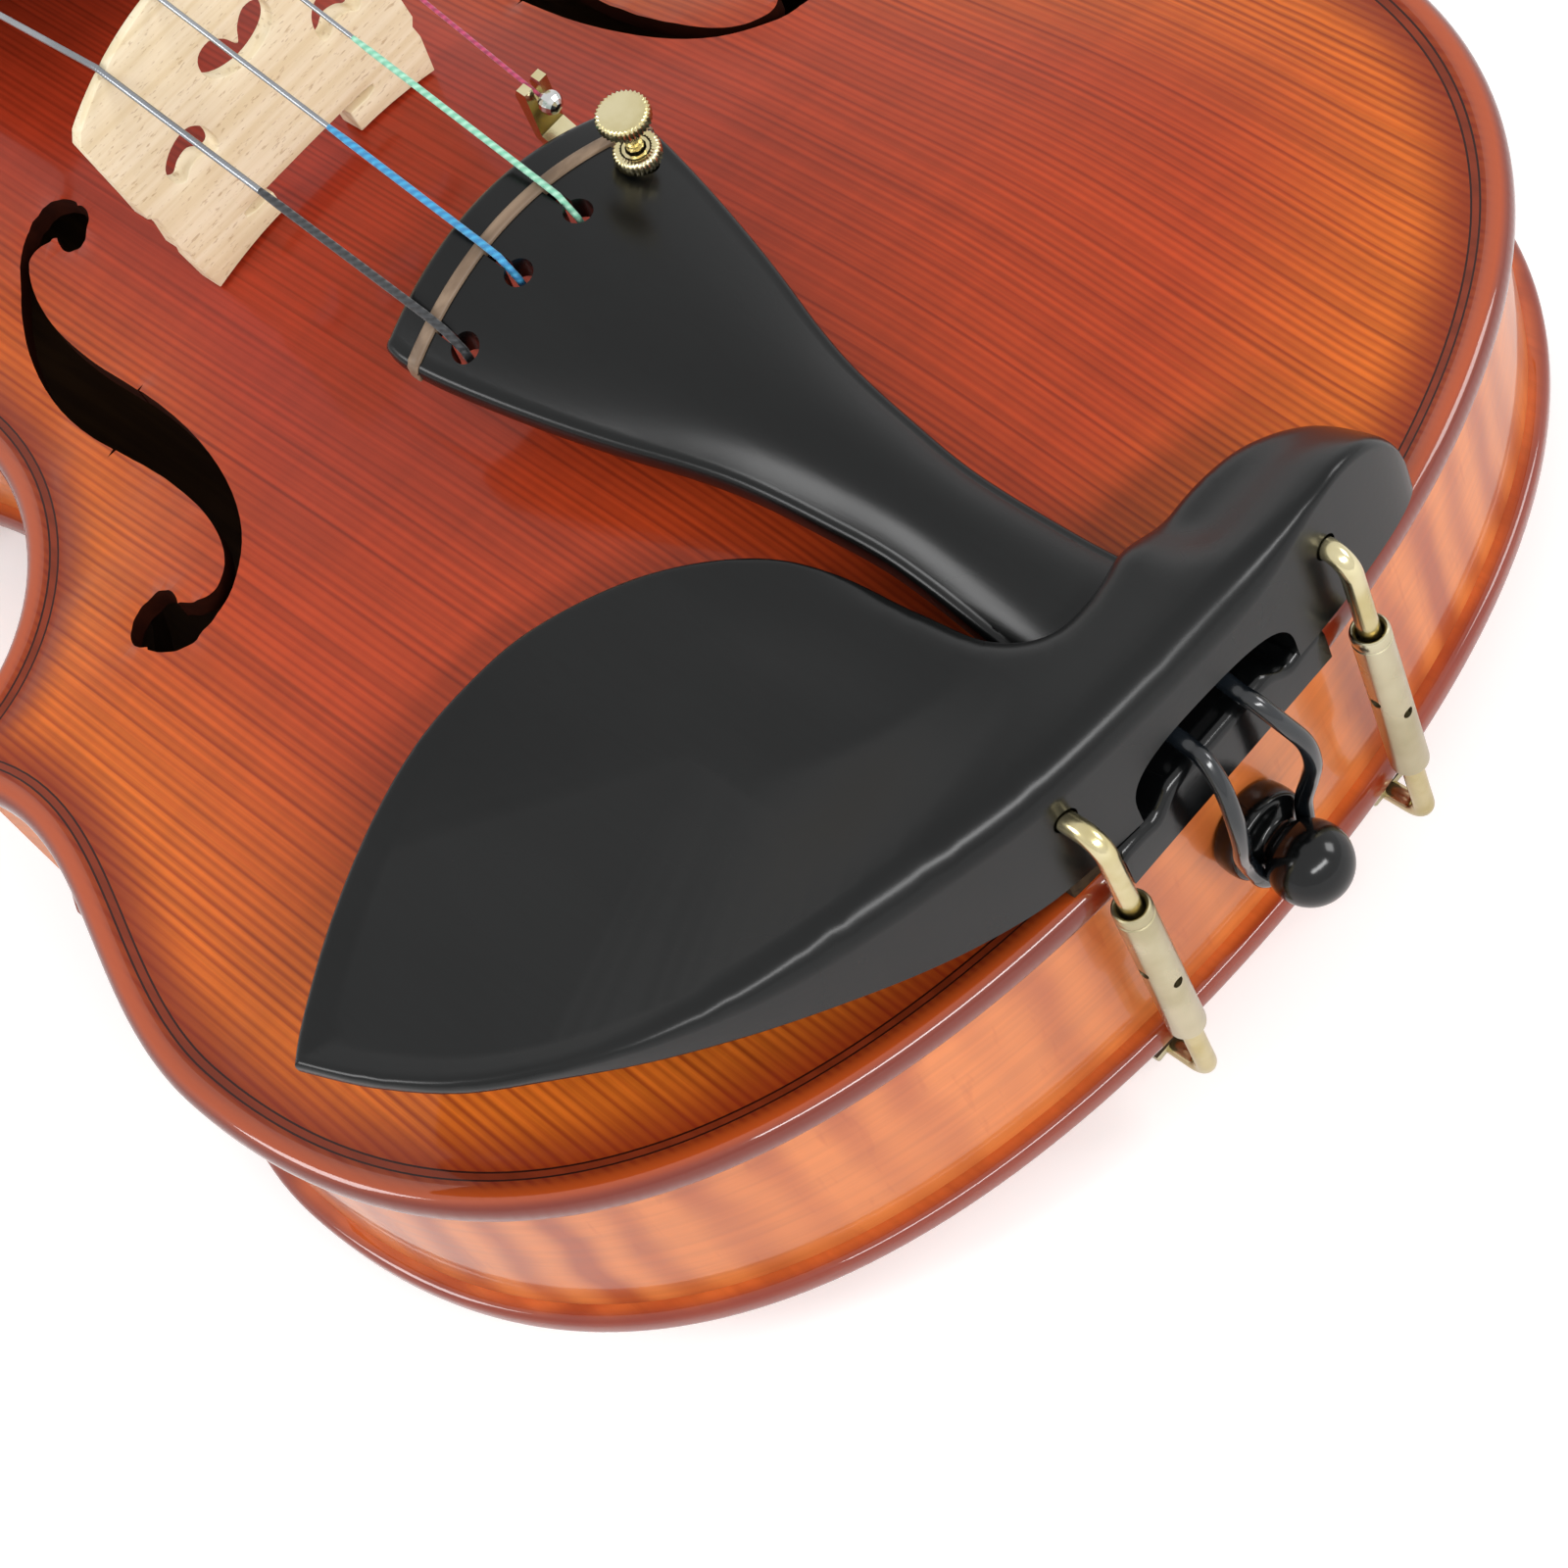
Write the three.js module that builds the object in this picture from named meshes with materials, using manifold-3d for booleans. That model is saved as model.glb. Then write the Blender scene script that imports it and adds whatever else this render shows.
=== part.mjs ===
// A full-size violin with its bridge, strings, tailpiece, fine tuner, chinrest and pegs.
// Millimetres, +Z up. The violin lies on its back: X runs to the treble side, Y to the scroll,
// and the lowest point of the back's arch is at Z = 0.

import * as THREE from 'three';
import { mergeVertices } from 'three/addons/utils/BufferGeometryUtils.js';
import Module from 'manifold-3d';

const wasm = await Module();
wasm.setup();

// Clearances
const fitGap = 0.3; // between pieces cut or turned to fit each other
const restGap = 0.3; // under a string where it crosses an edge
const overrun = 6; // how far a cutting tool runs past what it cuts

// Body outline
const bodyLength = 356;
const lowerBoutWidth = 208;
const waistWidth = 112;
const upperBoutWidth = 168;
const lowerCornerSpan = 189;
const upperCornerSpan = 158;

// Heights of the sound box
const backArch = 15; // gluing face of the back above its lowest point
const backEdgeThickness = 4;
const backThickness = 3.6;
const ribHeight = 30.5;
const bellyEdgeThickness = 4;
const bellyThickness = 3;
const bellyArch = 11.5; // top of the arch above the belly's edge

// Plate edges and arching
const edgeRounding = 1.2;
const edgeDrop = 1.1;
const channelInset = 5.5;
const channelDepth = 0.9;
const glueWidth = 8;
const waistReach = 46; // distance from the edge at which the arch levels out, at the waist
const lowerReach = 74;
const upperReach = 62;
const reachSpan = 100; // length over which the reach grows from the waist to the bouts
const ringInsets = [12, 21];
const plateSpacing = 17; // between surface points inside the rings
const hollowInset = 15;
const hollowSpacing = 20;

// Ribs, linings and blocks
const plateOverhang = 2.5;
const ribThickness = 1;
const liningThickness = 2;
const liningHeight = 7;
const liningLap = 0.2; // how far a lining reaches into its rib
const cornerBlockDepth = 11;
const cornerBlockReach = 24;
const cornerTipInset = 2;
const endBlockWidth = 50;
const endBlockDepth = 15;

// F-holes
const upperEyeRadius = 3;
const lowerEyeRadius = 4.1;
const upperEyeX = 25.2;
const upperEyeY = 188.3;
const lowerEyeX = 61.5;
const lowerEyeY = 129.3;
const nickDepth = 1.2;
const nickWidth = 1.4;

// Bass bar and sound post
const bassBarEndInset = 44; // from each end of the body
const bassBarWidth = 5.5;
const bassBarHeight = 11;
const bassBarEndHeight = 5;
const bassBarX = -16.5;
const soundPostRadius = 3;
const soundPostX = 17;
const soundPostSetback = 6; // from the bridge towards the tail

// Neck, heel and button
const neckOverstand = 6.5; // gluing face of the fingerboard above the belly's edge
const neckSlope = 0.118; // fall of that face for each unit of length towards the scroll
const neckLength = 130; // body edge to nut
const neckRootDepth = 5.5;
const neckRootWidth = 33.5;
const neckDepth = 12;
const neckEndWidth = 24;
const heelReach = 10;
const heelWidth = 21;
const heelFlare = 26;
const buttonRadius = 10.8;

// Fingerboard and nut
const fingerboardLength = 270;
const fingerboardEdge = 5;
const fingerboardRadius = 42;
const fingerboardEndWidth = 42.5;
const fingerboardHollow = 2.2;
const nutLength = 5.5;
const nutHeight = 1;

// Pegbox
const pegboxLength = 68;
const pegboxThroatWidth = 16.5;
const pegboxWall = 5;
const cavityDepth = 17;
const cavityInset = 5;

// Scroll
const scrollRadius = 24;
const scrollEyeRadius = 4.6;
const scrollTurns = 2.5;
const scrollStartWidth = 16;
const scrollEyeSpan = 41;
const scrollFlute = 1;
const scrollCentreRun = 84; // along the neck from the nut to the eye
const scrollCentreDrop = 4;
const scrollStartAngle = -Math.PI * 0.62;
const scrollRidgeShares = [-0.5, 0, 0.5]; // of the half width: two flutes and the ridge

// Pegs
const pegTaper = 1 / 60; // radius lost for each unit of length
const pegCollarRadius = 6;
const pegCollarLength = 4;
const pegShankRadius = 3.9;
const pegCollarStandOff = 9;
const pegTipStandOut = 1.2;
const pegNeckRadius = 3.2;
const pegNeckLength = 5;
const pegThumbLength = 22;
const pegThumbWidth = 21;
const pegThumbThickness = 8;
const pegPipRadius = 1.6;
const pegDrop = 9; // peg axis under the gluing face at the first peg
const pegDropRise = 0.06; // further fall for each unit of length along the pegbox
const firstPegRun = 15;
const pegRunStep = 13.6;

// Strings, from bass to treble
const stringDiameters = [0.9, 0.75, 0.65, 0.35];
const nutStringSpan = 16.5;
const bridgeStringSpan = 34;
const tailStringSpan = 32;
const windingPitchGap = 0.55;
const windingLoops = 4;
const stringEndRun = 4.2; // from the winding's tangent point to where the string starts

// Bridge
const bridgeStop = 197; // from the scroll end of the belly to the bridge
const bridgeHeight = 39.75;
const bridgeTopRadius = 42;
const bridgeShoulderWidth = 50;
const bridgeFootSpan = 42.4;
const bridgeFootWidth = 13.6;
const bridgeFootThickness = 4.3;
const bridgeTopThickness = 1.4;
const bridgeArchRise = 4.9;

// Tailpiece
const tailpieceToBridge = 45;
const tailpieceWidth = 43.5;
const tailpieceTailY = 4;
const tailpieceTailZ = 55.5;
const tailpieceSlope = 0.175;
const tailpieceEdge = 3;
const tailpieceCrown = 5.5;
const tailpieceHollow = 4.6;
const tailpieceWall = 2.4;
const tailpieceBulge = 1.6;
const stringHoleRadius = 1.9;
const stringSlotWidth = 1.2;
const stringSlotLength = 6.5;
const stringHoleRun = 12; // from the string end of the tailpiece
const fretRun = 5.5;
const fretWidth = 1.8;
const fretDepth = 1;
const fretProud = 0.5;
const fretGap = 0.15;

// Tailgut, its nuts, the saddle and the end button
const tailgutDiameter = 2.2;
const tailgutSpread = 4.2;
const tailgutBow = 6.4;
const tailgutReach = 6; // from the tail end of the body to the middle of the bow
const tailgutNutRadius = 2.4;
const tailgutNutLength = 4;
const tailgutPocketStart = 13;
const tailgutPocketLength = 9;
const tailgutHeight = 2.2; // above the underside of the tailpiece
const saddleWidth = 35;
const saddleDepth = 7;
const saddleHeight = 4.6; // above the belly's edge, under the tailgut
const saddleEndHeight = 2.7;
const saddleCrestWidth = 19;
const endButtonShankRadius = 3.8;
const endButtonShankLength = 16;
const endButtonCollarRadius = 6;
const endButtonCollarLength = 4.6;
const endButtonGrooveRadius = 3.1;
const endButtonGrooveLength = 2.1;
const endButtonBallRadius = 5.2;
const endButtonBallLength = 8.5;
const endButtonBallArc = Math.PI * 0.72; // of the ball's outline, from its crown to its neck
const endButtonHeight = 16.5; // above the back's gluing face

// Fine tuner
const tunerDiscRadius = 3.5;
const tunerDiscThickness = 1.8;
const tunerDiscLift = 5.4; // clear height between ring nut and disc
const tunerScrewRadius = 1.1;
const tunerRingRadius = 3.1;
const tunerRingThickness = 2;
const tunerPostRadius = 1.8;
const tunerPlateThickness = 1.4;
const tunerPlateWidth = 6;
const tunerLeverThickness = 1.5;
const tunerLeverWidth = 4;
const tunerHookReach = 6.5; // from the tailpiece's end to the hook
const tunerHookHeight = 7.5;
const tunerPivotDrop = 3.6;
const tunerBallRadius = 1.6;
const knurlTeeth = 24;

// Chinrest
const chinrestLength = 131;
const chinrestDepth = 72.5;
const chinrestLeft = -93.7;
const chinrestTail = -0.4;
const chinrestBase = 52.6; // height of its flat underside
const chinrestRim = 72.3; // height of the ridge at the tail side
const chinrestRimFall = 4.3; // lower at the bridge side
const chinrestDish = 6;
const chinrestDishRun = 26;
const chinrestShell = 4;
const chinrestRimThickness = 3;
const chinrestLobeRun = 16; // from the tail side to the bridge side of the lobe
const chinrestLobeFall = 6.5; // of the lobe's top over that run
const chinrestSpanFall = 2.3; // the same over the tailpiece
const chinrestEndRun = 13; // length of the lobe's rounded end
const chinrestEndThickness = 4;
const chinrestTunnelWidth = 26;
const chinrestTunnelHeight = 9.6;
const chinrestTunnelShare = 0.75; // of the depth, from the tail side
const chinrestPocketGap = 0.9; // round the tailpiece
const chinrestRingInset = 2.5;
const chinrestEdgeBand = 1; // width of the lobe's lowered edge
const chinrestEdgeDrop = 1;
const chinrestSpacing = 8;
const chinrestBaseLeft = -25;
const chinrestBaseRight = 33;
const chinrestBaseInner = 14;
const chinrestLiftRun = 60;
const corkInset = 1.2;

// Chinrest clamps
const clampSpan = 42;
const clampRodRadius = 1.35;
const clampRodHeight = 11.2; // above the chinrest's underside
const clampRodBend = 3;
const clampRodDepth = 7;
const clampBarrelRadius = 2.4;
const clampBarrelLength = 29;
const clampBarrelTop = 49.8;
const clampBoreRadius = 1.65;
const clampStandOff = 3.4; // from the tail end of the body to the barrel's axis
const clampKeyRadius = 0.7;
const clampKeyOffset = 3.2;
const clampTopEngage = 6;
const clampHookEngage = 9;
const clampHookBend = 2.4;
const clampFootReach = 8;
const clampFootWidth = 6;
const clampFootThickness = 1.4;
const clampCorkThickness = 1;

// Points nearer than this are one point
const weldTolerance = 1e-4;

// Counts of facets
const arcSteps = 16;
const tubeSides = 8;
const windingSteps = 12;
const windingSides = 6;
const boardSteps = 8; // across the fingerboard's top
const scrollSteps = 18; // per turn
const outlineSteps = {
  lowerBout: 16, lowerFlank: 8, lowerTip: 1, lowerWaist: 7, upperWaist: 7, upperTip: 1,
  upperFlank: 6, upperBout: 13,
};

// Half outline of the body. Each point is a share of the named half width and of the body length.
const outlineShares = {
  lowerBout: [['lower', 0, 0], ['lower', 0.615, 0], ['lower', 1, 0.067], ['lower', 1, 0.2135]],
  lowerFlank: [
    ['lower', 1, 0.2135], ['lower', 1, 0.281], ['lower', 0.808, 0.337], ['lowerCorner', 1, 0.3933],
  ],
  lowerTip: [
    ['lowerCorner', 1, 0.3933], ['lowerCorner', 0.99, 0.3993], ['lowerCorner', 0.979, 0.4054],
    ['lowerCorner', 0.968, 0.4115],
  ],
  lowerWaist: [
    ['lowerCorner', 0.968, 0.4115], ['lowerCorner', 0.836, 0.403], ['waist', 1.009, 0.441],
    ['waist', 1, 0.5225],
  ],
  upperWaist: [
    ['waist', 1, 0.5225], ['waist', 0.993, 0.5955], ['upperCorner', 0.835, 0.646],
    ['upperCorner', 0.968, 0.6362],
  ],
  upperTip: [
    ['upperCorner', 0.968, 0.6362], ['upperCorner', 0.979, 0.6418], ['upperCorner', 0.99, 0.6475],
    ['upperCorner', 1, 0.6531],
  ],
  upperFlank: [
    ['upperCorner', 1, 0.6531], ['upper', 0.821, 0.674], ['upper', 1, 0.736], ['upper', 1, 0.8034],
  ],
  upperBout: [['upper', 1, 0.8034], ['upper', 1, 0.916], ['upper', 0.667, 1], ['upper', 0, 1]],
};

// Channel of an f-hole between its eyes: shares of the way from the upper eye to the lower eye.
const fChannelShares = {
  start: [0.361, 0.52],
  curves: [
    [[0.375, 0.28], [0.386, 0.07], [0.201, -0.061]],
    [[0.16, -0.083], [0.09, -0.08], [0.066, -0.04]],
    [[0.03, 0.01], [-0.05, 0.02], [-0.083, -0.03]],
    [[-0.074, -0.097], [0.008, -0.141], [0.118, -0.131]],
    [[0.325, -0.105], [0.595, 0.09], [0.581, 0.412]],
    [[0.576, 0.53], [0.543, 0.649], [0.57, 0.819]],
    [[0.584, 0.937], [0.642, 1.073], [0.78, 1.103]],
    [[0.83, 1.11], [0.87, 1.09], [0.9, 1.045]],
    [[0.97, 1.01], [1.05, 1.01], [1.098, 1.045]],
    [[1.069, 1.141], [0.959, 1.168], [0.835, 1.168]],
    [[0.601, 1.164], [0.364, 0.954], [0.361, 0.52]],
  ],
};
const fNickShares = { innerX: 0.368, outerX: 0.578, y: 0.5 };

// Half width of the tailpiece along its length: shares of its length and of its half width.
const tailpieceShares = [
  [0, 0.3], [0.03, 0.41], [0.1, 0.43], [0.2, 0.375], [0.33, 0.345], [0.43, 0.39], [0.52, 0.455],
  [0.59, 0.54], [0.68, 0.68], [0.76, 0.79], [0.84, 0.885], [0.92, 0.965], [0.97, 0.99], [1, 0.965],
];
const tailpieceSectionShares = [-1, -0.9, -0.6, -0.3, 0, 0.3, 0.6, 0.9, 1];

// Plan of the chinrest: shares of its length from the tip and of its depth from the tail side.
const chinrestPlanShares = [
  [0.993, 0.033], [1, 0.095], [0.981, 0.175], [0.933, 0.229], [0.868, 0.254], [0.784, 0.244],
  [0.719, 0.223], [0.673, 0.24], [0.644, 0.317], [0.634, 0.447], [0.619, 0.599], [0.583, 0.753],
  [0.517, 0.891], [0.427, 0.979], [0.347, 1], [0.273, 0.989], [0.189, 0.938], [0.103, 0.858],
  [0.032, 0.772], [0, 0.723], [0.031, 0.585], [0.081, 0.439], [0.163, 0.299], [0.248, 0.207],
  [0.341, 0.138], [0.45, 0.074], [0.56, 0.026], [0.73, 0], [0.883, 0.001],
];
const chinrestTipIndex = 19;
const chinrestCupIndex = 9; // where the cup meets the lobe

// Side view of the bridge below its top arc: shares of the half shoulder width and of the height.
const bridgeSideShares = [
  [1, 0.79], [0.955, 0.47], [0.945, 0.38], [0.91, 0.36], [0.9, 0.2], [0.87, 0.17], [0.88, 0.12],
];
const bridgeKidneyShares = [
  [0.39, 0.44], [0.42, 0.5], [0.5, 0.535], [0.62, 0.52], [0.71, 0.475], [0.715, 0.42],
  [0.66, 0.385], [0.6, 0.41], [0.52, 0.42], [0.45, 0.39], [0.4, 0.395],
];
const bridgeHeartShares = [
  [0, 0.63], [0.05, 0.68], [0.13, 0.715], [0.22, 0.7], [0.25, 0.65], [0.22, 0.6], [0.13, 0.565],
  [0, 0.55],
];

// Side view of the pegbox: shares of its length from the nut and of its depth below the face.
const pegboxTopShares = [[-0.04, 0.03], [0.12, 0.05], [0.35, 0.17], [0.65, 0.32], [0.9, 0.38]];
const pegboxBackShares = [
  [1.18, 0.86], [1.1, 1.02], [0.93, 1.07], [0.75, 1.08], [0.5, 1.02], [0.25, 0.93], [0.08, 0.84],
  [-0.02, 0.72], [-0.1, 0.5],
];
const pegboxDepth = 27;

// Worked-out places shared by several pieces
const halfWidths = {
  lower: lowerBoutWidth / 2,
  waist: waistWidth / 2,
  upper: upperBoutWidth / 2,
  lowerCorner: lowerCornerSpan / 2,
  upperCorner: upperCornerSpan / 2,
};
const backGlueZ = backArch;
const backRimZ = backGlueZ - backEdgeThickness;
const bellyGlueZ = backGlueZ + ribHeight;
const bellyRimZ = bellyGlueZ + bellyEdgeThickness;
const bridgeY = bodyLength - bridgeStop;
const tailpieceLength = bridgeY - tailpieceTailY - tailpieceToBridge;
const bassBarLength = bodyLength - 2 * bassBarEndInset;
const waistY = 0.53 * bodyLength;
const neckAngle = Math.atan(neckSlope);
const tailpieceAngle = Math.atan(tailpieceSlope);
const endButtonZ = backGlueZ + endButtonHeight;

// Geometry helpers

function v2(x, y) {
  return new THREE.Vector2(x, y);
}

function v3(x, y, z) {
  return new THREE.Vector3(x, y, z);
}

function mix(a, b, t) {
  return a + (b - a) * t;
}

function smooth(t) {
  return THREE.MathUtils.smoothstep(t, 0, 1);
}

function geometryFrom(positions, triangles) {
  const geometry = new THREE.BufferGeometry();
  geometry.setAttribute('position', new THREE.Float32BufferAttribute(positions, 3));
  geometry.setIndex(triangles);
  return facingOut(geometry);
}

// Turns every triangle over when the closed mesh is inside out.
function facingOut(geometry) {
  const p = geometry.attributes.position;
  const index = geometry.index.array;
  let volume = 0;
  const corners = [v3(), v3(), v3()];
  for (let i = 0; i < index.length; i += 3) {
    corners.forEach((corner, k) => corner.fromBufferAttribute(p, index[i + k]));
    volume += corners[0].dot(corners[1].clone().cross(corners[2]));
  }
  if (volume < 0) {
    const flipped = Array.from(index);
    for (let i = 0; i < flipped.length; i += 3) {
      [flipped[i], flipped[i + 1]] = [flipped[i + 1], flipped[i]];
    }
    geometry.setIndex(flipped);
  }
  return geometry;
}

function welded(geometry) {
  const bare = new THREE.BufferGeometry();
  bare.setAttribute('position', geometry.attributes.position.clone());
  if (geometry.index) {
    bare.setIndex(geometry.index.clone());
  }
  const merged = mergeVertices(bare, weldTolerance);
  const index = merged.index.array;
  const triangles = [];
  for (let i = 0; i < index.length; i += 3) {
    const [a, b, c] = index.slice(i, i + 3);
    if (a !== b && b !== c && c !== a) {
      triangles.push(a, b, c);
    }
  }
  merged.setIndex(triangles);
  return merged;
}

function solidOf(geometry) {
  const merged = facingOut(welded(geometry));
  return new wasm.Manifold(new wasm.Mesh({
    numProp: 3,
    vertProperties: new Float32Array(merged.attributes.position.array),
    triVerts: new Uint32Array(merged.index.array),
  }));
}

function geometryOf(solid) {
  const mesh = solid.getMesh();
  const positions = [];
  for (let i = 0; i < mesh.vertProperties.length; i += mesh.numProp) {
    positions.push(mesh.vertProperties[i], mesh.vertProperties[i + 1], mesh.vertProperties[i + 2]);
  }
  return geometryFrom(positions, Array.from(mesh.triVerts));
}

function join(...geometries) {
  return geometryOf(geometries.map(solidOf).reduce((a, b) => a.add(b)));
}

function cut(geometry, ...tools) {
  return geometryOf(tools.map(solidOf).reduce((a, b) => a.subtract(b), solidOf(geometry)));
}

function common(a, b) {
  return geometryOf(solidOf(a).intersect(solidOf(b)));
}

function box(x0, x1, y0, y1, z0, z1) {
  const geometry = new THREE.BoxGeometry(x1 - x0, y1 - y0, z1 - z0);
  return geometry.translate((x0 + x1) / 2, (y0 + y1) / 2, (z0 + z1) / 2);
}

// Upright prism over a plan polygon.
function prism(points, z0, z1) {
  const shape = new THREE.Shape(points);
  return new THREE.ExtrudeGeometry(shape, { depth: z1 - z0, bevelEnabled: false }).translate(0, 0, z0);
}

// Upright cylinder.
function post(x, y, z0, z1, radius, sides = arcSteps) {
  const geometry = new THREE.CylinderGeometry(radius, radius, z1 - z0, sides);
  return geometry.rotateX(Math.PI / 2).translate(x, y, (z0 + z1) / 2);
}

// Solid turned about the Y axis from a profile of [radius, place along the axis].
function turned(profile, sides = arcSteps) {
  const geometry = new THREE.LatheGeometry(profile.map(([r, y]) => v2(r, y)), sides);
  return facingOut(welded(geometry));
}

// Block whose face passes through a plan point and which fills the side the normal points to.
function sideOf(point, normal, size = bodyLength) {
  const angle = Math.atan2(normal.y, normal.x);
  const block = new THREE.BoxGeometry(size, size, bodyLength).translate(size / 2, 0, 0);
  return block.rotateZ(angle).translate(point.x, point.y, 0);
}

// Skin through loops of equal count, closed by flat ends.
function loft(loops) {
  const count = loops[0].length;
  const positions = loops.flat().flatMap((p) => [p.x, p.y, p.z]);
  const triangles = [];
  for (let i = 0; i + 1 < loops.length; i += 1) {
    for (let k = 0; k < count; k += 1) {
      const a = i * count + k;
      const b = i * count + ((k + 1) % count);
      triangles.push(a, b, b + count, a, b + count, a + count);
    }
  }
  const last = (loops.length - 1) * count;
  for (let k = 1; k + 1 < count; k += 1) {
    triangles.push(0, k + 1, k, last, last + k, last + k + 1);
  }
  return geometryFrom(positions, triangles);
}

// A route through points that an extrusion follows exactly, one ring for each point.
class Route extends THREE.Curve {
  constructor(points) {
    super();
    this.points = points;
  }

  getPoint(t) {
    const last = this.points.length - 1;
    const i = Math.min(Math.floor(t * last + 1e-9), last - 1);
    return this.points[i].clone().lerp(this.points[i + 1], t * last - i);
  }

  getPointAt(u) {
    return this.getPoint(u);
  }

  getTangentAt(u) {
    const last = this.points.length - 1;
    const i = Math.round(u * last);
    const before = this.points[Math.max(i - 1, 0)];
    const here = this.points[i];
    const after = this.points[Math.min(i + 1, last)];
    const arriving = here.clone().sub(before).normalize();
    const leaving = after.clone().sub(here).normalize();
    return arriving.add(leaving).normalize();
  }
}

function tube(points, radius, sides = tubeSides) {
  const ring = [];
  for (let k = 0; k < sides; k += 1) {
    const a = (2 * Math.PI * k) / sides;
    ring.push(v2(radius * Math.cos(a), radius * Math.sin(a)));
  }
  return new THREE.ExtrudeGeometry(new THREE.Shape(ring), {
    steps: points.length - 1, bevelEnabled: false, extrudePath: new Route(points),
  });
}

// Quarter bend from one direction into another about a centre.
function bend(centre, from, to, radius, steps) {
  const points = [];
  for (let i = 0; i <= steps; i += 1) {
    const a = (Math.PI / 2) * (i / steps);
    points.push(centre.clone().addScaledVector(from, radius * Math.cos(a)).addScaledVector(
      to, radius * Math.sin(a)));
  }
  return points;
}

// Body outline

function outlinePoint([width, x, y]) {
  return v2(x * halfWidths[width], y * bodyLength);
}

function stretch(name) {
  const curve = new THREE.CubicBezierCurve(...outlineShares[name].map(outlinePoint));
  return curve.getPoints(outlineSteps[name]);
}

function chain(...names) {
  return names.map(stretch).reduce((path, next) => path.concat(next.slice(1)));
}

const halfOutline = chain(...Object.keys(outlineShares));
const outline = halfOutline.concat(
  halfOutline.slice(1, -1).reverse().map((p) => v2(-p.x, p.y)));

function distanceTo(polygon) {
  const closest = v3();
  const segment = new THREE.Line3();
  const point = v3();
  return (x, y) => {
    point.set(x, y, 0);
    let least = Infinity;
    polygon.forEach((a, i) => {
      const b = polygon[(i + 1) % polygon.length];
      segment.start.set(a.x, a.y, 0);
      segment.end.set(b.x, b.y, 0);
      segment.closestPointToPoint(point, true, closest);
      least = Math.min(least, closest.distanceTo(point));
    });
    return least;
  };
}

function inside(polygon, x, y) {
  let within = false;
  for (let i = 0, j = polygon.length - 1; i < polygon.length; j = i, i += 1) {
    const a = polygon[i];
    const b = polygon[j];
    if (a.y > y !== b.y > y && x < ((b.x - a.x) * (y - a.y)) / (b.y - a.y) + a.x) {
      within = !within;
    }
  }
  return within;
}

// Path moved to its left by a distance, with its ends run on straight.
function beside(path, distance, runOn = 0) {
  const moved = path.map((p, i) => {
    const before = path[Math.max(i - 1, 0)];
    const after = path[Math.min(i + 1, path.length - 1)];
    const along = after.clone().sub(before).normalize();
    return v2(p.x - along.y * distance, p.y + along.x * distance);
  });
  if (runOn > 0) {
    const n = moved.length;
    const startWay = moved[0].clone().sub(moved[1]).normalize();
    const endWay = moved[n - 1].clone().sub(moved[n - 2]).normalize();
    moved[0].addScaledVector(startWay, runOn);
    moved[n - 1].addScaledVector(endWay, runOn);
  }
  return moved;
}

// Plan polygon between two offsets of a path.
function band(path, near, far, runOn = 0) {
  return beside(path, near, runOn).concat(beside(path, far, runOn).reverse());
}

// Triangulated plan surfaces for the carved pieces

// Delaunay triangles over plan points, by adding one point at a time.
function delaunay(points) {
  const size = 10 * bodyLength;
  const all = points.concat([v2(-size, -size), v2(size, -size), v2(0, 2 * size)]);
  const n = points.length;
  const circle = (a, b, c) => {
    const [p, q, r] = [all[a], all[b], all[c]];
    const d = 2 * (p.x * (q.y - r.y) + q.x * (r.y - p.y) + r.x * (p.y - q.y));
    const [pp, qq, rr] = [p.lengthSq(), q.lengthSq(), r.lengthSq()];
    const x = (pp * (q.y - r.y) + qq * (r.y - p.y) + rr * (p.y - q.y)) / d;
    const y = (pp * (r.x - q.x) + qq * (p.x - r.x) + rr * (q.x - p.x)) / d;
    return { corners: [a, b, c], x, y, rr: (p.x - x) ** 2 + (p.y - y) ** 2 };
  };
  let triangles = [circle(n, n + 1, n + 2)];
  for (let i = 0; i < n; i += 1) {
    const p = all[i];
    const edges = new Map();
    const kept = [];
    triangles.forEach((t) => {
      if ((p.x - t.x) ** 2 + (p.y - t.y) ** 2 < t.rr) {
        const [a, b, c] = t.corners;
        [[a, b], [b, c], [c, a]].forEach(([from, to]) => {
          const twin = `${to},${from}`;
          if (edges.has(twin)) {
            edges.delete(twin);
          } else {
            edges.set(`${from},${to}`, [from, to]);
          }
        });
      } else {
        kept.push(t);
      }
    });
    edges.forEach(([from, to]) => kept.push(circle(from, to, i)));
    triangles = kept;
  }
  return triangles.map((t) => t.corners).filter((t) => Math.max(...t) < n);
}

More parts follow.
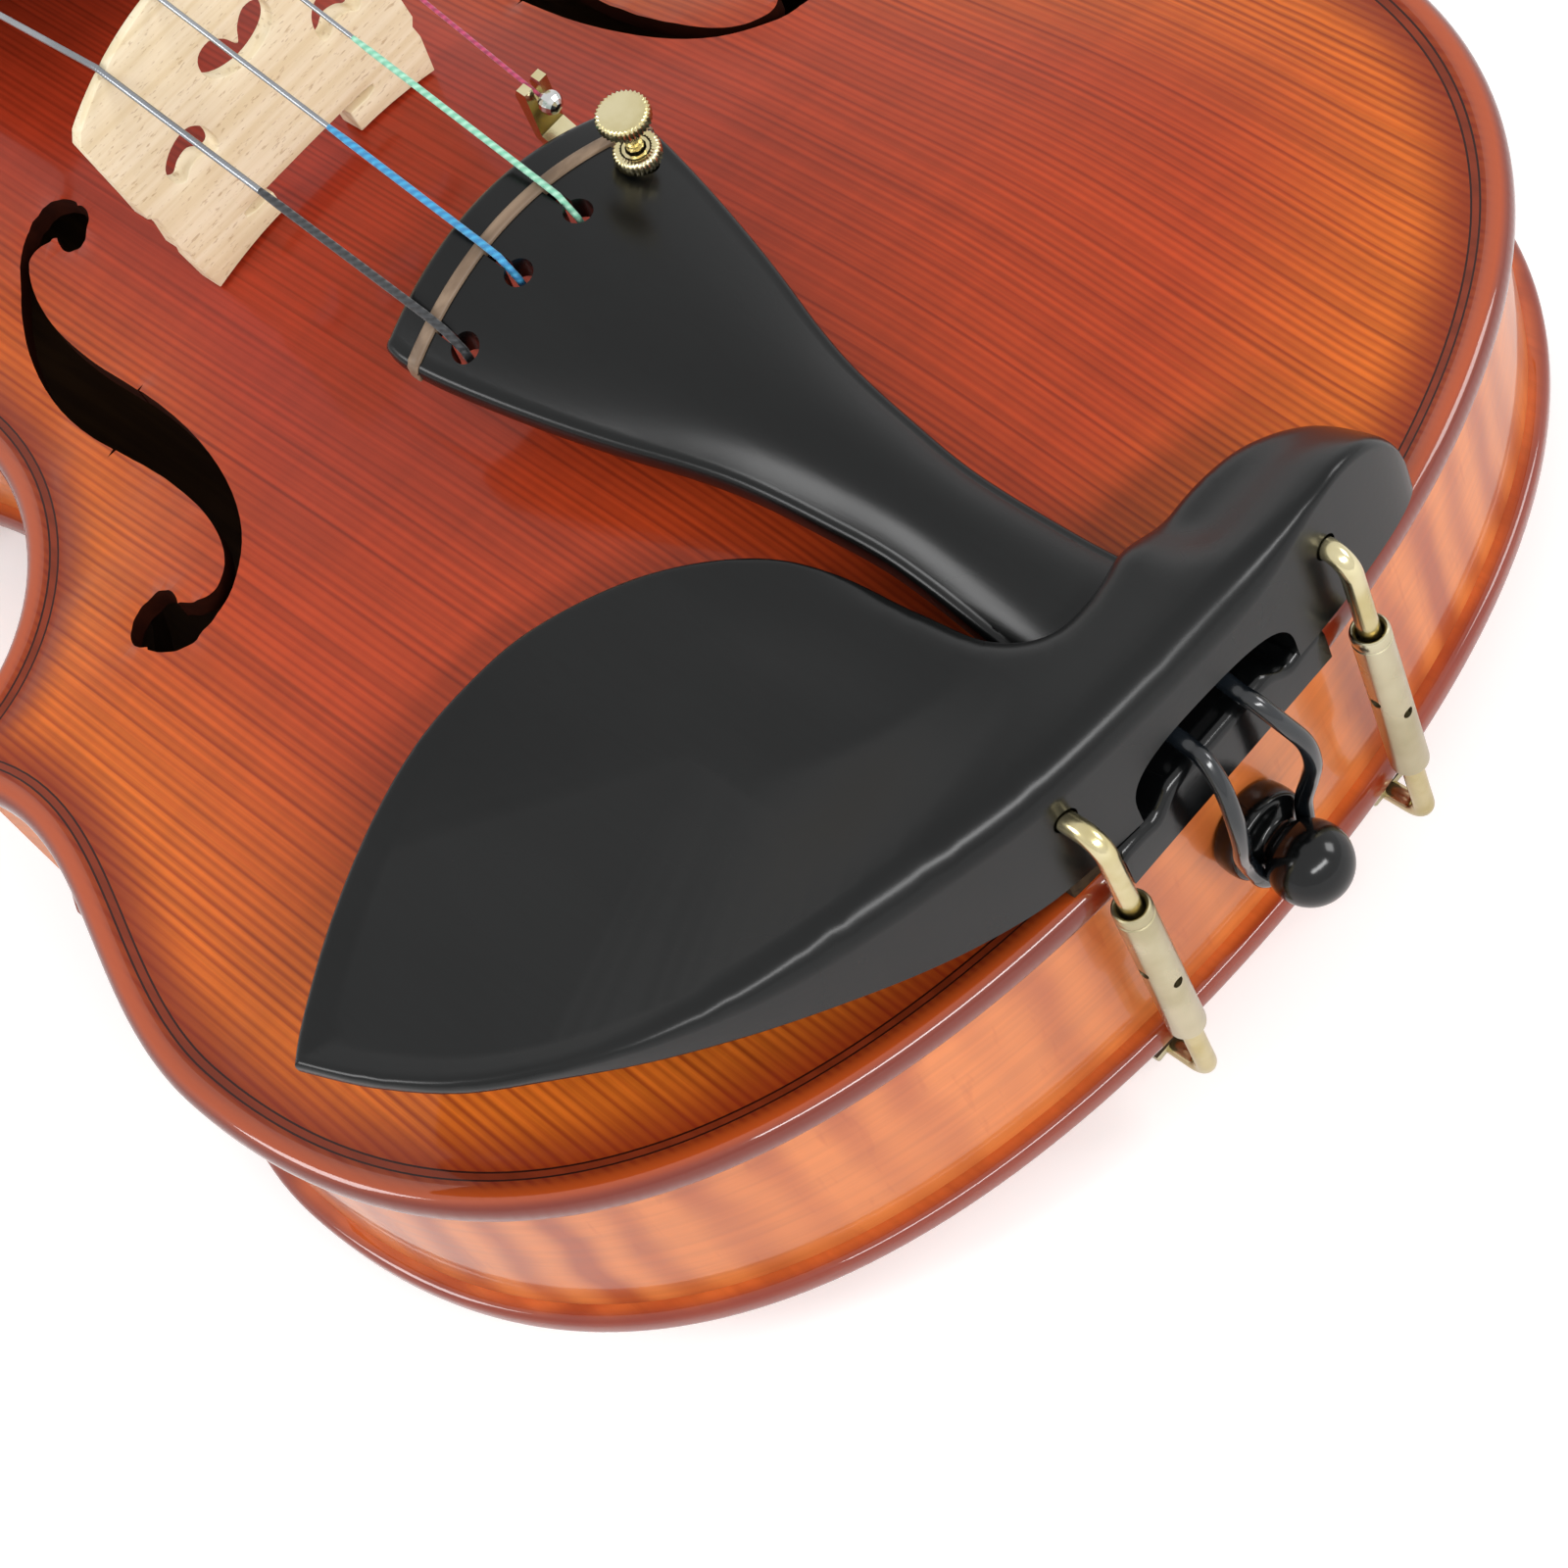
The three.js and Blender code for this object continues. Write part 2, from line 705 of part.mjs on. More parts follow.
// Plan surface inside a polygon: its corners, rings inside it and a lattice in the middle.
function surfaceOver(polygon, insets, spacing) {
  const distance = distanceTo(polygon);
  const points = polygon.map((p) => p.clone());
  const clear = (x, y, gap) => points.every((p) => Math.hypot(p.x - x, p.y - y) > gap);
  const closed = [polygon[polygon.length - 1], ...polygon, polygon[0]];
  insets.forEach((inset) => {
    const ring = beside(closed, inset).slice(1, -1);
    const gap = Math.min(inset * 0.8, spacing * 0.45);
    ring.forEach((p) => {
      const deepEnough = inside(polygon, p.x, p.y) && distance(p.x, p.y) > inset * 0.97;
      if (deepEnough && clear(p.x, p.y, gap)) {
        points.push(p);
      }
    });
  });
  const deepest = insets.length > 0 ? insets[insets.length - 1] : 0;
  const bounds = new THREE.Box2().setFromPoints(polygon);
  const rowStep = spacing * Math.sqrt(0.75);
  const rows = Math.ceil((bounds.max.y - bounds.min.y) / rowStep);
  const columns = Math.ceil((bounds.max.x - bounds.min.x) / spacing);
  const centre = bounds.getCenter(v2());
  for (let j = -rows; j <= rows; j += 1) {
    for (let i = -columns; i <= columns; i += 1) {
      const x = centre.x + (i + (j % 2) / 2) * spacing;
      const y = centre.y + j * rowStep;
      if (inside(polygon, x, y) && distance(x, y) > deepest + spacing * 0.5
        && clear(x, y, spacing * 0.6)) {
        points.push(v2(x, y));
      }
    }
  }
  const triangles = delaunay(points).filter(([a, b, c]) => {
    const x = (points[a].x + points[b].x + points[c].x) / 3;
    const y = (points[a].y + points[b].y + points[c].y) / 3;
    return inside(polygon, x, y);
  });
  return { points, triangles, rim: polygon.length };
}

// Solid between two height functions over surfaces that share one rim.
function carved(top, topHeight, bottom, bottomHeight) {
  const positions = [];
  top.points.forEach((p) => positions.push(p.x, p.y, topHeight(p.x, p.y)));
  bottom.points.forEach((p) => positions.push(p.x, p.y, bottomHeight(p.x, p.y)));
  const shift = top.points.length;
  const triangles = top.triangles.flat();
  bottom.triangles.forEach(([a, b, c]) => triangles.push(c + shift, b + shift, a + shift));
  for (let i = 0; i < top.rim; i += 1) {
    const j = (i + 1) % top.rim;
    triangles.push(i, i + shift, j, j, i + shift, j + shift);
  }
  return geometryFrom(positions, triangles);
}

// Arching of the plates

const edgeDistance = distanceTo(outline);

function archRise(x, y) {
  const d = edgeDistance(x, y);
  if (d < channelInset) {
    const t = Math.max(d - edgeRounding, 0) / (channelInset - edgeRounding);
    return d < edgeRounding ? 0 : -smooth(t);
  }
  return null;
}

// Rise of a plate's outer face above its edge, for an arch of the given height.
function outerRise(x, y, arch) {
  const d = edgeDistance(x, y);
  if (d < edgeRounding / 2) {
    return -edgeDrop;
  }
  const channel = archRise(x, y);
  if (channel !== null) {
    return channel * channelDepth;
  }
  const away = smooth(Math.abs(y - waistY) / reachSpan);
  const reach = mix(waistReach, y < waistY ? lowerReach : upperReach, away);
  const t = Math.min((d - channelInset) / (reach - channelInset), 1);
  const across = (smooth(t) + 1 - (1 - t) ** 2) / 2;
  const u = Math.abs((2 * y) / bodyLength - 1);
  const along = Math.sqrt(Math.max(1 - u ** 4, 0));
  return -channelDepth + (arch + channelDepth) * across * along;
}

const outerInsets = [edgeRounding, channelInset, ...ringInsets];
const outerSurface = surfaceOver(outline, outerInsets, plateSpacing);
const innerSurface = surfaceOver(outline, [glueWidth, hollowInset], hollowSpacing);

function bellyTop(x, y) {
  return bellyRimZ + outerRise(x, y, bellyArch);
}

function bellyUnder(x, y) {
  if (edgeDistance(x, y) < glueWidth + edgeRounding) {
    return bellyGlueZ;
  }
  return Math.max(bellyTop(x, y) - bellyThickness, bellyGlueZ);
}

function backOutside(x, y) {
  return backRimZ - outerRise(x, y, backRimZ);
}

function backInside(x, y) {
  if (edgeDistance(x, y) < glueWidth + edgeRounding) {
    return backGlueZ;
  }
  return Math.min(backOutside(x, y) + backThickness, backGlueZ);
}

// Everything above the belly's underside, or below its top, for cutting what fits against it.
const farAbove = bellyRimZ + bodyLength;
const farBelow = -bodyLength;
const overBellyUnderside = carved(innerSurface, () => farAbove, innerSurface, bellyUnder);
const underBellyTop = carved(outerSurface, bellyTop, outerSurface, () => farBelow);
const underBackInside = carved(innerSurface, backInside, innerSurface, () => farBelow);

// Cutting tools shared by the sound box

function neckRootPlan(gap) {
  const half = neckRootWidth / 2 + gap;
  const inner = bodyLength - neckRootDepth - gap;
  return [v2(-half, inner), v2(half, inner), v2(half, bodyLength + overrun),
    v2(-half, bodyLength + overrun)];
}

const mortise = prism(neckRootPlan(fitGap), backGlueZ, bellyRimZ + overrun);

function saddleSeat() {
  const half = saddleWidth / 2 + fitGap;
  return box(-half, half, -overrun, saddleDepth + fitGap, bellyGlueZ - overrun, bellyRimZ + overrun);
}

const endButtonHole = new THREE.CylinderGeometry(
  endButtonShankRadius + fitGap, endButtonShankRadius + fitGap, 4 * overrun + endBlockDepth, arcSteps,
).translate(0, endBlockDepth / 2, endButtonZ);

// F-holes

function fPoint(side, [u, v]) {
  return v2(side * mix(upperEyeX, lowerEyeX, u), mix(upperEyeY, lowerEyeY, v));
}

function fHoleTools(side) {
  const z0 = bellyGlueZ - overrun;
  const z1 = bellyRimZ + bellyArch + overrun;
  const at = (share) => fPoint(side, share);
  const shape = new THREE.Shape();
  const start = at(fChannelShares.start);
  shape.moveTo(start.x, start.y);
  fChannelShares.curves.forEach(([a, b, c]) => {
    const [p, q, r] = [at(a), at(b), at(c)];
    shape.bezierCurveTo(p.x, p.y, q.x, q.y, r.x, r.y);
  });
  const channel = new THREE.ExtrudeGeometry(
    shape, { depth: z1 - z0, bevelEnabled: false, curveSegments: 5 }).translate(0, 0, z0);
  const nicks = [[fNickShares.innerX, -1], [fNickShares.outerX, 1]].map(([x, way]) => {
    const root = at([x, fNickShares.y]);
    const out = side * way;
    return prism([
      v2(root.x - out * nickWidth, root.y - nickWidth / 2),
      v2(root.x + out * nickDepth, root.y),
      v2(root.x - out * nickWidth, root.y + nickWidth / 2),
    ], z0, z1);
  });
  const upper = post(side * upperEyeX, upperEyeY, z0, z1, upperEyeRadius);
  const lower = post(side * lowerEyeX, lowerEyeY, z0, z1, lowerEyeRadius);
  return [channel, upper, lower, ...nicks];
}

function makeBelly() {
  const plate = carved(outerSurface, bellyTop, innerSurface, bellyUnder);
  return cut(plate, ...fHoleTools(1), ...fHoleTools(-1), mortise, saddleSeat());
}

function makeBack() {
  const plate = carved(innerSurface, backInside, outerSurface, backOutside);
  const top = backGlueZ;
  const button = post(0, bodyLength, top - backEdgeThickness * 0.95, top, buttonRadius);
  return join(plate, button);
}

// Ribs. Each path runs with the inside of the body on its left.

function mirrored(path) {
  return path.map((p) => v2(-p.x, p.y)).reverse();
}

const treblePaths = {
  lower: chain('lowerBout', 'lowerFlank'),
  centre: chain('lowerWaist', 'upperWaist'),
  upper: chain('upperFlank', 'upperBout'),
};
const ribPaths = {
  treble: treblePaths,
  bass: {
    lower: mirrored(treblePaths.lower),
    centre: mirrored(treblePaths.centre),
    upper: mirrored(treblePaths.upper),
  },
};

// The corner between two ribs: its tip, and the way from the tip into the body.
function cornerOf(side, tipName) {
  const tip = stretch(tipName);
  const [a, b] = [tip[0], tip[tip.length - 1]];
  const middle = a.clone().add(b).multiplyScalar(0.5);
  const along = b.clone().sub(a).normalize();
  const inward = v2(-along.y, along.x);
  const mirror = side === 'bass' ? -1 : 1;
  return {
    tip: v2(mirror * middle.x, middle.y),
    inward: v2(mirror * inward.x, inward.y),
    towardScroll: v2(mirror * along.x, along.y),
  };
}

const corners = {
  treble: { lower: cornerOf('treble', 'lowerTip'), upper: cornerOf('treble', 'upperTip') },
  bass: { lower: cornerOf('bass', 'lowerTip'), upper: cornerOf('bass', 'upperTip') },
};

// Cuts a rib end at the mitre of a corner; way is +1 to keep the scroll side and -1 for the tail side.
function mitreTools(corner, way) {
  const normal = corner.towardScroll.clone().multiplyScalar(-way);
  const face = corner.tip.clone().addScaledVector(normal, -fitGap / 2);
  const end = corner.tip.clone().addScaledVector(corner.inward, cornerTipInset);
  return [sideOf(face, normal), sideOf(end, corner.inward.clone().negate(), cornerBlockReach)];
}

function liningStretch(path, side) {
  const away = (p) => ['lower', 'upper'].every(
    (name) => corners[side][name].tip.distanceTo(p) > cornerBlockReach);
  return path.filter((p) => away(p) && Math.abs(p.x) > endBlockWidth / 2 + liningThickness);
}

function makeRib(side, name) {
  const path = ribPaths[side][name];
  const wall = prism(
    band(path, plateOverhang, plateOverhang + ribThickness, name === 'centre' ? overrun / 2 : 0),
    backGlueZ, bellyGlueZ);
  const near = plateOverhang + ribThickness - liningLap;
  const far = plateOverhang + ribThickness + liningThickness;
  const run = liningStretch(path, side);
  const lower = prism(band(run, near, far), backGlueZ, backGlueZ + liningHeight);
  const upper = prism(band(run, near, far), bellyGlueZ - liningHeight, bellyGlueZ);
  const mirror = side === 'bass' ? -1 : 1;
  const centreLine = sideOf(v2(mirror * fitGap / 2, 0), v2(-mirror, 0));
  const tools = {
    lower: [...mitreTools(corners[side].lower, -1), centreLine, endButtonHole],
    centre: [...mitreTools(corners[side].lower, 1), ...mitreTools(corners[side].upper, -1)],
    upper: [...mitreTools(corners[side].upper, 1), mortise],
  }[name];
  return cut(join(wall, lower, upper), ...tools);
}

function makeCornerBlock(side, which) {
  const near = plateOverhang + ribThickness + fitGap;
  const far = near + cornerBlockDepth;
  const bout = prism(band(ribPaths[side][which], near, far, overrun), backGlueZ, bellyGlueZ);
  const waist = prism(band(ribPaths[side].centre, near, far, overrun), backGlueZ, bellyGlueZ);
  const corner = corners[side][which];
  const reach = corner.tip.clone().addScaledVector(corner.inward, cornerBlockReach - liningThickness);
  return cut(common(bout, waist), sideOf(reach, corner.inward));
}

function makeEndBlock(boutName, yStart, yEnd, ...tools) {
  const half = ribPaths.treble[boutName];
  const inset = beside(half, plateOverhang + ribThickness + fitGap);
  const plan = inset.concat(mirrored(inset).filter((p) => p.x < 0));
  const wood = prism(plan, backGlueZ, bellyGlueZ);
  const slab = box(-endBlockWidth / 2, endBlockWidth / 2, yStart, yEnd, farBelow, farAbove);
  return cut(common(wood, slab), ...tools);
}

// Bass bar and sound post

function makeBassBar() {
  const middle = bodyLength / 2;
  const half = bassBarLength / 2;
  const steps = 10;
  const plan = [];
  for (let i = 0; i <= steps; i += 1) {
    const t = (2 * i) / steps - 1;
    const arch = bellyUnder(bassBarX, middle + t * half);
    const depth = mix(bassBarHeight, bassBarEndHeight, t * t);
    plan.push(v2(middle + t * half, arch - depth));
  }
  plan.push(v2(middle + half, farAbove / 4), v2(middle - half, farAbove / 4));
  const blank = new THREE.ExtrudeGeometry(
    new THREE.Shape(plan), { depth: bassBarWidth, bevelEnabled: false });
  blank.rotateX(Math.PI / 2).rotateZ(Math.PI / 2).translate(bassBarX - bassBarWidth / 2, 0, 0);
  return cut(blank, overBellyUnderside.clone().translate(0, 0, -fitGap));
}

function makeSoundPost() {
  const y = bridgeY - soundPostSetback;
  const blank = post(soundPostX, y, 0, bellyRimZ + bellyArch, soundPostRadius);
  return cut(blank, overBellyUnderside.clone().translate(0, 0, -fitGap),
    underBackInside.clone().translate(0, 0, fitGap));
}

// Neck, pegbox and scroll. The neck frame has its origin on the gluing face at the body edge.

const neckFrame = new THREE.Matrix4().makeRotationX(-neckAngle).setPosition(
  0, bodyLength, bellyRimZ + neckOverstand);

function inNeckFrame(geometry) {
  return geometry.applyMatrix4(neckFrame);
}

function neckPoint(x, run, height) {
  return v3(x, run, height).applyMatrix4(neckFrame);
}

function boardWidth(run) {
  const t = (neckLength - run) / fingerboardLength;
  return mix(neckEndWidth, fingerboardEndWidth, t);
}

// Half-round section under the gluing face.
function shaftLoop(run, width, depth, lean) {
  const loop = [];
  const steps = 8;
  for (let k = 0; k <= steps; k += 1) {
    const a = Math.PI * (k / steps);
    const drop = depth * Math.sin(a) ** 0.8;
    loop.push(v3((width / 2) * Math.cos(a), run + drop * lean, -drop));
  }
  return loop;
}

function heelLoop(z, width, reach) {
  const half = width / 2;
  const inner = bodyLength - neckRootDepth;
  const loop = [v3(-half, inner, z), v3(half, inner, z)];
  const steps = 8;
  for (let k = 0; k <= steps; k += 1) {
    const a = Math.PI * (k / steps);
    loop.push(v3(half * Math.cos(a), bodyLength + reach * Math.sin(a), z));
  }
  return loop;
}

function makeHeel() {
  const top = bellyRimZ + neckOverstand / 2;
  const levels = 7;
  const loops = [];
  for (let i = 0; i <= levels; i += 1) {
    const t = i / levels;
    const width = mix(heelWidth, neckRootWidth, Math.sqrt(t) * t);
    const reach = heelReach + (heelFlare - heelReach) * t ** 5;
    loops.push(heelLoop(mix(backGlueZ, top, t), width, reach));
  }
  return loft(loops);
}

function makeShaft() {
  const runs = [-neckRootDepth, 0, neckLength * 0.3, neckLength * 0.6, neckLength * 0.9, neckLength];
  const loops = runs.map((run, i) => {
    const lean = i === 0 ? neckSlope : 0;
    return shaftLoop(run, boardWidth(run) - fitGap, neckDepth, lean);
  });
  return inNeckFrame(loft(loops));
}

function pegboxPoint([run, drop]) {
  return v2(neckLength + run * pegboxLength, -drop * pegboxDepth);
}

// Slab with a side outline in the neck frame and a width that changes along its run.
function taperedSlab(profile, halfWidthAt) {
  const points = THREE.ShapeUtils.isClockWise(profile) ? [...profile].reverse() : profile;
  const faces = THREE.ShapeUtils.triangulateShape(points, []);
  const n = points.length;
  const positions = [];
  [-1, 1].forEach((side) => points.forEach((p) => {
    positions.push(side * halfWidthAt(p.x), p.x, p.y);
  }));
  const triangles = [];
  faces.forEach(([a, b, c]) => triangles.push(a, b, c, c + n, b + n, a + n));
  for (let i = 0; i < n; i += 1) {
    const j = (i + 1) % n;
    triangles.push(j, i, i + n, j, i + n, j + n);
  }
  return geometryFrom(positions, triangles);
}

function pegboxHalfWidth(run) {
  const t = THREE.MathUtils.clamp((run - neckLength) / pegboxLength, 0, 1);
  return mix(neckEndWidth, pegboxThroatWidth, t) / 2;
}

function scrollHalfWidth(turn) {
  return mix(scrollStartWidth, scrollEyeSpan, smooth(Math.min(turn / (scrollTurns * 0.9), 1))) / 2;
}

// The volute: a ribbon that winds inwards and steps outwards at each turn, on both sides.
function makeScroll() {
  const steps = Math.round(scrollSteps * scrollTurns);
  const centre = v2(neckLength + scrollCentreRun, -scrollCentreDrop);
  const radiusAt = (turn) => {
    const t = Math.min(turn / scrollTurns, 1);
    return scrollEyeRadius + (scrollRadius - scrollEyeRadius) * (1 - t) ** 1.25;
  };
  const place = (turn, radius, x) => {
    const a = scrollStartAngle + turn * 2 * Math.PI;
    return [x, centre.x + radius * Math.cos(a), centre.y + radius * Math.sin(a)];
  };
  const positions = [];
  const add = (p) => {
    positions.push(...p);
    return positions.length / 3 - 1;
  };
  const crest = { '-1': [], 1: [] };
  const foot = { '-1': [], 1: [] };
  const triangles = [];
  const quad = (a, b, c, d, side) => {
    if (side > 0) {
      triangles.push(a, b, c, a, c, d);
    } else {
      triangles.push(a, c, b, a, d, c);
    }
  };
  [-1, 1].forEach((side) => {
    for (let i = 0; i <= steps + scrollSteps; i += 1) {
      const turn = i / scrollSteps;
      crest[side].push(add(place(turn, radiusAt(turn), side * scrollHalfWidth(turn))));
    }
    for (let i = 0; i <= steps; i += 1) {
      const turn = i / scrollSteps;
      foot[side].push(add(place(turn, radiusAt(turn + 1), side * scrollHalfWidth(turn))));
    }
    for (let i = 0; i < steps; i += 1) {
      quad(crest[side][i], crest[side][i + 1], foot[side][i + 1], foot[side][i], side);
      quad(foot[side][i], foot[side][i + 1], crest[side][i + 1 + scrollSteps],
        crest[side][i + scrollSteps], side);
    }
    const eye = add([side * scrollHalfWidth(scrollTurns + 1), centre.x, centre.y]);
    for (let i = steps; i < steps + scrollSteps; i += 1) {
      triangles.push(...(side > 0
        ? [crest[1][i], crest[1][i + 1], eye] : [crest[-1][i + 1], crest[-1][i], eye]));
    }
  });
  const ridge = [];
  for (let i = 0; i <= scrollSteps; i += 1) {
    const turn = i / scrollSteps;
    const half = scrollHalfWidth(turn);
    const row = scrollRidgeShares.map((share) => {
      const depth = share === 0 ? 0 : scrollFlute;
      return add(place(turn, radiusAt(turn) - depth, share * half));
    });
    ridge.push([crest[-1][i], ...row, crest[1][i]]);
  }
  for (let i = 0; i < scrollSteps; i += 1) {
    for (let k = 0; k + 1 < ridge[i].length; k += 1) {
      quad(ridge[i][k], ridge[i + 1][k], ridge[i + 1][k + 1], ridge[i][k + 1], 1);
    }
  }
  // Flat end under the throat, where the turn starts, and the step where the first turn closes.
  const start = ridge[0];
  const close = ridge[scrollSteps];
  const base = [foot[-1][0], ...start, foot[1][0]];
  for (let k = 1; k + 1 < base.length; k += 1) {
    triangles.push(base[0], base[k], base[k + 1]);
  }
  const inner = [foot[-1][0], ...close, foot[1][0]];
  for (let k = 1; k + 1 < inner.length; k += 1) {
    triangles.push(foot[-1][0], inner[k + 1], inner[k]);
  }
  return inNeckFrame(geometryFrom(positions, triangles));
}

function pegRun(index) {
  return neckLength + firstPegRun + index * pegRunStep;
}

function pegDropAt(run) {
  return pegDrop + (run - pegRun(0)) * pegDropRise * 2;
}

function makePegbox() {
  const profile = [...pegboxTopShares, ...pegboxBackShares].map(pegboxPoint);
  return inNeckFrame(taperedSlab(profile, pegboxHalfWidth));
}

function pegboxCavity() {
  const start = neckLength + nutLength + cavityInset / 2;
  const end = neckLength + pegboxLength - cavityInset;
  const floor = (run) => -pegDropAt(run) - cavityDepth / 2 + cavityInset / 5;
  const points = [v2(start, overrun), v2(start, floor(start) + cavityInset),
    v2(start + cavityInset, floor(start)), v2(end - cavityInset, floor(end)),
    v2(end, floor(end) + cavityInset), v2(end, overrun)];
  return inNeckFrame(taperedSlab(points, (run) => pegboxHalfWidth(run) - pegboxWall));
}

function pegHole(index) {
  const run = pegRun(index);
  const height = -pegDropAt(run);
  const length = neckEndWidth + 2 * overrun;
  const radius = pegShankRadius + fitGap;
  const hole = new THREE.CylinderGeometry(radius, radius, length, arcSteps);
  return inNeckFrame(hole.rotateZ(Math.PI / 2).translate(0, run, height));
}

function makeNeck() {
  const holes = [0, 1, 2, 3].map(pegHole);
  const blank = join(makeHeel(), makeShaft(), makePegbox(), makeScroll());
  return cut(blank, pegboxCavity(), ...holes);
}

function crown(width) {
  return fingerboardRadius - Math.sqrt(fingerboardRadius ** 2 - (width / 2) ** 2);
}

// Height of the fingerboard's top over the gluing face at its middle.
function boardHeight(run) {
  return fingerboardEdge + crown(boardWidth(run));
}

function boardLoop(run, hollow) {
  const width = boardWidth(run);
  const loop = [];
  for (let k = 0; k <= boardSteps; k += 1) {
    const x = (width / 2) * (1 - (2 * k) / boardSteps);
    const fall = fingerboardRadius - Math.sqrt(fingerboardRadius ** 2 - x ** 2);
    loop.push(v3(x, run, boardHeight(run) - fall));
  }
  loop.push(v3(-width / 2, run, fitGap));
  loop.push(v3(0, run, fitGap + hollow));
  loop.push(v3(width / 2, run, fitGap));
  return loop;
}

function makeFingerboard() {
  const runs = [neckLength, neckLength / 2, -neckRootDepth, -neckRootDepth - overrun,
    neckLength - fingerboardLength];
  const hollows = [0, 0, 0, fingerboardHollow, fingerboardHollow];
  const loops = runs.map((run, i) => boardLoop(run, hollows[i]));
  const count = loops[0].length;
  const body = loops.flat().flatMap((p) => [p.x, p.y, p.z]);
  const triangles = [];
  for (let i = 0; i + 1 < loops.length; i += 1) {
    for (let k = 0; k < count; k += 1) {
      const a = i * count + k;
      const b = i * count + ((k + 1) % count);
      triangles.push(a, b, b + count, a, b + count, a + count);
    }
  }
  [0, (loops.length - 1) * count].forEach((first, end) => {
    const bottom = first + boardSteps + 2;
    for (let k = 0; k < count; k += 1) {
      const a = first + k;
      const b = first + ((k + 1) % count);
      if (a !== bottom && b !== bottom) {
        triangles.push(...(end === 0 ? [bottom, b, a] : [bottom, a, b]));
      }
    }
  });
  return inNeckFrame(geometryFrom(body, triangles));
}

function nutTop(x) {
  return boardHeight(neckLength) + nutHeight - (x ** 2) / (2 * fingerboardRadius);
}

function makeNut() {
  const steps = 8;
  const start = neckLength + fitGap;
  const loops = [start, start + nutLength / 2, start + nutLength].map((run, i) => {
    const lower = i === 2 ? nutHeight * 1.4 : 0;
    const loop = [];
    for (let k = 0; k <= steps; k += 1) {
      const x = (neckEndWidth / 2) * (1 - (2 * k) / steps);
      loop.push(v3(x, run, nutTop(x) - lower));
    }
    loop.push(v3(-neckEndWidth / 2, run, fitGap), v3(neckEndWidth / 2, run, fitGap));
    return loop;
  });
  return inNeckFrame(loft(loops));
}

// Bridge

const bridgeFootZ = bellyTop(bridgeFootSpan / 2 - bridgeFootWidth / 2, bridgeY) + fitGap;

function bridgeTopZ(x) {
  const fall = bridgeTopRadius - Math.sqrt(bridgeTopRadius ** 2 - x ** 2);
  return bridgeFootZ + bridgeHeight - fall;
}

function bridgeShape() {
  const half = bridgeShoulderWidth / 2;
  const foot = bridgeFootSpan / 2;
  const inner = foot - bridgeFootWidth;
  const below = -overrun / 2;
  const side = (way) => bridgeSideShares.map(([x, z]) => v2(way * x * half, z * bridgeHeight));
  const shape = new THREE.Shape();
  const steps = 12;
  const points = [];
  for (let k = 0; k <= steps; k += 1) {
    const x = half * ((2 * k) / steps - 1);
    points.push(v2(x, bridgeTopZ(x) - bridgeFootZ));
  }
  points.push(...side(1).slice(1), v2(foot, below), v2(inner, below));
  points.push(v2(inner, bridgeArchRise * 0.8), v2(inner + bridgeArchRise, bridgeArchRise * 0.82));
  points.push(v2(inner + bridgeArchRise, bridgeArchRise), v2(0, bridgeArchRise * 1.06));
  points.push(v2(-inner - bridgeArchRise, bridgeArchRise));
  points.push(v2(-inner - bridgeArchRise, bridgeArchRise * 0.82), v2(-inner, bridgeArchRise * 0.8));
  points.push(v2(-inner, below), v2(-foot, below), ...side(-1).slice(1).reverse());
  shape.setFromPoints(points.reverse());
  [-1, 1].forEach((way) => {
    const kidney = bridgeKidneyShares.map(([x, z]) => v2(way * x * half, z * bridgeHeight));
    shape.holes.push(new THREE.Path(kidney));
  });
  const right = bridgeHeartShares.map(([x, z]) => v2(x * half, z * bridgeHeight));
  const left = right.slice(1, -1).reverse().map((p) => v2(-p.x, p.y));
  shape.holes.push(new THREE.Path([...right, ...left]));
  return shape;
}

function makeBridge() {
  const flat = new THREE.ExtrudeGeometry(
    bridgeShape(), { depth: bridgeFootThickness, bevelEnabled: false });
  flat.translate(0, 0, -bridgeFootThickness / 2);
  const p = flat.attributes.position;
  for (let i = 0; i < p.count; i += 1) {
    const t = THREE.MathUtils.clamp(p.getY(i) / bridgeHeight, 0, 1);
    const share = mix(1, bridgeTopThickness / bridgeFootThickness, t);
    p.setXYZ(i, p.getX(i), bridgeY + p.getZ(i) * share, bridgeFootZ + p.getY(i));
  }
  const blank = facingOut(welded(flat));
  return cut(blank, underBellyTop.clone().translate(0, 0, fitGap));
}

// Tailpiece frame: origin at the middle of its tail end, on its underside.

const tailFrame = new THREE.Matrix4().makeRotationX(tailpieceAngle).setPosition(
  0, tailpieceTailY, tailpieceTailZ);

function inTailFrame(geometry) {
  return geometry.applyMatrix4(tailFrame);
}

function tailPoint(x, run, height) {
  return v3(x, run, height).applyMatrix4(tailFrame);
}

function tailHalfWidth(run) {
  const t = THREE.MathUtils.clamp(run / tailpieceLength, 0, 1);
  const i = Math.max(tailpieceShares.findIndex(([share]) => share >= t), 1);
  const [a, b] = [tailpieceShares[i - 1], tailpieceShares[i]];
  return (mix(a[1], b[1], (t - a[0]) / (b[0] - a[0])) * tailpieceWidth) / 2;
}

function tailTop(x, run) {
  const t = run / tailpieceLength;
  const half = tailHalfWidth(run);
  const edge = tailpieceEdge * mix(1.25, 1, t);
  return edge + tailpieceCrown * mix(0.75, 1, t) * (1 - (x / half) ** 2);
}

function tailUnder(share, run) {
  const depth = tailpieceHollow * smooth((run / tailpieceLength - 0.3) / 0.3);
  const half = tailHalfWidth(run);
  const flat = 1 - tailpieceWall / half;
  return depth * Math.max(1 - (share / flat) ** 2, 0);
}

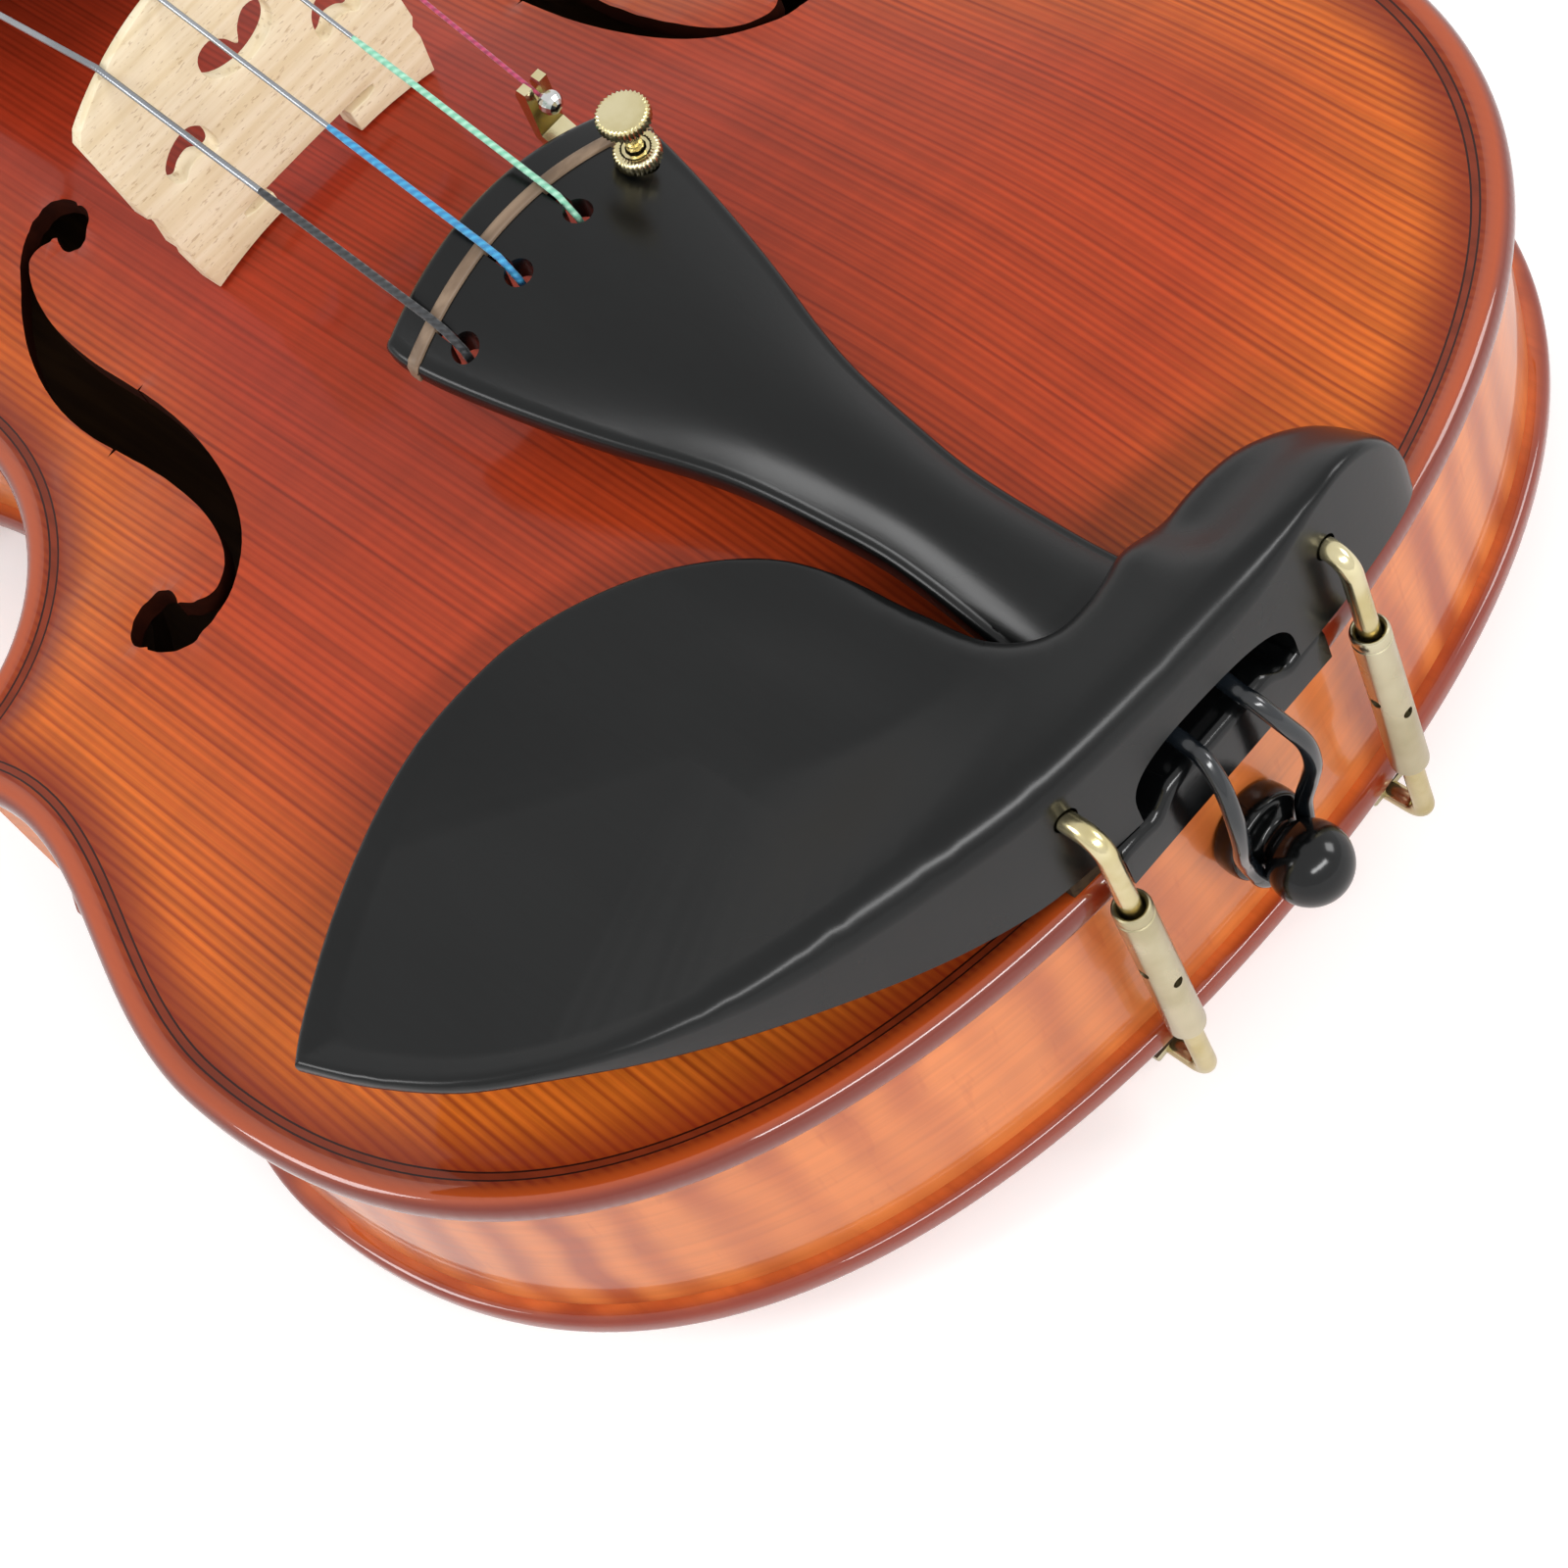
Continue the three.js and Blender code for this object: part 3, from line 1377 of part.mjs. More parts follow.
function tailLoop(run) {
  const half = tailHalfWidth(run);
  const bulge = tailpieceBulge * smooth(run / tailpieceLength / 0.5 - 1);
  const at = (share) => run - bulge * share ** 2;
  const loop = tailpieceSectionShares.map((s) => v3(s * half, at(s), tailTop(s * half, run)));
  const back = [...tailpieceSectionShares].reverse();
  return loop.concat(back.map((s) => v3(s * half, at(s), tailUnder(s, run))));
}

// Skin through the tailpiece's sections, closed by strips between its top and its underside.
function makeTailpieceBlank() {
  const loops = tailpieceShares.map(([share]) => tailLoop(share * tailpieceLength));
  const count = loops[0].length;
  const positions = loops.flat().flatMap((p) => [p.x, p.y, p.z]);
  const triangles = [];
  for (let i = 0; i + 1 < loops.length; i += 1) {
    for (let k = 0; k < count; k += 1) {
      const a = i * count + k;
      const b = i * count + ((k + 1) % count);
      triangles.push(a, b, b + count, a, b + count, a + count);
    }
  }
  [0, (loops.length - 1) * count].forEach((first, end) => {
    for (let k = 0; k + 1 < count / 2; k += 1) {
      const [a, b, c, d] = [k, k + 1, count - 2 - k, count - 1 - k].map((n) => n + first);
      triangles.push(...(end === 0 ? [a, c, b, a, d, c] : [a, b, c, a, c, d]));
    }
  });
  return geometryFrom(positions, triangles);
}

function stringX(index, span) {
  return span * (index / 3 - 0.5);
}

const holeRun = tailpieceLength - stringHoleRun;
const tailFretRun = tailpieceLength - fretRun;

function makeTailpiece() {
  const tools = [0, 1, 2, 3].flatMap((index) => {
    const x = stringX(index, tailStringSpan);
    const top = tailpieceEdge + tailpieceCrown + overrun;
    const radius = index === 3 ? tunerPostRadius + fitGap : stringHoleRadius;
    const hole = post(x, holeRun, -overrun, top, radius, 12);
    const half = stringSlotWidth / 2;
    const slot = box(x - half, x + half, holeRun, holeRun + stringSlotLength - fretRun / 3,
      -overrun, top);
    return index === 3 ? [hole] : [hole, slot];
  });
  const groove = fretBar(fretWidth + 2 * fretGap, fretDepth + fretGap, overrun);
  const pocket = box(-tailgutSpread - tailgutNutRadius - fitGap,
    tailgutSpread + tailgutNutRadius + fitGap, tailgutPocketStart,
    tailgutPocketStart + tailgutPocketLength, -overrun, tailgutHeight + tailgutNutRadius + fitGap);
  const drill = [-1, 1].map((way) => {
    const radius = tailgutDiameter / 2 + fitGap;
    const hole = new THREE.CylinderGeometry(radius, radius, 2 * tailgutPocketStart + overrun, tubeSides);
    return hole.translate(way * tailgutSpread, 0, tailgutHeight);
  });
  return inTailFrame(cut(makeTailpieceBlank(), ...tools, groove, pocket, ...drill));
}

// Bar across the tailpiece under the strings, following its crown.
function fretBar(width, depth, height) {
  const half = tailHalfWidth(tailFretRun);
  const steps = 10;
  const loops = [];
  for (let k = 0; k <= steps; k += 1) {
    const share = 1.02 * (1 - (2 * k) / steps);
    const x = share * half;
    const middle = tailFretRun - tailpieceBulge * share ** 2;
    const top = tailTop(THREE.MathUtils.clamp(x, -half, half), tailFretRun);
    loops.push([v3(x, middle - width / 2, top - depth), v3(x, middle + width / 2, top - depth),
      v3(x, middle + width / 2, top + height), v3(x, middle - width / 2, top + height)]);
  }
  return loft(loops);
}

function makeFret() {
  return inTailFrame(fretBar(fretWidth, fretDepth, fretProud));
}

// Saddle, tailgut and end button

const saddleTopZ = bellyRimZ + saddleHeight;

function makeSaddle() {
  const half = saddleWidth / 2;
  const crest = saddleCrestWidth / 2;
  const endZ = bellyRimZ + saddleEndHeight;
  const round = saddleHeight * 0.35;
  const profile = [v2(-half, bellyGlueZ + fitGap), v2(half, bellyGlueZ + fitGap), v2(half, endZ),
    v2(crest, endZ), v2(crest * 0.8, saddleTopZ), v2(-crest * 0.8, saddleTopZ), v2(-crest, endZ),
    v2(-half, endZ)];
  const slab = new THREE.ExtrudeGeometry(
    new THREE.Shape(profile), { depth: saddleDepth, bevelEnabled: false });
  slab.rotateX(Math.PI / 2).translate(0, saddleDepth, 0);
  const corner = new THREE.BoxGeometry(bodyLength, round * 2, round * 2).rotateX(Math.PI / 4);
  return cut(slab, corner.clone().translate(0, 0, saddleTopZ));
}

const buttonGrooveY = plateOverhang - endButtonCollarLength - endButtonGrooveLength / 2;

function makeEndButton() {
  const face = plateOverhang - fitGap;
  const collarEnd = plateOverhang - endButtonCollarLength;
  const grooveEnd = collarEnd - endButtonGrooveLength;
  const profile = [[0, face + endButtonShankLength],
    [endButtonShankRadius * 0.9, face + endButtonShankLength], [endButtonShankRadius, face],
    [endButtonCollarRadius * 0.93, face], [endButtonCollarRadius, face - plateOverhang],
    [endButtonCollarRadius * 0.95, collarEnd + plateOverhang / 4],
    [endButtonGrooveRadius * 1.2, collarEnd], [endButtonGrooveRadius, (collarEnd + grooveEnd) / 2],
    [endButtonGrooveRadius * 1.1, grooveEnd]];
  const steps = 7;
  for (let k = 0; k <= steps; k += 1) {
    const a = mix(endButtonBallArc, 0, k / steps);
    const along = (Math.cos(a) - Math.cos(endButtonBallArc)) / (1 - Math.cos(endButtonBallArc));
    const radius = k === steps ? 0 : endButtonBallRadius * Math.sin(a);
    profile.push([radius, grooveEnd - along * endButtonBallLength]);
  }
  return turned(profile.reverse(), 20).translate(0, 0, endButtonZ);
}

// One cord: from its nut in the tailpiece, over the saddle, round the end button and back.
function tailgutRoute() {
  const wrap = endButtonGrooveRadius + tailgutDiameter / 2 + fitGap;
  const radius = tailgutDiameter / 2;
  const overSaddle = saddleTopZ + radius + fitGap;
  const drop = overSaddle - endButtonZ;
  const start = tailPoint(tailgutSpread, tailgutPocketStart + tailgutNutLength + 1.5 * fitGap,
    tailgutHeight);
  const half = [
    start,
    tailPoint(tailgutSpread, tailgutPocketStart * 0.4, tailgutHeight),
    tailPoint(tailgutSpread, -radius, tailgutHeight * 0.9),
    v3(tailgutSpread, 0, overSaddle + radius * 0.9),
    v3(tailgutSpread * 1.05, -tailgutDiameter, overSaddle + radius * 0.1),
    v3(tailgutSpread * 1.2, -2 * tailgutDiameter, overSaddle - drop * 0.12),
    v3(tailgutBow, -tailgutReach, overSaddle - drop * 0.33),
    v3(tailgutBow, mix(-tailgutReach, buttonGrooveY, 0.3), overSaddle - drop * 0.62),
    v3(wrap * 1.15, buttonGrooveY, endButtonZ + wrap * 0.7),
  ];
  const steps = 8;
  for (let k = 0; k <= steps; k += 1) {
    const a = (Math.PI / 2) * (k / steps);
    half.push(v3(wrap * Math.cos(a), buttonGrooveY, endButtonZ - wrap * Math.sin(a)));
  }
  const other = half.slice(0, -1).reverse().map((p) => v3(-p.x, p.y, p.z));
  return half.concat(other);
}

function makeTailgut() {
  return tube(tailgutRoute(), tailgutDiameter / 2);
}

function makeTailgutNut(way) {
  const outer = new THREE.CylinderGeometry(tailgutNutRadius, tailgutNutRadius, tailgutNutLength, 12);
  const bore = tailgutDiameter / 2 + fitGap;
  const hole = new THREE.CylinderGeometry(bore, bore, 2 * tailgutNutLength, tubeSides);
  const nut = cut(outer, hole);
  nut.translate(way * tailgutSpread, tailgutPocketStart + fitGap + tailgutNutLength / 2, tailgutHeight);
  return inTailFrame(nut);
}

// Fine tuner, in the tailpiece frame

const tunerX = stringX(3, tailStringSpan);
const tunerTop = tailTop(tunerX - tunerRingRadius, holeRun);
const tunerUnder = tailUnder(tunerX / tailHalfWidth(holeRun), holeRun);
const tunerPlateTop = -fitGap;
const pivotRun = tailpieceLength + tailpieceBulge;
const pivotHeight = tunerPlateTop - tunerPivotDrop;

function knurled(radius, thickness) {
  const points = [];
  for (let k = 0; k < 2 * knurlTeeth; k += 1) {
    const r = k % 2 ? radius : radius * 0.94;
    const a = (Math.PI * k) / knurlTeeth;
    points.push(v2(r * Math.cos(a), r * Math.sin(a)));
  }
  return prism(points, 0, thickness);
}

const discBottom = tunerTop + fitGap + tunerRingThickness + tunerDiscLift;
const screwTip = pivotHeight + tunerLeverThickness / 2 + fitGap;

function makeTunerScrew() {
  const disc = knurled(tunerDiscRadius, tunerDiscThickness).translate(0, 0, discBottom);
  const shank = post(0, 0, screwTip, discBottom + tunerDiscThickness / 2, tunerScrewRadius, 10);
  const neck = post(0, 0, discBottom - tunerDiscThickness / 2, discBottom + tunerDiscThickness / 2,
    tunerScrewRadius * 1.6, 12);
  return inTailFrame(join(disc, shank, neck).translate(tunerX, holeRun, 0));
}

function makeTunerRing() {
  const ring = knurled(tunerRingRadius, tunerRingThickness);
  const bore = post(0, 0, -overrun, overrun, tunerPostRadius + fitGap, 12);
  return inTailFrame(cut(ring, bore).translate(tunerX, holeRun, tunerTop + fitGap));
}

// Frame: a plate under the tailpiece, a bored post through it and two cheeks that hold the pivot.
function makeTunerFrame() {
  const half = tunerPlateWidth / 2;
  const plate = box(-half, half, -half, pivotRun - holeRun, tunerPlateTop - tunerPlateThickness,
    tunerPlateTop);
  const stem = post(0, 0, tunerPlateTop - tunerPlateThickness / 2,
    tunerTop + fitGap + tunerRingThickness, tunerPostRadius, 12);
  const cheekIn = tunerLeverWidth / 2 + fitGap;
  const cheekBottom = pivotHeight - tunerLeverThickness;
  const cheekStart = pivotRun - holeRun - 2 * tunerLeverWidth;
  const cheeks = [-1, 1].map((way) => {
    const [a, b] = [way * cheekIn, way * (half + fitGap)].sort((p, q) => p - q);
    return box(a, b, cheekStart, pivotRun - holeRun, cheekBottom, tunerPlateTop);
  });
  const bore = post(0, 0, -4 * overrun, 4 * overrun, tunerScrewRadius + fitGap, 10);
  return inTailFrame(cut(join(plate, stem, ...cheeks), bore).translate(tunerX, holeRun, 0));
}

// Lever: a long arm under the screw and a hook that rises in front of the tailpiece.
function makeTunerLever() {
  const t = tunerLeverThickness;
  const armStart = holeRun - tunerScrewRadius * 2;
  const hookRun = tailpieceLength + tunerHookReach;
  const profile = [
    v2(armStart, pivotHeight - t / 2), v2(pivotRun, pivotHeight - t / 2),
    v2(hookRun + t / 2, pivotHeight + t), v2(hookRun + t, tunerHookHeight * 0.8),
    v2(hookRun + t / 2, tunerHookHeight), v2(hookRun - t / 2, tunerHookHeight),
    v2(hookRun - t / 2, pivotHeight + 2 * t), v2(pivotRun - t, pivotHeight + t / 2),
    v2(armStart, pivotHeight + t / 2)];
  const blade = new THREE.ExtrudeGeometry(
    new THREE.Shape(profile), { depth: tunerLeverWidth, bevelEnabled: false });
  blade.rotateX(Math.PI / 2).rotateZ(Math.PI / 2);
  blade.translate(tunerX - tunerLeverWidth / 2, 0, 0);
  const fork = box(tunerX - restGap - stringDiameters[3], tunerX + restGap + stringDiameters[3],
    hookRun - overrun, hookRun + overrun, tunerHookHeight * 0.55, tunerHookHeight + overrun);
  return inTailFrame(cut(facingOut(welded(blade)), fork));
}

const tunerBallRun = tailpieceLength + tunerHookReach - tunerLeverThickness / 2 - fitGap
  - tunerBallRadius;

function makeTunerBall() {
  const ball = new THREE.SphereGeometry(tunerBallRadius, 12, 8);
  return inTailFrame(ball.translate(tunerX, tunerBallRun, tunerHookHeight * 0.72));
}

// Chinrest, its corks and clamps

function chinrestPoint([x, y]) {
  return v2(chinrestLeft + x * chinrestLength, chinrestTail + y * chinrestDepth);
}

function chinrestPlan() {
  const knots = chinrestPlanShares.map(chinrestPoint);
  const n = knots.length;
  const fromTip = knots.map((_, i) => knots[(i + chinrestTipIndex) % n]);
  const open = new THREE.SplineCurve([...fromTip, fromTip[0]]);
  return open.getPoints(2 * n).slice(0, -1);
}

const chinrestOutline = chinrestPlan();
const chinrestEdge = distanceTo(chinrestOutline);
const cupRight = chinrestLeft + chinrestPlanShares[chinrestCupIndex][0] * chinrestLength;
const lobeRight = chinrestLeft + chinrestLength;
const tunnelReach = chinrestDepth * chinrestTunnelShare;
const coveredShares = tailpieceShares.filter(([run]) => run * tailpieceLength < tunnelReach);
const pocketHalf = Math.max(...coveredShares.map(([, half]) => half)) * tailpieceWidth / 2
  + chinrestPocketGap;

function chinrestTop(x, y) {
  const d = chinrestEdge(x, y);
  const fall = chinrestRimFall * THREE.MathUtils.clamp((y - chinrestTail) / chinrestDepth, 0, 1);
  const dish = chinrestDish * smooth(d / chinrestDishRun);
  const cup = chinrestRim - fall - dish;
  const beyond = smooth((x - pocketHalf / 2) / pocketHalf);
  const slope = mix(chinrestSpanFall, chinrestLobeFall, beyond);
  const lobe = chinrestRim - slope * smooth((y - chinrestTail) / chinrestLobeRun)
    - (d < chinrestEdgeBand ? chinrestEdgeDrop * beyond : 0);
  const end = THREE.MathUtils.clamp((x - lobeRight) / chinrestEndRun + 1, 0, 1);
  const lowest = chinrestBase + chinrestEndThickness;
  const rounded = lowest + (lobe - lowest) * Math.sqrt(1 - end * end);
  return mix(cup, rounded, smooth((x - cupRight) / chinrestDishRun + 0.7));
}

function chinrestUnder(x, y) {
  const dx = Math.max(chinrestBaseLeft - x, 0, x - chinrestBaseRight);
  const dy = Math.max(y - chinrestBaseInner, 0);
  const away = smooth(Math.hypot(dx, dy * 1.5) / chinrestLiftRun);
  const shell = mix(chinrestRimThickness, chinrestShell, smooth(chinrestEdge(x, y) / chinrestDishRun));
  return mix(chinrestBase, Math.max(chinrestTop(x, y) - shell, chinrestBase), away);
}

// Arch-shaped block along Y from start on, reaching foot below z = 0.
function archBlock(half, height, foot, start, length) {
  const shape = new THREE.Shape();
  shape.moveTo(-half, -foot);
  shape.lineTo(-half, height * 0.3);
  shape.bezierCurveTo(-half, height * 0.85, -half * 0.6, height, 0, height);
  shape.bezierCurveTo(half * 0.6, height, half, height * 0.85, half, height * 0.3);
  shape.lineTo(half, -foot);
  const block = new THREE.ExtrudeGeometry(
    shape, { depth: length, bevelEnabled: false, curveSegments: 6 });
  return block.rotateX(Math.PI / 2).translate(0, start + length, 0);
}

function chinrestTunnel() {
  const block = archBlock(chinrestTunnelWidth / 2, chinrestTunnelHeight, overrun,
    tunnelReach - chinrestDepth, chinrestDepth);
  return block.translate(0, 0, chinrestBase);
}

// Room for the tail end of the tailpiece, sloping with it.
function chinrestPocket() {
  const height = tailTop(0, tailpieceWidth / 2) + 2 * chinrestPocketGap;
  const foot = tailpieceTailZ - chinrestBase + overrun;
  return inTailFrame(archBlock(pocketHalf, height, foot, -chinrestPocketGap, chinrestDepth));
}

const clampRodZ = chinrestBase + clampRodHeight;
const clampY = -clampStandOff;

function rodHole(way) {
  const radius = clampRodRadius + fitGap;
  const length = 2 * (clampRodDepth + overrun);
  const hole = new THREE.CylinderGeometry(radius, radius, length, 12);
  return hole.translate(way * clampSpan / 2, chinrestTail + clampRodDepth + fitGap - length / 2,
    clampRodZ);
}

function makeChinrest() {
  const surface = surfaceOver(chinrestOutline, [chinrestRingInset], chinrestSpacing);
  const blank = carved(surface, chinrestTop, surface, chinrestUnder);
  return cut(blank, chinrestTunnel(), chinrestPocket(), rodHole(-1), rodHole(1));
}

// Cork pad between the belly's edge and one side of the chinrest's base.
function makeChinrestCork(way) {
  const inner = saddleWidth / 2 + 2 * fitGap;
  const outer = (way < 0 ? -chinrestBaseLeft : chinrestBaseRight) - corkInset;
  const [x0, x1] = [way * inner, way * outer].sort((a, b) => a - b);
  const pad = box(x0, x1, 0, chinrestBaseInner - corkInset, bellyGlueZ, chinrestBase);
  const plan = prism(chinrestOutline, 0, farAbove);
  const within = common(pad, prism(outline, 0, farAbove).translate(0, corkInset, 0));
  return cut(common(within, plan), underBellyTop.clone().translate(0, 0, fitGap));
}

function makeClampRod(way) {
  const x = way * clampSpan / 2;
  const r = clampRodBend;
  const centre = v3(x, clampY + r, clampRodZ - r);
  const route = [v3(x, chinrestTail + clampRodDepth, clampRodZ),
    ...bend(centre, v3(0, 0, 1), v3(0, -1, 0), r, 5),
    v3(x, clampY, clampBarrelTop - clampTopEngage)];
  return tube(route, clampRodRadius);
}

function makeClampBarrel(way) {
  const x = way * clampSpan / 2;
  const bottom = clampBarrelTop - clampBarrelLength;
  const middle = bottom + clampBarrelLength / 2;
  const body = post(x, clampY, bottom, clampBarrelTop, clampBarrelRadius);
  const bore = post(x, clampY, bottom - overrun, clampBarrelTop + overrun, clampBoreRadius, 12);
  const long = 4 * clampBarrelRadius;
  const key = new THREE.CylinderGeometry(clampKeyRadius, clampKeyRadius, long, 8);
  const one = key.clone().translate(x, clampY, middle - clampKeyOffset / 2);
  const two = key.clone().rotateZ(Math.PI / 2).translate(x, clampY, middle + clampKeyOffset / 2);
  return cut(body, bore, one, two);
}

// Lower rod with its foot under the edge of the back.
function makeClampHook(way) {
  const x = way * clampSpan / 2;
  const r = clampHookBend;
  const bottom = clampBarrelTop - clampBarrelLength;
  const footTop = backRimZ - clampCorkThickness - fitGap;
  const axis = footTop - clampRodRadius;
  const centre = v3(x, clampY + r, axis + r);
  const route = [v3(x, clampY, bottom + clampHookEngage),
    ...bend(centre, v3(0, -1, 0), v3(0, 0, -1), r, 5),
    v3(x, clampFootReach, axis)];
  const half = clampFootWidth / 2;
  const pad = box(x - half, x + half, clampFootReach - clampFootWidth, clampFootReach,
    footTop - clampFootThickness, footTop);
  return join(tube(route, clampRodRadius), pad);
}

function makeFootCork(way) {
  const x = way * clampSpan / 2;
  const half = clampFootWidth / 2;
  const top = backRimZ - fitGap;
  const pad = box(x - half, x + half, clampFootReach - clampFootWidth, clampFootReach,
    backRimZ - clampCorkThickness - fitGap, top + overrun);
  const plate = carved(innerSurface, () => farAbove, outerSurface, backOutside);
  return cut(pad, plate.translate(0, 0, -fitGap));
}

// Pegs. Bass-side pegs have their heads at -X. Order from the nut: G, E, D, A.

const pegLayout = [
  { name: 'g', side: -1, order: 0, string: 0 },
  { name: 'e', side: 1, order: 1, string: 3 },
  { name: 'd', side: -1, order: 2, string: 1 },
  { name: 'a', side: 1, order: 3, string: 2 },
];

function pegPlace(order) {
  const run = pegRun(order);
  return { run, height: -pegDropAt(run), half: pegboxHalfWidth(run) };
}

function makePeg(side, order) {
  const { half } = pegPlace(order);
  const collar = half + pegCollarStandOff;
  const tip = -half - pegTipStandOut;
  const tipRadius = pegShankRadius - (collar - tip) * pegTaper;
  const profile = [[0, tip], [tipRadius * 0.8, tip], [tipRadius, tip + tipRadius * 0.2],
    [pegShankRadius, collar], [pegCollarRadius * 0.92, collar],
    [pegCollarRadius, collar + pegCollarLength / 3], [pegCollarRadius * 0.85, collar + pegCollarLength],
    [pegNeckRadius, collar + pegCollarLength + pegNeckLength * 0.4],
    [pegNeckRadius, collar + pegCollarLength + pegNeckLength], [0, collar + pegCollarLength
      + pegNeckLength * 1.5]];
  const shank = turned(profile.reverse());
  const thumbMiddle = collar + pegCollarLength + pegNeckLength * 0.7 + pegThumbLength / 2;
  const thumb = new THREE.SphereGeometry(pegThumbLength / 2, 14, 7).rotateX(Math.PI / 2);
  thumb.scale(pegThumbWidth / pegThumbLength, 1, pegThumbThickness / pegThumbLength);
  thumb.translate(0, thumbMiddle, 0);
  const pip = new THREE.SphereGeometry(pegPipRadius, 8, 6);
  pip.translate(0, thumbMiddle + pegThumbLength / 2, 0);
  return join(shank, thumb, pip).rotateZ(-side * Math.PI / 2);
}

function pegRadiusAt(side, order, x) {
  const collar = pegPlace(order).half + pegCollarStandOff;
  return pegShankRadius - (collar - side * x) * pegTaper;
}

// Where a string's winding sits on its peg, in the peg's own frame.
function windingPlace({ side, order, string }) {
  const diameter = stringDiameters[string];
  const pitch = diameter + windingPitchGap;
  const { half } = pegPlace(order);
  const room = half - pegboxWall;
  const start = -side * (room * 0.1);
  const radius = pegRadiusAt(side, order, start) + diameter / 2 + fitGap;
  return { diameter, pitch, start, radius };
}

// String wound on its peg: a helix whose two ends run straight for one diameter.
function windingRoute(peg) {
  const { diameter, pitch, start, radius } = windingPlace(peg);
  const way = -peg.side;
  const steps = windingLoops * windingSteps;
  const points = [];
  for (let i = 0; i <= steps; i += 1) {
    const turn = i / windingSteps;
    const a = 2 * Math.PI * turn;
    const x = start - way * pitch * (turn - windingLoops / 2);
    points.push(v3(x, radius * Math.sin(a), radius * Math.cos(a)));
  }
  const first = points[0].clone().add(v3(0, -diameter, 0));
  const last = points[points.length - 1].clone().add(v3(0, diameter, 0));
  return [first, ...points, last];
}

function makeWinding(peg) {
  return tube(windingRoute(peg), stringDiameters[peg.string] / 2, windingSides);
}

// Least gap between parts of a winding that are more than half a turn apart.
function windingGap(peg) {
  const points = windingRoute(peg);
  let least = Infinity;
  points.forEach((p, i) => points.slice(i + windingSteps / 2).forEach((q) => {
    least = Math.min(least, p.distanceTo(q));
  }));
  return least - stringDiameters[peg.string];
}

// Strings

function makeString(peg) {
  const index = peg.string;
  const radius = stringDiameters[index] / 2;
  const place = pegPlace(peg.order);
  const winding = windingPlace(peg);
  const nutX = stringX(index, nutStringSpan);
  const bridgeX = stringX(index, bridgeStringSpan);
  const tailX = stringX(index, tailStringSpan);
  const nutBack = neckLength + fitGap + nutLength;
  const nutHeightHere = nutTop(nutX) + radius + restGap;
  const windingEnd = winding.start + peg.side * winding.pitch * -windingLoops / 2;
  const onPeg = v2(place.run, place.height + winding.radius);
  const overNut = v2(nutBack, nutHeightHere - nutHeight);
  const way = overNut.clone().sub(onPeg).normalize();
  const start = onPeg.clone().addScaledVector(way, stringEndRun + winding.radius / 2);
  const points = [
    neckPoint(windingEnd, start.x, start.y),
    neckPoint(nutX, overNut.x, overNut.y),
    neckPoint(nutX, neckLength + fitGap + nutLength / 2, nutHeightHere),
    v3(bridgeX, bridgeY, bridgeTopZ(bridgeX) + radius + restGap),
  ];
  if (index === 3) {
    points.push(tailPoint(tunerX, tunerBallRun + tunerBallRadius + restGap, tunerHookHeight * 0.72));
  } else {
    const fretTop = tailTop(tailX, tailFretRun) + fretProud + radius + restGap;
    const bulge = tailpieceBulge * (tailX / tailHalfWidth(tailFretRun)) ** 2;
    points.push(tailPoint(tailX, tailFretRun - bulge, fretTop));
    points.push(tailPoint(tailX, tailFretRun - fretRun * 0.6, fretTop - restGap - radius));
    points.push(tailPoint(tailX, holeRun + stringHoleRadius * 0.4, tailTop(tailX, holeRun) * 0.75));
    points.push(tailPoint(tailX, holeRun, tailUnder(tailX / tailHalfWidth(holeRun), holeRun)));
  }
  return tube(points, radius);
}

// Materials

const finishes = {
  spruce: { color: 0xb8552f, roughness: 0.3, metalness: 0 },
  maple: { color: 0xc8642f, roughness: 0.25, metalness: 0 },
  ribMaple: { color: 0xe08a55, roughness: 0.22, metalness: 0 },
  rawWood: { color: 0xd8b88a, roughness: 0.7, metalness: 0 },
  bridgeWood: { color: 0xe6d3ad, roughness: 0.6, metalness: 0 },
  ebony: { color: 0x2c2e2e, roughness: 0.4, metalness: 0 },
  fret: { color: 0x8b7560, roughness: 0.5, metalness: 0 },
  cord: { color: 0x23282e, roughness: 0.2, metalness: 0 },
  brass: { color: 0xdccf9a, roughness: 0.3, metalness: 1 },
  nickel: { color: 0xc8c8c8, roughness: 0.2, metalness: 1 },
  steel: { color: 0x8c8c8c, roughness: 0.35, metalness: 1 },
  cork: { color: 0xb08a5c, roughness: 0.9, metalness: 0 },
};

const violin = new THREE.Group();

function add(name, geometry, finish) {
  const mesh = new THREE.Mesh(geometry, new THREE.MeshStandardMaterial(finishes[finish]));
  mesh.name = name;
  violin.add(mesh);
  return mesh;
}

// Sound box
add('belly', makeBelly(), 'spruce');
add('back_plate', makeBack(), 'maple');
['bass', 'treble'].forEach((side) => {
  ['lower', 'centre', 'upper'].forEach((name) => {
    add(`${name}_rib_${side}`, makeRib(side, name), 'ribMaple');
  });
  ['lower', 'upper'].forEach((name) => {
    add(`${name}_corner_block_${side}`, makeCornerBlock(side, name), 'rawWood');
  });
});
const blockStart = plateOverhang + ribThickness + fitGap;
add('lower_block', makeEndBlock('lower', 0, blockStart + endBlockDepth, endButtonHole), 'rawWood');
add('upper_block', makeEndBlock('upper', bodyLength - blockStart - endBlockDepth, bodyLength, mortise),
  'rawWood');
add('bass_bar', makeBassBar(), 'rawWood');
add('sound_post', makeSoundPost(), 'rawWood');

// Neck and board
add('neck', makeNeck(), 'maple');
add('fingerboard', makeFingerboard(), 'ebony');
add('nut', makeNut(), 'ebony');

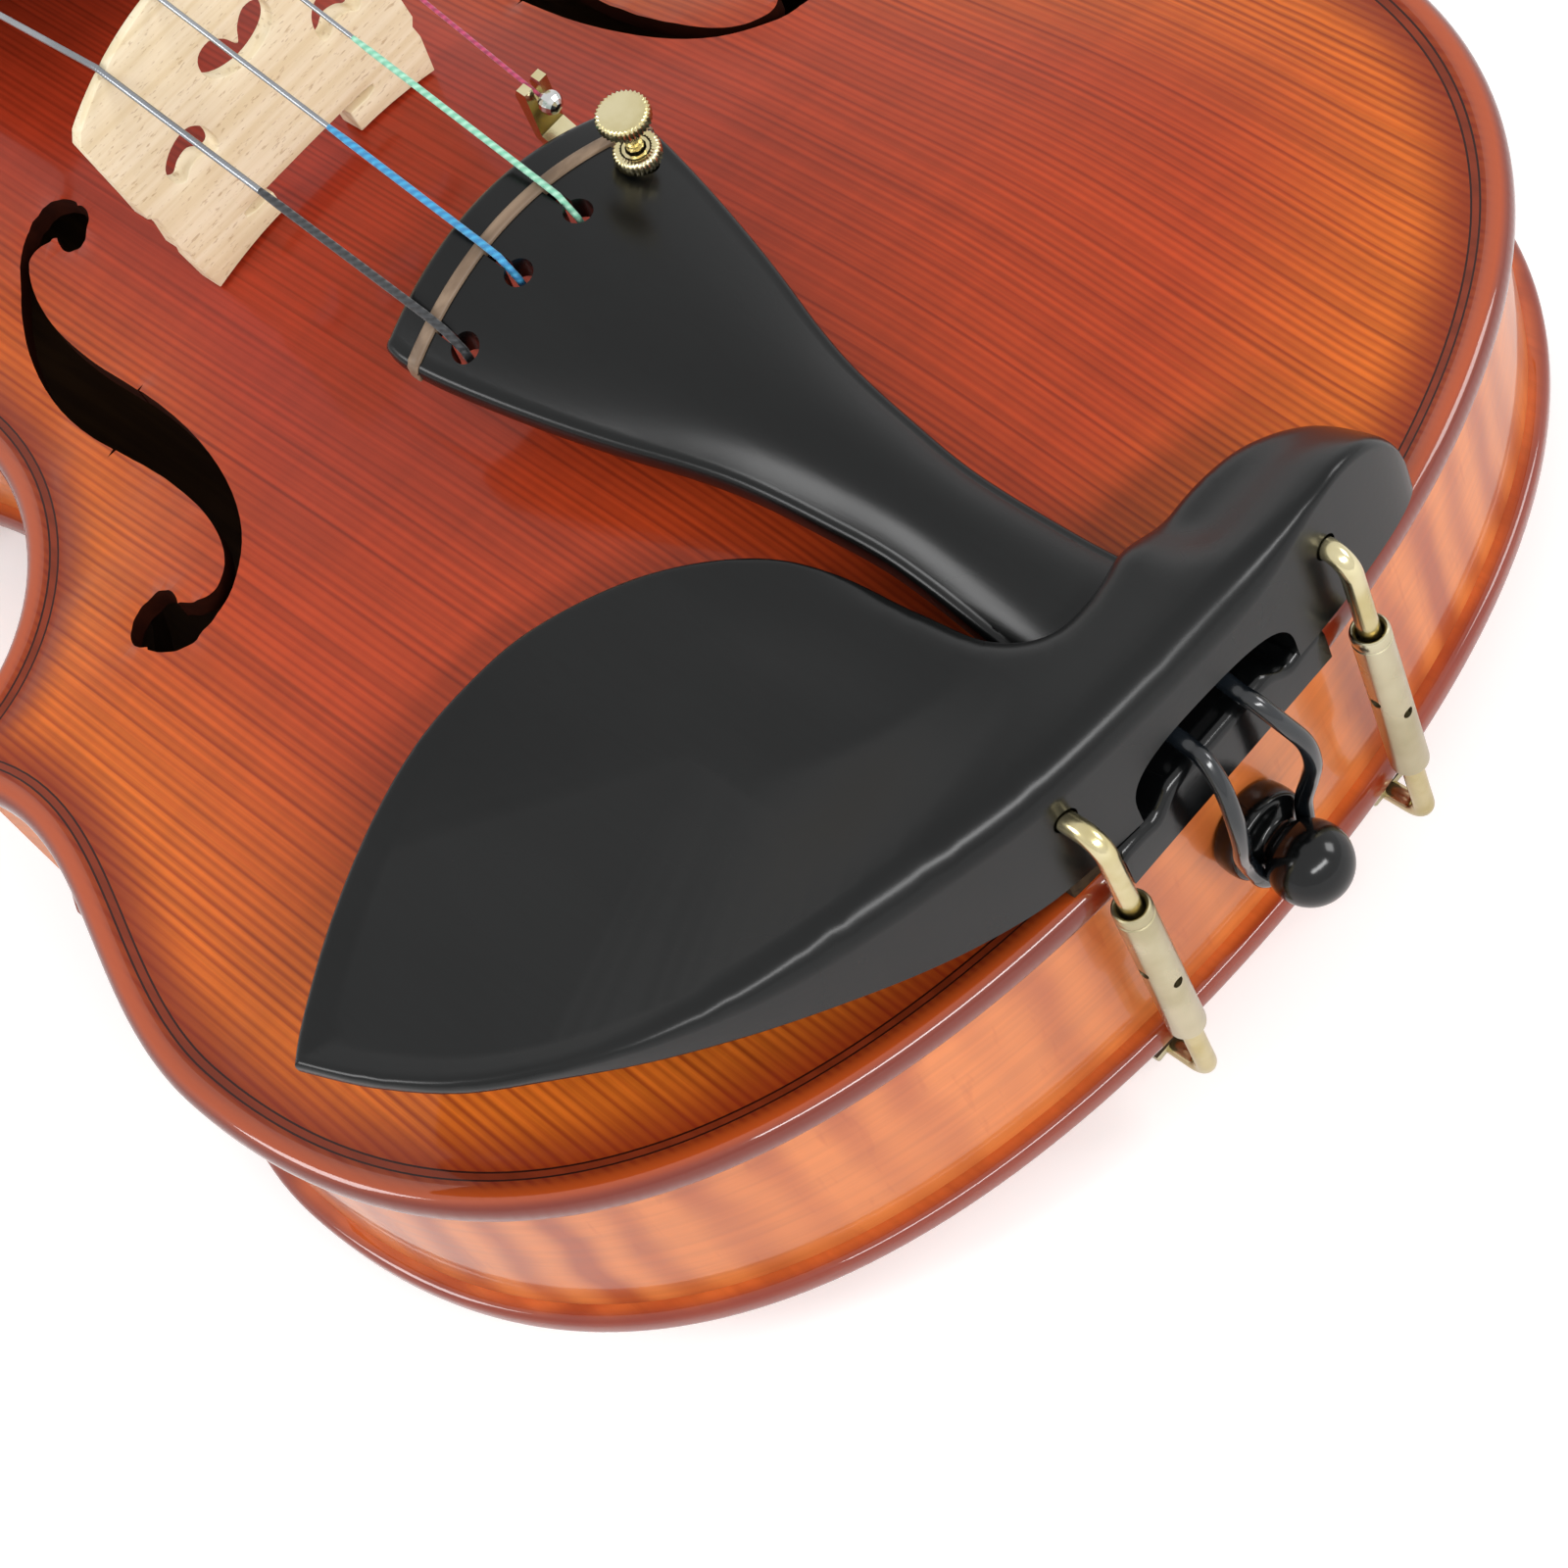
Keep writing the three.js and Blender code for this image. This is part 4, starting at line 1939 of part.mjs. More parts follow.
// Fittings
add('bridge', makeBridge(), 'bridgeWood');
add('saddle', makeSaddle(), 'ebony');
add('tailpiece', makeTailpiece(), 'ebony');
add('tailpiece_fret', makeFret(), 'fret');
add('tailgut', makeTailgut(), 'cord');
add('tailgut_nut_bass', makeTailgutNut(-1), 'brass');
add('tailgut_nut_treble', makeTailgutNut(1), 'brass');
add('end_button', makeEndButton(), 'ebony');
add('tuner_screw', makeTunerScrew(), 'brass');
add('tuner_ring_nut', makeTunerRing(), 'brass');
add('tuner_frame', makeTunerFrame(), 'brass');
add('tuner_lever', makeTunerLever(), 'brass');
add('e_string_ball', makeTunerBall(), 'nickel');

// Chinrest
add('chinrest', makeChinrest(), 'ebony');
[['bass', -1], ['treble', 1]].forEach(([side, way]) => {
  add(`chinrest_cork_${side}`, makeChinrestCork(way), 'cork');
  add(`clamp_rod_${side}`, makeClampRod(way), 'brass');
  add(`clamp_barrel_${side}`, makeClampBarrel(way), 'brass');
  add(`clamp_hook_${side}`, makeClampHook(way), 'brass');
  add(`clamp_cork_${side}`, makeFootCork(way), 'cork');
});

// Pegs, their windings and the strings
pegLayout.forEach((peg) => {
  const { run, height } = pegPlace(peg.order);
  const place = neckPoint(0, run, height);
  const pegMesh = add(`${peg.name}_peg`, makePeg(peg.side, peg.order), 'ebony');
  const windingMesh = add(`${peg.name}_string_winding`, makeWinding(peg), 'steel');
  [pegMesh, windingMesh].forEach((mesh) => {
    mesh.position.copy(place);
    mesh.rotation.x = -neckAngle;
  });
  add(`${peg.name}_string`, makeString(peg), 'steel');
  console.log(`${peg.name} winding: least gap to itself ${windingGap(peg).toFixed(2)} mm`);
});

// The origin is under the middle of the whole violin's length.
violin.updateMatrixWorld(true);
const extent = new THREE.Box3().setFromObject(violin, true);
violin.position.y = -(extent.min.y + extent.max.y) / 2;
violin.updateMatrixWorld(true);

export default violin;
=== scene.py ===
import math

import bpy
import bmesh
import numpy as np
from mathutils import Matrix, Vector
from mathutils.geometry import delaunay_2d_cdt


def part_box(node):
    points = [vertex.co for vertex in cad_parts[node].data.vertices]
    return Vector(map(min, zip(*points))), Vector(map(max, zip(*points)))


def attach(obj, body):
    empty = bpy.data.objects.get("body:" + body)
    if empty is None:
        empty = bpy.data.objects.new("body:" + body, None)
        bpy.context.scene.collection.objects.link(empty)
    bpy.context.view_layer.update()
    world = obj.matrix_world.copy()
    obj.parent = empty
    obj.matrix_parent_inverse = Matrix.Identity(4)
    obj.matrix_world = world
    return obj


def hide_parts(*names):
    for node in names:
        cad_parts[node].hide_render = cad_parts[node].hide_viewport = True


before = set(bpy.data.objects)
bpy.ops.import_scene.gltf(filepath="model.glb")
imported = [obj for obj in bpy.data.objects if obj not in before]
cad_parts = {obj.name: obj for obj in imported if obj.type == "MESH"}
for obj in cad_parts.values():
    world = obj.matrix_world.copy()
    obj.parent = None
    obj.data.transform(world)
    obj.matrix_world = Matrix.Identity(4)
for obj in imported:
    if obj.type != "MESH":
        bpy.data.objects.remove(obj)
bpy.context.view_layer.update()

MM = 0.001
PI = math.pi
SHIFT_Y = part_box("back_plate")[0][1]  # the tail end of the body, in the frame

# sizes in millimetres

BODY = 356.0
HALF = {"lower": 104.0, "waist": 56.0, "upper": 84.0, "lowerCorner": 94.5, "upperCorner": 79.0}
BACK_GLUE, BACK_RIM = 15.0, 11.0
BELLY_GLUE, BELLY_RIM = 45.5, 49.5
BELLY_ARCH = 11.5
CHANNEL_DEPTH, CHANNEL_WIDTH = 0.9, 5.5
LIP = 9.2  # width of the flat strip inside the outline that the ribs are glued to
GAP = 0.3  # between parts that rest on each other
NECK_SLOPE, TAIL_SLOPE = 0.118, 0.175
NECK_LENGTH, BOARD_LENGTH = 130.0, 270.0
BOARD_START = -5.5  # where the board leaves the neck over the body
ROOT_HALF = 17.05
CROWN = 42.0  # radius across the board, the nut and the bridge
NUT_SPAN, BRIDGE_SPAN, TAIL_SPAN = 16.5, 34.0, 32.0
TP_LENGTH, TP_WIDTH = 110.0, 43.5
HOLE_RUN, FRET_RUN = 98.0, 104.5
BRIDGE_Y, BRIDGE_H = 159.0, 39.75
STRING_D = [0.9, 0.75, 0.65, 0.35]

# each stretch of the outline is a Bezier curve that goes on from the one before; its two handles
# and its end are given by which half width, its share, and the share of the length
OUTLINE_START = ("lower", 0, 0)
OUTLINE = {
    "lowerBout": [("lower", 0.615, 0), ("lower", 1, 0.067), ("lower", 1, 0.2135)],
    "lowerFlank": [("lower", 1, 0.281), ("lower", 0.808, 0.337), ("lowerCorner", 1, 0.3933)],
    "lowerTip": [("lowerCorner", 0.99, 0.3993), ("lowerCorner", 0.979, 0.4054),
                 ("lowerCorner", 0.968, 0.4115)],
    "lowerWaist": [("lowerCorner", 0.836, 0.403), ("waist", 1.009, 0.441), ("waist", 1, 0.5225)],
    "upperWaist": [("waist", 0.993, 0.5955), ("upperCorner", 0.835, 0.646), ("upperCorner", 0.968, 0.6362)],
    "upperTip": [("upperCorner", 0.979, 0.6418), ("upperCorner", 0.99, 0.6475), ("upperCorner", 1, 0.6531)],
    "upperFlank": [("upper", 0.821, 0.674), ("upper", 1, 0.736), ("upper", 1, 0.8034)],
    "upperBout": [("upper", 1, 0.916), ("upper", 0.667, 1), ("upper", 0, 1)],
}
STEPS = {"lowerBout": 64, "lowerFlank": 32, "lowerTip": 3, "lowerWaist": 32, "upperWaist": 32,
         "upperTip": 3, "upperFlank": 26, "upperBout": 52}

# small geometry helpers


def arr(*rows):
    return np.array(rows, float)


def mix(a, b, t):
    return a + (b - a) * t


def smooth(t):
    t = np.clip(t, 0, 1)
    return t * t * (3 - 2 * t)


def bezier(p, n):
    t = np.linspace(0, 1, n + 1)[:, None]
    p = np.asarray(p, float)
    return (1 - t) ** 3 * p[0] + 3 * (1 - t) ** 2 * t * p[1] + 3 * (1 - t) * t * t * p[2] + t ** 3 * p[3]


def stretch(name):
    before = list(OUTLINE).index(name) - 1
    start = list(OUTLINE.values())[before][-1] if before >= 0 else OUTLINE_START
    return bezier([(x * HALF[w], y * BODY) for w, x, y in (start, *OUTLINE[name])], STEPS[name])


def chain(first, *names):
    return np.vstack([stretch(first), *[stretch(name)[1:] for name in names]])


def catmull(points, per, closed=False):
    """Smooth curve through points."""
    p = np.asarray(points, float)
    n = len(p)
    out = []
    for i in range(n if closed else n - 1):
        near = range(i - 1, i + 3)
        a, b, c, d = p[[j % n for j in near]] if closed else p[np.clip(near, 0, n - 1)]
        for k in range(per):
            t = k / per
            out.append(0.5 * (2 * b + (c - a) * t + (2 * a - 5 * b + 4 * c - d) * t * t
                              + (3 * b - a - 3 * c + d) * t ** 3))
    if not closed:
        out.append(p[-1])
    return np.array(out)


BATCH = 1500  # points at a time


def distance(spots, loop):
    """How far each point is from a closed loop."""
    side = np.roll(loop, -1, 0) - loop
    squared = np.maximum((side ** 2).sum(1), 1e-12)
    out = np.empty(len(spots))
    for start in range(0, len(spots), BATCH):
        p = spots[start:start + BATCH, None]
        t = np.clip(((p - loop) * side).sum(2) / squared, 0, 1)
        gap = ((p - loop - t[..., None] * side) ** 2).sum(2)
        out[start:start + BATCH] = np.sqrt(gap.min(1))
    return out


def inside(spots, loop):
    """Which points lie within a closed loop."""
    x, y = spots[:, 0], spots[:, 1]
    res = np.zeros(len(spots), bool)
    for a, b in zip(loop, np.roll(loop, 1, 0)):
        if a[1] != b[1]:
            cross = (a[1] > y) != (b[1] > y)
            res ^= cross & (x < (b[0] - a[0]) * (y - a[1]) / (b[1] - a[1]) + a[0])
    return res


def offset_ring(loop, d):
    """Closed loop moved inwards (to its left) with mitred corners."""
    e = np.roll(loop, -1, 0) - loop
    e /= np.linalg.norm(e, axis=1)[:, None]
    n2 = np.column_stack([-e[:, 1], e[:, 0]])
    n1 = np.roll(n2, 1, 0)
    k = 1 + (n1 * n2).sum(1)
    return loop + d * (n1 + n2) / np.maximum(k, 0.25)[:, None]


def offset_path(path, d):
    """Open path moved to its left."""
    t = np.gradient(path, axis=0)
    t /= np.linalg.norm(t, axis=1)[:, None]
    return path + d * np.column_stack([-t[:, 1], t[:, 0]])


def run_lengths(path):
    """Length along a path at each of its points."""
    return np.concatenate([[0], np.cumsum(np.linalg.norm(np.diff(path, axis=0), axis=1))])


def rounding(d, r):
    """Drop of a rounded edge of radius r at distance d from the edge."""
    t = np.clip(r - d, 0, r)
    return r - np.sqrt(np.maximum(r * r - t * t, 0))


# mesh makers: a part is (points, faces) in body coordinates and millimetres


def place(co):
    v = np.asarray(co, float) * MM
    v[:, 1] += SHIFT_Y
    return v


def add_object(name, data):
    ob = bpy.data.objects.new(name, data)
    bpy.context.scene.collection.objects.link(ob)
    return ob


def skin(name, part):
    """A smooth mesh object with its normals outwards."""
    co, faces = part
    me = bpy.data.meshes.new(name)
    me.from_pydata(place(co).tolist(), [], [tuple(int(i) for i in f) for f in faces])
    me.validate()
    bm = bmesh.new()
    bm.from_mesh(me)
    bmesh.ops.recalc_face_normals(bm, faces=bm.faces)
    bm.to_mesh(me)
    bm.free()
    me.polygons.foreach_set("use_smooth", np.ones(len(me.polygons), bool))
    return add_object(name, me)


def build(name, part, mats, node=None, body="violin", fmat=None, sharp=40, attrs=None):
    """A piece that stands for a CAD node. The node's name is the piece's without _fine."""
    ob = skin(name, part)
    me = ob.data
    for m in mats:
        me.materials.append(m)
    if fmat is not None:
        me.polygons.foreach_set("material_index", np.asarray(fmat, np.int32))
    for key, values in (attrs or {}).items():
        a = me.attributes.new(key, "FLOAT", "POINT")
        a.data.foreach_set("value", np.asarray(values, np.float32))
    me.set_sharp_from_angle(angle=math.radians(sharp))
    me.update()
    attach(ob, body)
    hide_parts(node or name.removesuffix("_fine"))
    return ob


def merge(*parts):
    """Several parts as one."""
    co, faces, base = [], [], 0
    for p, f in parts:
        co.append(np.asarray(p, float))
        faces += [tuple(i + base for i in q) for q in f]
        base += len(p)
    return np.vstack(co), faces


def loft(rings):
    """Skin over closed rings of one length, with both ends capped."""
    rings = np.asarray(rings, float)
    r, c = rings.shape[:2]
    faces = [(i * c + k, i * c + (k + 1) % c, (i + 1) * c + (k + 1) % c, (i + 1) * c + k)
             for i in range(r - 1) for k in range(c)]
    faces += [tuple(range(c - 1, -1, -1)), tuple((r - 1) * c + k for k in range(c))]
    return rings.reshape(-1, 3), faces


def lathe(profile, sides=64, mod=None):
    """Turned about +Z from (radius, height) points; mod scales the radius around the turn."""
    a = np.arange(sides) * 2 * PI / sides
    scale = np.ones(sides) if mod is None else mod(a)
    co, rings = [], []
    for r, z in profile:
        if r <= 1e-6:
            rings.append([len(co)])
            co.append((0, 0, z))
        else:
            rings.append(list(range(len(co), len(co) + sides)))
            co += [(r * s * math.cos(t), r * s * math.sin(t), z) for s, t in zip(scale, a)]
    faces = []
    for lo, hi in zip(rings, rings[1:]):
        for k in range(sides):
            j = (k + 1) % sides
            ring = (lo[k % len(lo)], lo[j % len(lo)], hi[j % len(hi)], hi[k % len(hi)])
            face = tuple(dict.fromkeys(ring))
            if len(face) > 2:
                faces.append(face)
    return np.array(co, float), faces


def axis_frame(origin, z, x=(1, 0, 0)):
    z = np.asarray(z, float) / np.linalg.norm(z)
    x = np.asarray(x, float) - np.dot(x, z) * z
    if np.linalg.norm(x) < 1e-6:
        x = np.array([0, 1.0, 0]) - z[1] * z
    x /= np.linalg.norm(x)
    m = np.eye(4)
    m[:3, 0], m[:3, 1], m[:3, 2], m[:3, 3] = x, np.cross(z, x), z, origin
    return m


def sloped_frame(origin, slope):
    """Frame of a part that rises towards +Y: across, along and away from its surface."""
    m = axis_frame(origin, (0, slope, 1))
    m[:3, 1] = np.cross(m[:3, 2], m[:3, 0])
    return m


def point_in(m, x, run, height):
    return m[:3, :3] @ np.array([x, run, height], float) + m[:3, 3]


def at_point(m, x, run, height):
    """The same frame, moved to a point of its own."""
    m = m.copy()
    m[:3, 3] = point_in(m, x, run, height)
    return m


def moved(part, m):
    """A part taken from a frame into body coordinates."""
    co, faces = part
    co = np.asarray(co, float)
    return co @ m[:3, :3].T + m[:3, 3], faces


def drill(radius, low, high, sides, m):
    """A cutting rod along the Z of a frame."""
    return moved(lathe([(0, low), (radius, low), (radius, high), (0, high)], sides), m)


def round_end(p, r):
    """The last end of a bar softly rounded, with the bar's length kept."""
    way = p[-1] - p[-2]
    way /= np.linalg.norm(way)
    turns = (0.5, 0.95, 1.3)
    extra = [p[-1] + way * (math.sin(a) * r[-1] - r[-1]) for a in turns]
    radii = [max(math.cos(a) * r[-1], r[-1] * 0.05) for a in turns]
    return np.vstack([p[:-1], p[-1] - way * r[-1], extra]), np.concatenate([r, radii])


def tube(points, radius, sides=20, round_ends=True):
    """Round bar along points, with one radius or a radius for each point."""
    p = np.asarray(points, float)
    r = np.broadcast_to(np.asarray(radius, float), (len(p),)).copy()
    if round_ends:
        for _ in range(2):
            p, r = round_end(p[::-1], r[::-1])
    t = np.gradient(p, axis=0)
    t /= np.linalg.norm(t, axis=1)[:, None]
    up = np.array([0, 0, 1.0]) if abs(t[0][2]) < 0.9 else np.array([1.0, 0, 0])
    n = np.cross(t[0], up)
    n /= np.linalg.norm(n)
    rings = []
    a = np.arange(sides) * 2 * PI / sides
    for i in range(len(p)):
        n = n - np.dot(n, t[i]) * t[i]
        n /= np.linalg.norm(n)
        b = np.cross(t[i], n)
        rings.append(p[i] + r[i] * (np.outer(np.cos(a), n) + np.outer(np.sin(a), b)))
    return loft(rings)


def block(x0, x1, y0, y1, z0, z1):
    co = [(x, y, z) for x in (x0, x1) for y in (y0, y1) for z in (z0, z1)]
    f = [(0, 1, 3, 2), (4, 6, 7, 5), (0, 4, 5, 1), (2, 3, 7, 6), (0, 2, 6, 4), (1, 5, 7, 3)]
    return arr(*co), f


def extrude(loop, axis_of, lo, hi):
    """Closed plane loop pushed through a thickness; axis_of maps (u, v, w) to body coordinates."""
    return loft([[axis_of(u, v, w) for u, v in loop] for w in (lo, hi)])


def apply(ob):
    dg = bpy.context.evaluated_depsgraph_get()
    new = bpy.data.meshes.new_from_object(ob.evaluated_get(dg))
    ob.modifiers.clear()
    ob.data = new


def carve(ob, *parts, sharp=35):
    """Cuts tools out of a piece."""
    tools = [skin(f"tool{k}", part) for k, part in enumerate(parts)]
    for tool in tools:
        m = ob.modifiers.new("cut", "BOOLEAN")
        m.object, m.operation, m.solver = tool, "DIFFERENCE", "EXACT"
    apply(ob)
    for tool in tools:
        bpy.data.objects.remove(tool)
    ob.data.set_sharp_from_angle(angle=math.radians(sharp))


def bevel(ob, width, segments=2, angle=40):
    m = ob.modifiers.new("bevel", "BEVEL")
    m.width, m.segments, m.limit_method = width * MM, segments, "ANGLE"
    m.angle_limit = math.radians(angle)
    m.use_clamp_overlap = True
    apply(ob)
    ob.data.set_sharp_from_angle(angle=math.radians(45))


# materials


def rgb(text):
    c = [int(text[i:i + 2], 16) / 255 for i in (0, 2, 4)]
    return tuple(x / 12.92 if x <= 0.04045 else ((x + 0.055) / 1.055) ** 2.4 for x in c) + (1,)


class Nodes:
    """Short ways to add nodes to a material or a world."""

    def __init__(self, holder):
        holder.use_nodes = True
        self.mat = holder
        self.t = holder.node_tree
        self.shader = self.t.nodes.get("Principled BSDF")

    def node(self, kind, **values):
        n = self.t.nodes.new(kind)
        for k, v in values.items():
            setattr(n, k, v)
        return n

    def link(self, a, b):
        self.t.links.new(a, b)

    def feed(self, socket, value):
        if isinstance(value, bpy.types.NodeSocket):
            self.link(value, socket)
        elif value is not None:
            socket.default_value = value

    def position(self, scale=(1, 1, 1)):
        m = self.node("ShaderNodeMapping")
        m.inputs["Scale"].default_value = scale
        self.link(self.node("ShaderNodeTexCoord").outputs["Object"], m.inputs["Vector"])
        return m.outputs["Vector"]

    def axes(self):
        s = self.node("ShaderNodeSeparateXYZ")
        self.link(self.node("ShaderNodeTexCoord").outputs["Object"], s.inputs[0])
        return s.outputs

    def noise(self, scale, detail=2.0, rough=0.5):
        """Noise with its own scale along each axis, per metre."""
        n = self.node("ShaderNodeTexNoise")
        n.inputs["Scale"].default_value = 1.0
        n.inputs["Detail"].default_value = detail
        n.inputs["Roughness"].default_value = rough
        self.link(self.position(scale), n.inputs["Vector"])
        return n.outputs["Fac"]

    def math(self, op, *values, clamp=False):
        n = self.node("ShaderNodeMath", operation=op, use_clamp=clamp)
        for socket, value in zip(n.inputs, values):
            self.feed(socket, value)
        return n.outputs[0]

    def mul(self, a, b):
        return self.math("MULTIPLY", a, b)

    def add(self, a, b, clamp=False):
        return self.math("ADD", a, b, clamp=clamp)

    def ramp(self, fac, *stops):
        n = self.node("ShaderNodeValToRGB")
        e = n.color_ramp.elements
        while len(e) < len(stops):
            e.new(0.5)
        for el, (p, c) in zip(e, stops):
            el.position = p
            el.color = (c, c, c, 1)
        self.link(fac, n.inputs[0])
        return n.outputs[0]

    def blend(self, fac, a, b, kind="MIX"):
        n = self.node("ShaderNodeMix", data_type="RGBA", blend_type=kind)
        for socket, value in zip((n.inputs[0], n.inputs[6], n.inputs[7]), (fac, a, b)):
            self.feed(socket, value)
        return n.outputs[2]

    def tones(self, fac, a, b):
        """Two colours mixed by a noise."""
        return self.blend(self.span(fac, 0.3, 0.7), rgb(a), rgb(b))

    def shade(self, amount, body, fac, *stops):
        """Darkens and lightens a colour by a ramp."""
        return self.blend(amount, body, self.ramp(fac, *stops), "MULTIPLY")

    def span(self, value, lo, hi, to0=0.0, to1=1.0):
        """A smooth step from to0 at lo to to1 at hi."""
        n = self.node("ShaderNodeMapRange", interpolation_type="SMOOTHSTEP")
        for i, v in enumerate((lo, hi, to0, to1)):
            n.inputs[i + 1].default_value = v
        self.link(value, n.inputs[0])
        return n.outputs[0]

    def attribute(self, name):
        return self.node("ShaderNodeAttribute", attribute_name=name).outputs["Fac"]

    def bump(self, height, strength, dist):
        n = self.node("ShaderNodeBump")
        n.inputs["Strength"].default_value = strength
        n.inputs["Distance"].default_value = dist
        self.link(height, n.inputs["Height"])
        self.link(n.outputs[0], self.shader.inputs["Normal"])

    def set(self, colour, rough, metal=0.0, coat=0.0, coat_rough=0.03, spec=0.5, sheen=0.0):
        s = self.shader.inputs
        self.feed(s["Base Color"], colour)
        self.feed(s["Roughness"], rough)
        s["Metallic"].default_value = metal
        s["Coat Weight"].default_value = coat
        s["Coat Roughness"].default_value = coat_rough
        s["Specular IOR Level"].default_value = spec
        s["IOR"].default_value = 1.5
        s["Sheen Weight"].default_value = sheen
        return self.mat


def new_material(name):
    return Nodes(bpy.data.materials.new(name))


def spruce_material(name, coat, coat_rough):
    """Straight-grained spruce under varnish: golden at the rim, with red painted shade round the bridge and
    dark painted shade in the channel and on the rim's outer side.
    """
    n = new_material(name)
    x, y = n.axes()[:2]
    edge = n.attribute("edge")  # distance from the outline in millimetres
    wander = n.noise((10, 4, 10), 2)
    fine = n.noise((1500, 14, 20), 3)
    # annual rings: close at the middle joint and wider to the sides
    rings = n.mul(n.math("POWER", n.math("ABSOLUTE", x), 0.9), 680.0)
    rings = n.add(rings, n.mul(wander, 2.4))
    shape = [(0.0, 0.5), (0.2, 0.05), (0.45, 0.0), (0.75, 0.9), (0.9, 1.0), (1.0, 0.5)]
    late = n.ramp(n.math("FRACT", rings), *shape)
    each = n.node("ShaderNodeTexWhiteNoise", noise_dimensions="1D")
    n.link(n.math("FLOOR", rings), each.inputs["W"])
    late = n.mul(late, n.ramp(each.outputs["Value"], (0.0, 0.45), (1.0, 1.0)))
    broad = n.noise((130, 3, 5), 3, 0.6)
    silk = n.noise((30, 260, 30), 3, 0.6)
    cloud = n.noise((11, 8, 11), 2)
    depth = n.add(edge, n.mul(n.math("SUBTRACT", cloud, 0.5), 34.0))
    golden, orange, bridge_painted_shade = rgb("D0681F"), rgb("A83C18"), rgb("962C18")
    body = n.blend(n.span(depth, 6.0, 42.0), golden, orange)
    # painted shade: the middle of the belly turns red from under the tailpiece on past the bridge
    middle = n.span(n.math("ABSOLUTE", x), 0.018, 0.062, 1.0, 0.0)
    ahead = n.span(y, SHIFT_Y + 0.05, SHIFT_Y + 0.135)
    body = n.blend(n.mul(n.mul(middle, ahead), 0.85), body, bridge_painted_shade)
    body = n.blend(n.mul(late, 0.72), body, rgb("76200C"))
    body = n.shade(1.0, body, broad, (0.3, 0.94), (0.5, 1.0), (0.72, 1.05))
    body = n.shade(1.0, body, silk, (0.3, 0.95), (0.7, 1.05))
    body = n.shade(0.8, body, fine, (0.35, 0.8), (0.62, 1.14))
    # painted shade: the channel is dark and the rim's outer side is darkest; the raised rim between them is
    # golden
    for full, none, amount, tone in ((5.0, 13.0, 0.8, "701A0C"), (2.2, 3.6, 0.9, "AC481A"),
                                     (0.3, 1.6, 0.9, "641A0A")):
        body = n.blend(n.span(edge, full, none, amount, 0.0), body, rgb(tone))
    n.bump(n.add(late, n.mul(fine, 0.4)), 0.06, 0.0002)
    rough = n.ramp(late, (0.0, 0.34), (1.0, 0.44))
    return n.set(body, rough, coat=coat, coat_rough=coat_rough, spec=0.12)


def maple_material(name, light, dark, flame, edge=None, on_rib=False, period=9.0, coat=0.4, spec=0.15):
    """Flamed maple under varnish; the flames run across the grain, up a rib and across a plate."""
    n = new_material(name)
    x, y, z = n.axes()
    u = n.attribute("along") if on_rib else n.mul(y, 1000.0)
    wob = n.noise((34, 34, 34), 3)
    v = n.add(n.mul(u, 2 * PI / period), n.mul(wob, 7.0))
    v = n.add(v, n.mul(z if on_rib else x, 26.0))
    wave = n.add(n.mul(n.math("SINE", v), 0.5), 0.5)
    second = n.math("SINE", n.add(n.mul(v, 0.43), 1.7))
    patch = n.noise((26, 26, 14), 2)
    amount = n.mul(wave, n.span(patch, 0.3, 0.7, 0.2, 1.0))
    amount = n.add(amount, n.mul(second, 0.16), clamp=True)
    body = n.blend(n.mul(amount, flame), rgb(light), rgb(dark))
    grain = n.noise((40, 40, 900) if on_rib else (900, 30, 900), 3)
    body = n.shade(0.5, body, grain, (0.35, 0.82), (0.62, 1.06))
    cloud = n.noise((16, 16, 16), 3)
    body = n.shade(0.7, body, cloud, (0.3, 0.86), (0.7, 1.12))
    fleck = n.noise((500, 500, 90) if on_rib else (500, 90, 500), 2, 0.6)
    body = n.blend(n.ramp(fleck, (0.62, 0.0), (0.74, 0.25)), body, rgb(dark))
    if edge:
        body = n.blend(n.span(n.attribute("edge"), 0.3, 2.2, 0.9, 0.0), body, rgb(edge))
    n.bump(grain, 0.04, 0.0002)
    return n.set(body, n.ramp(grain, (0.0, 0.32), (1.0, 0.42)), coat=coat, spec=spec)


def ebony_material(name, dark, light, rough, spec=0.28):
    n = new_material(name)
    pores = n.noise((1100, 70, 1100), 4, 0.6)
    cloud = n.noise((34, 12, 34), 3)
    body = n.shade(0.5, n.tones(cloud, dark, light), pores, (0.36, 0.7), (0.5, 1.0))
    n.bump(pores, 0.05, 0.0002)
    return n.set(body, n.ramp(cloud, (0.25, rough[0]), (0.75, rough[1])), spec=spec)


def metal_material(name, a, b, rough, scale=160.0, bump=0.05):
    n = new_material(name)
    cloud = n.noise((scale, scale, scale), 3)
    n.bump(n.noise((2600, 2600, 2600), 2), bump, 0.0001)
    return n.set(n.tones(cloud, a, b), n.ramp(cloud, (0.3, rough[0]), (0.7, rough[1])), metal=1.0)


def plain_wood(name, a, b, fleck=None, rough=0.6, along_y=True, coat=0.0, spec=0.4):
    n = new_material(name)
    grain = n.noise((500, 12, 500) if along_y else (24, 500, 900), 3)
    cloud = n.noise((40, 40, 40), 2)
    body = n.shade(0.4, n.tones(grain, a, b), cloud, (0.3, 0.9), (0.7, 1.06))
    if fleck:
        spots = n.noise((700, 700, 2600), 2, 0.6)
        body = n.blend(n.ramp(spots, (0.6, 0.0), (0.7, 0.5)), body, rgb(fleck))
    n.bump(grain, 0.08, 0.0002)
    return n.set(body, rough, coat=coat, spec=spec)


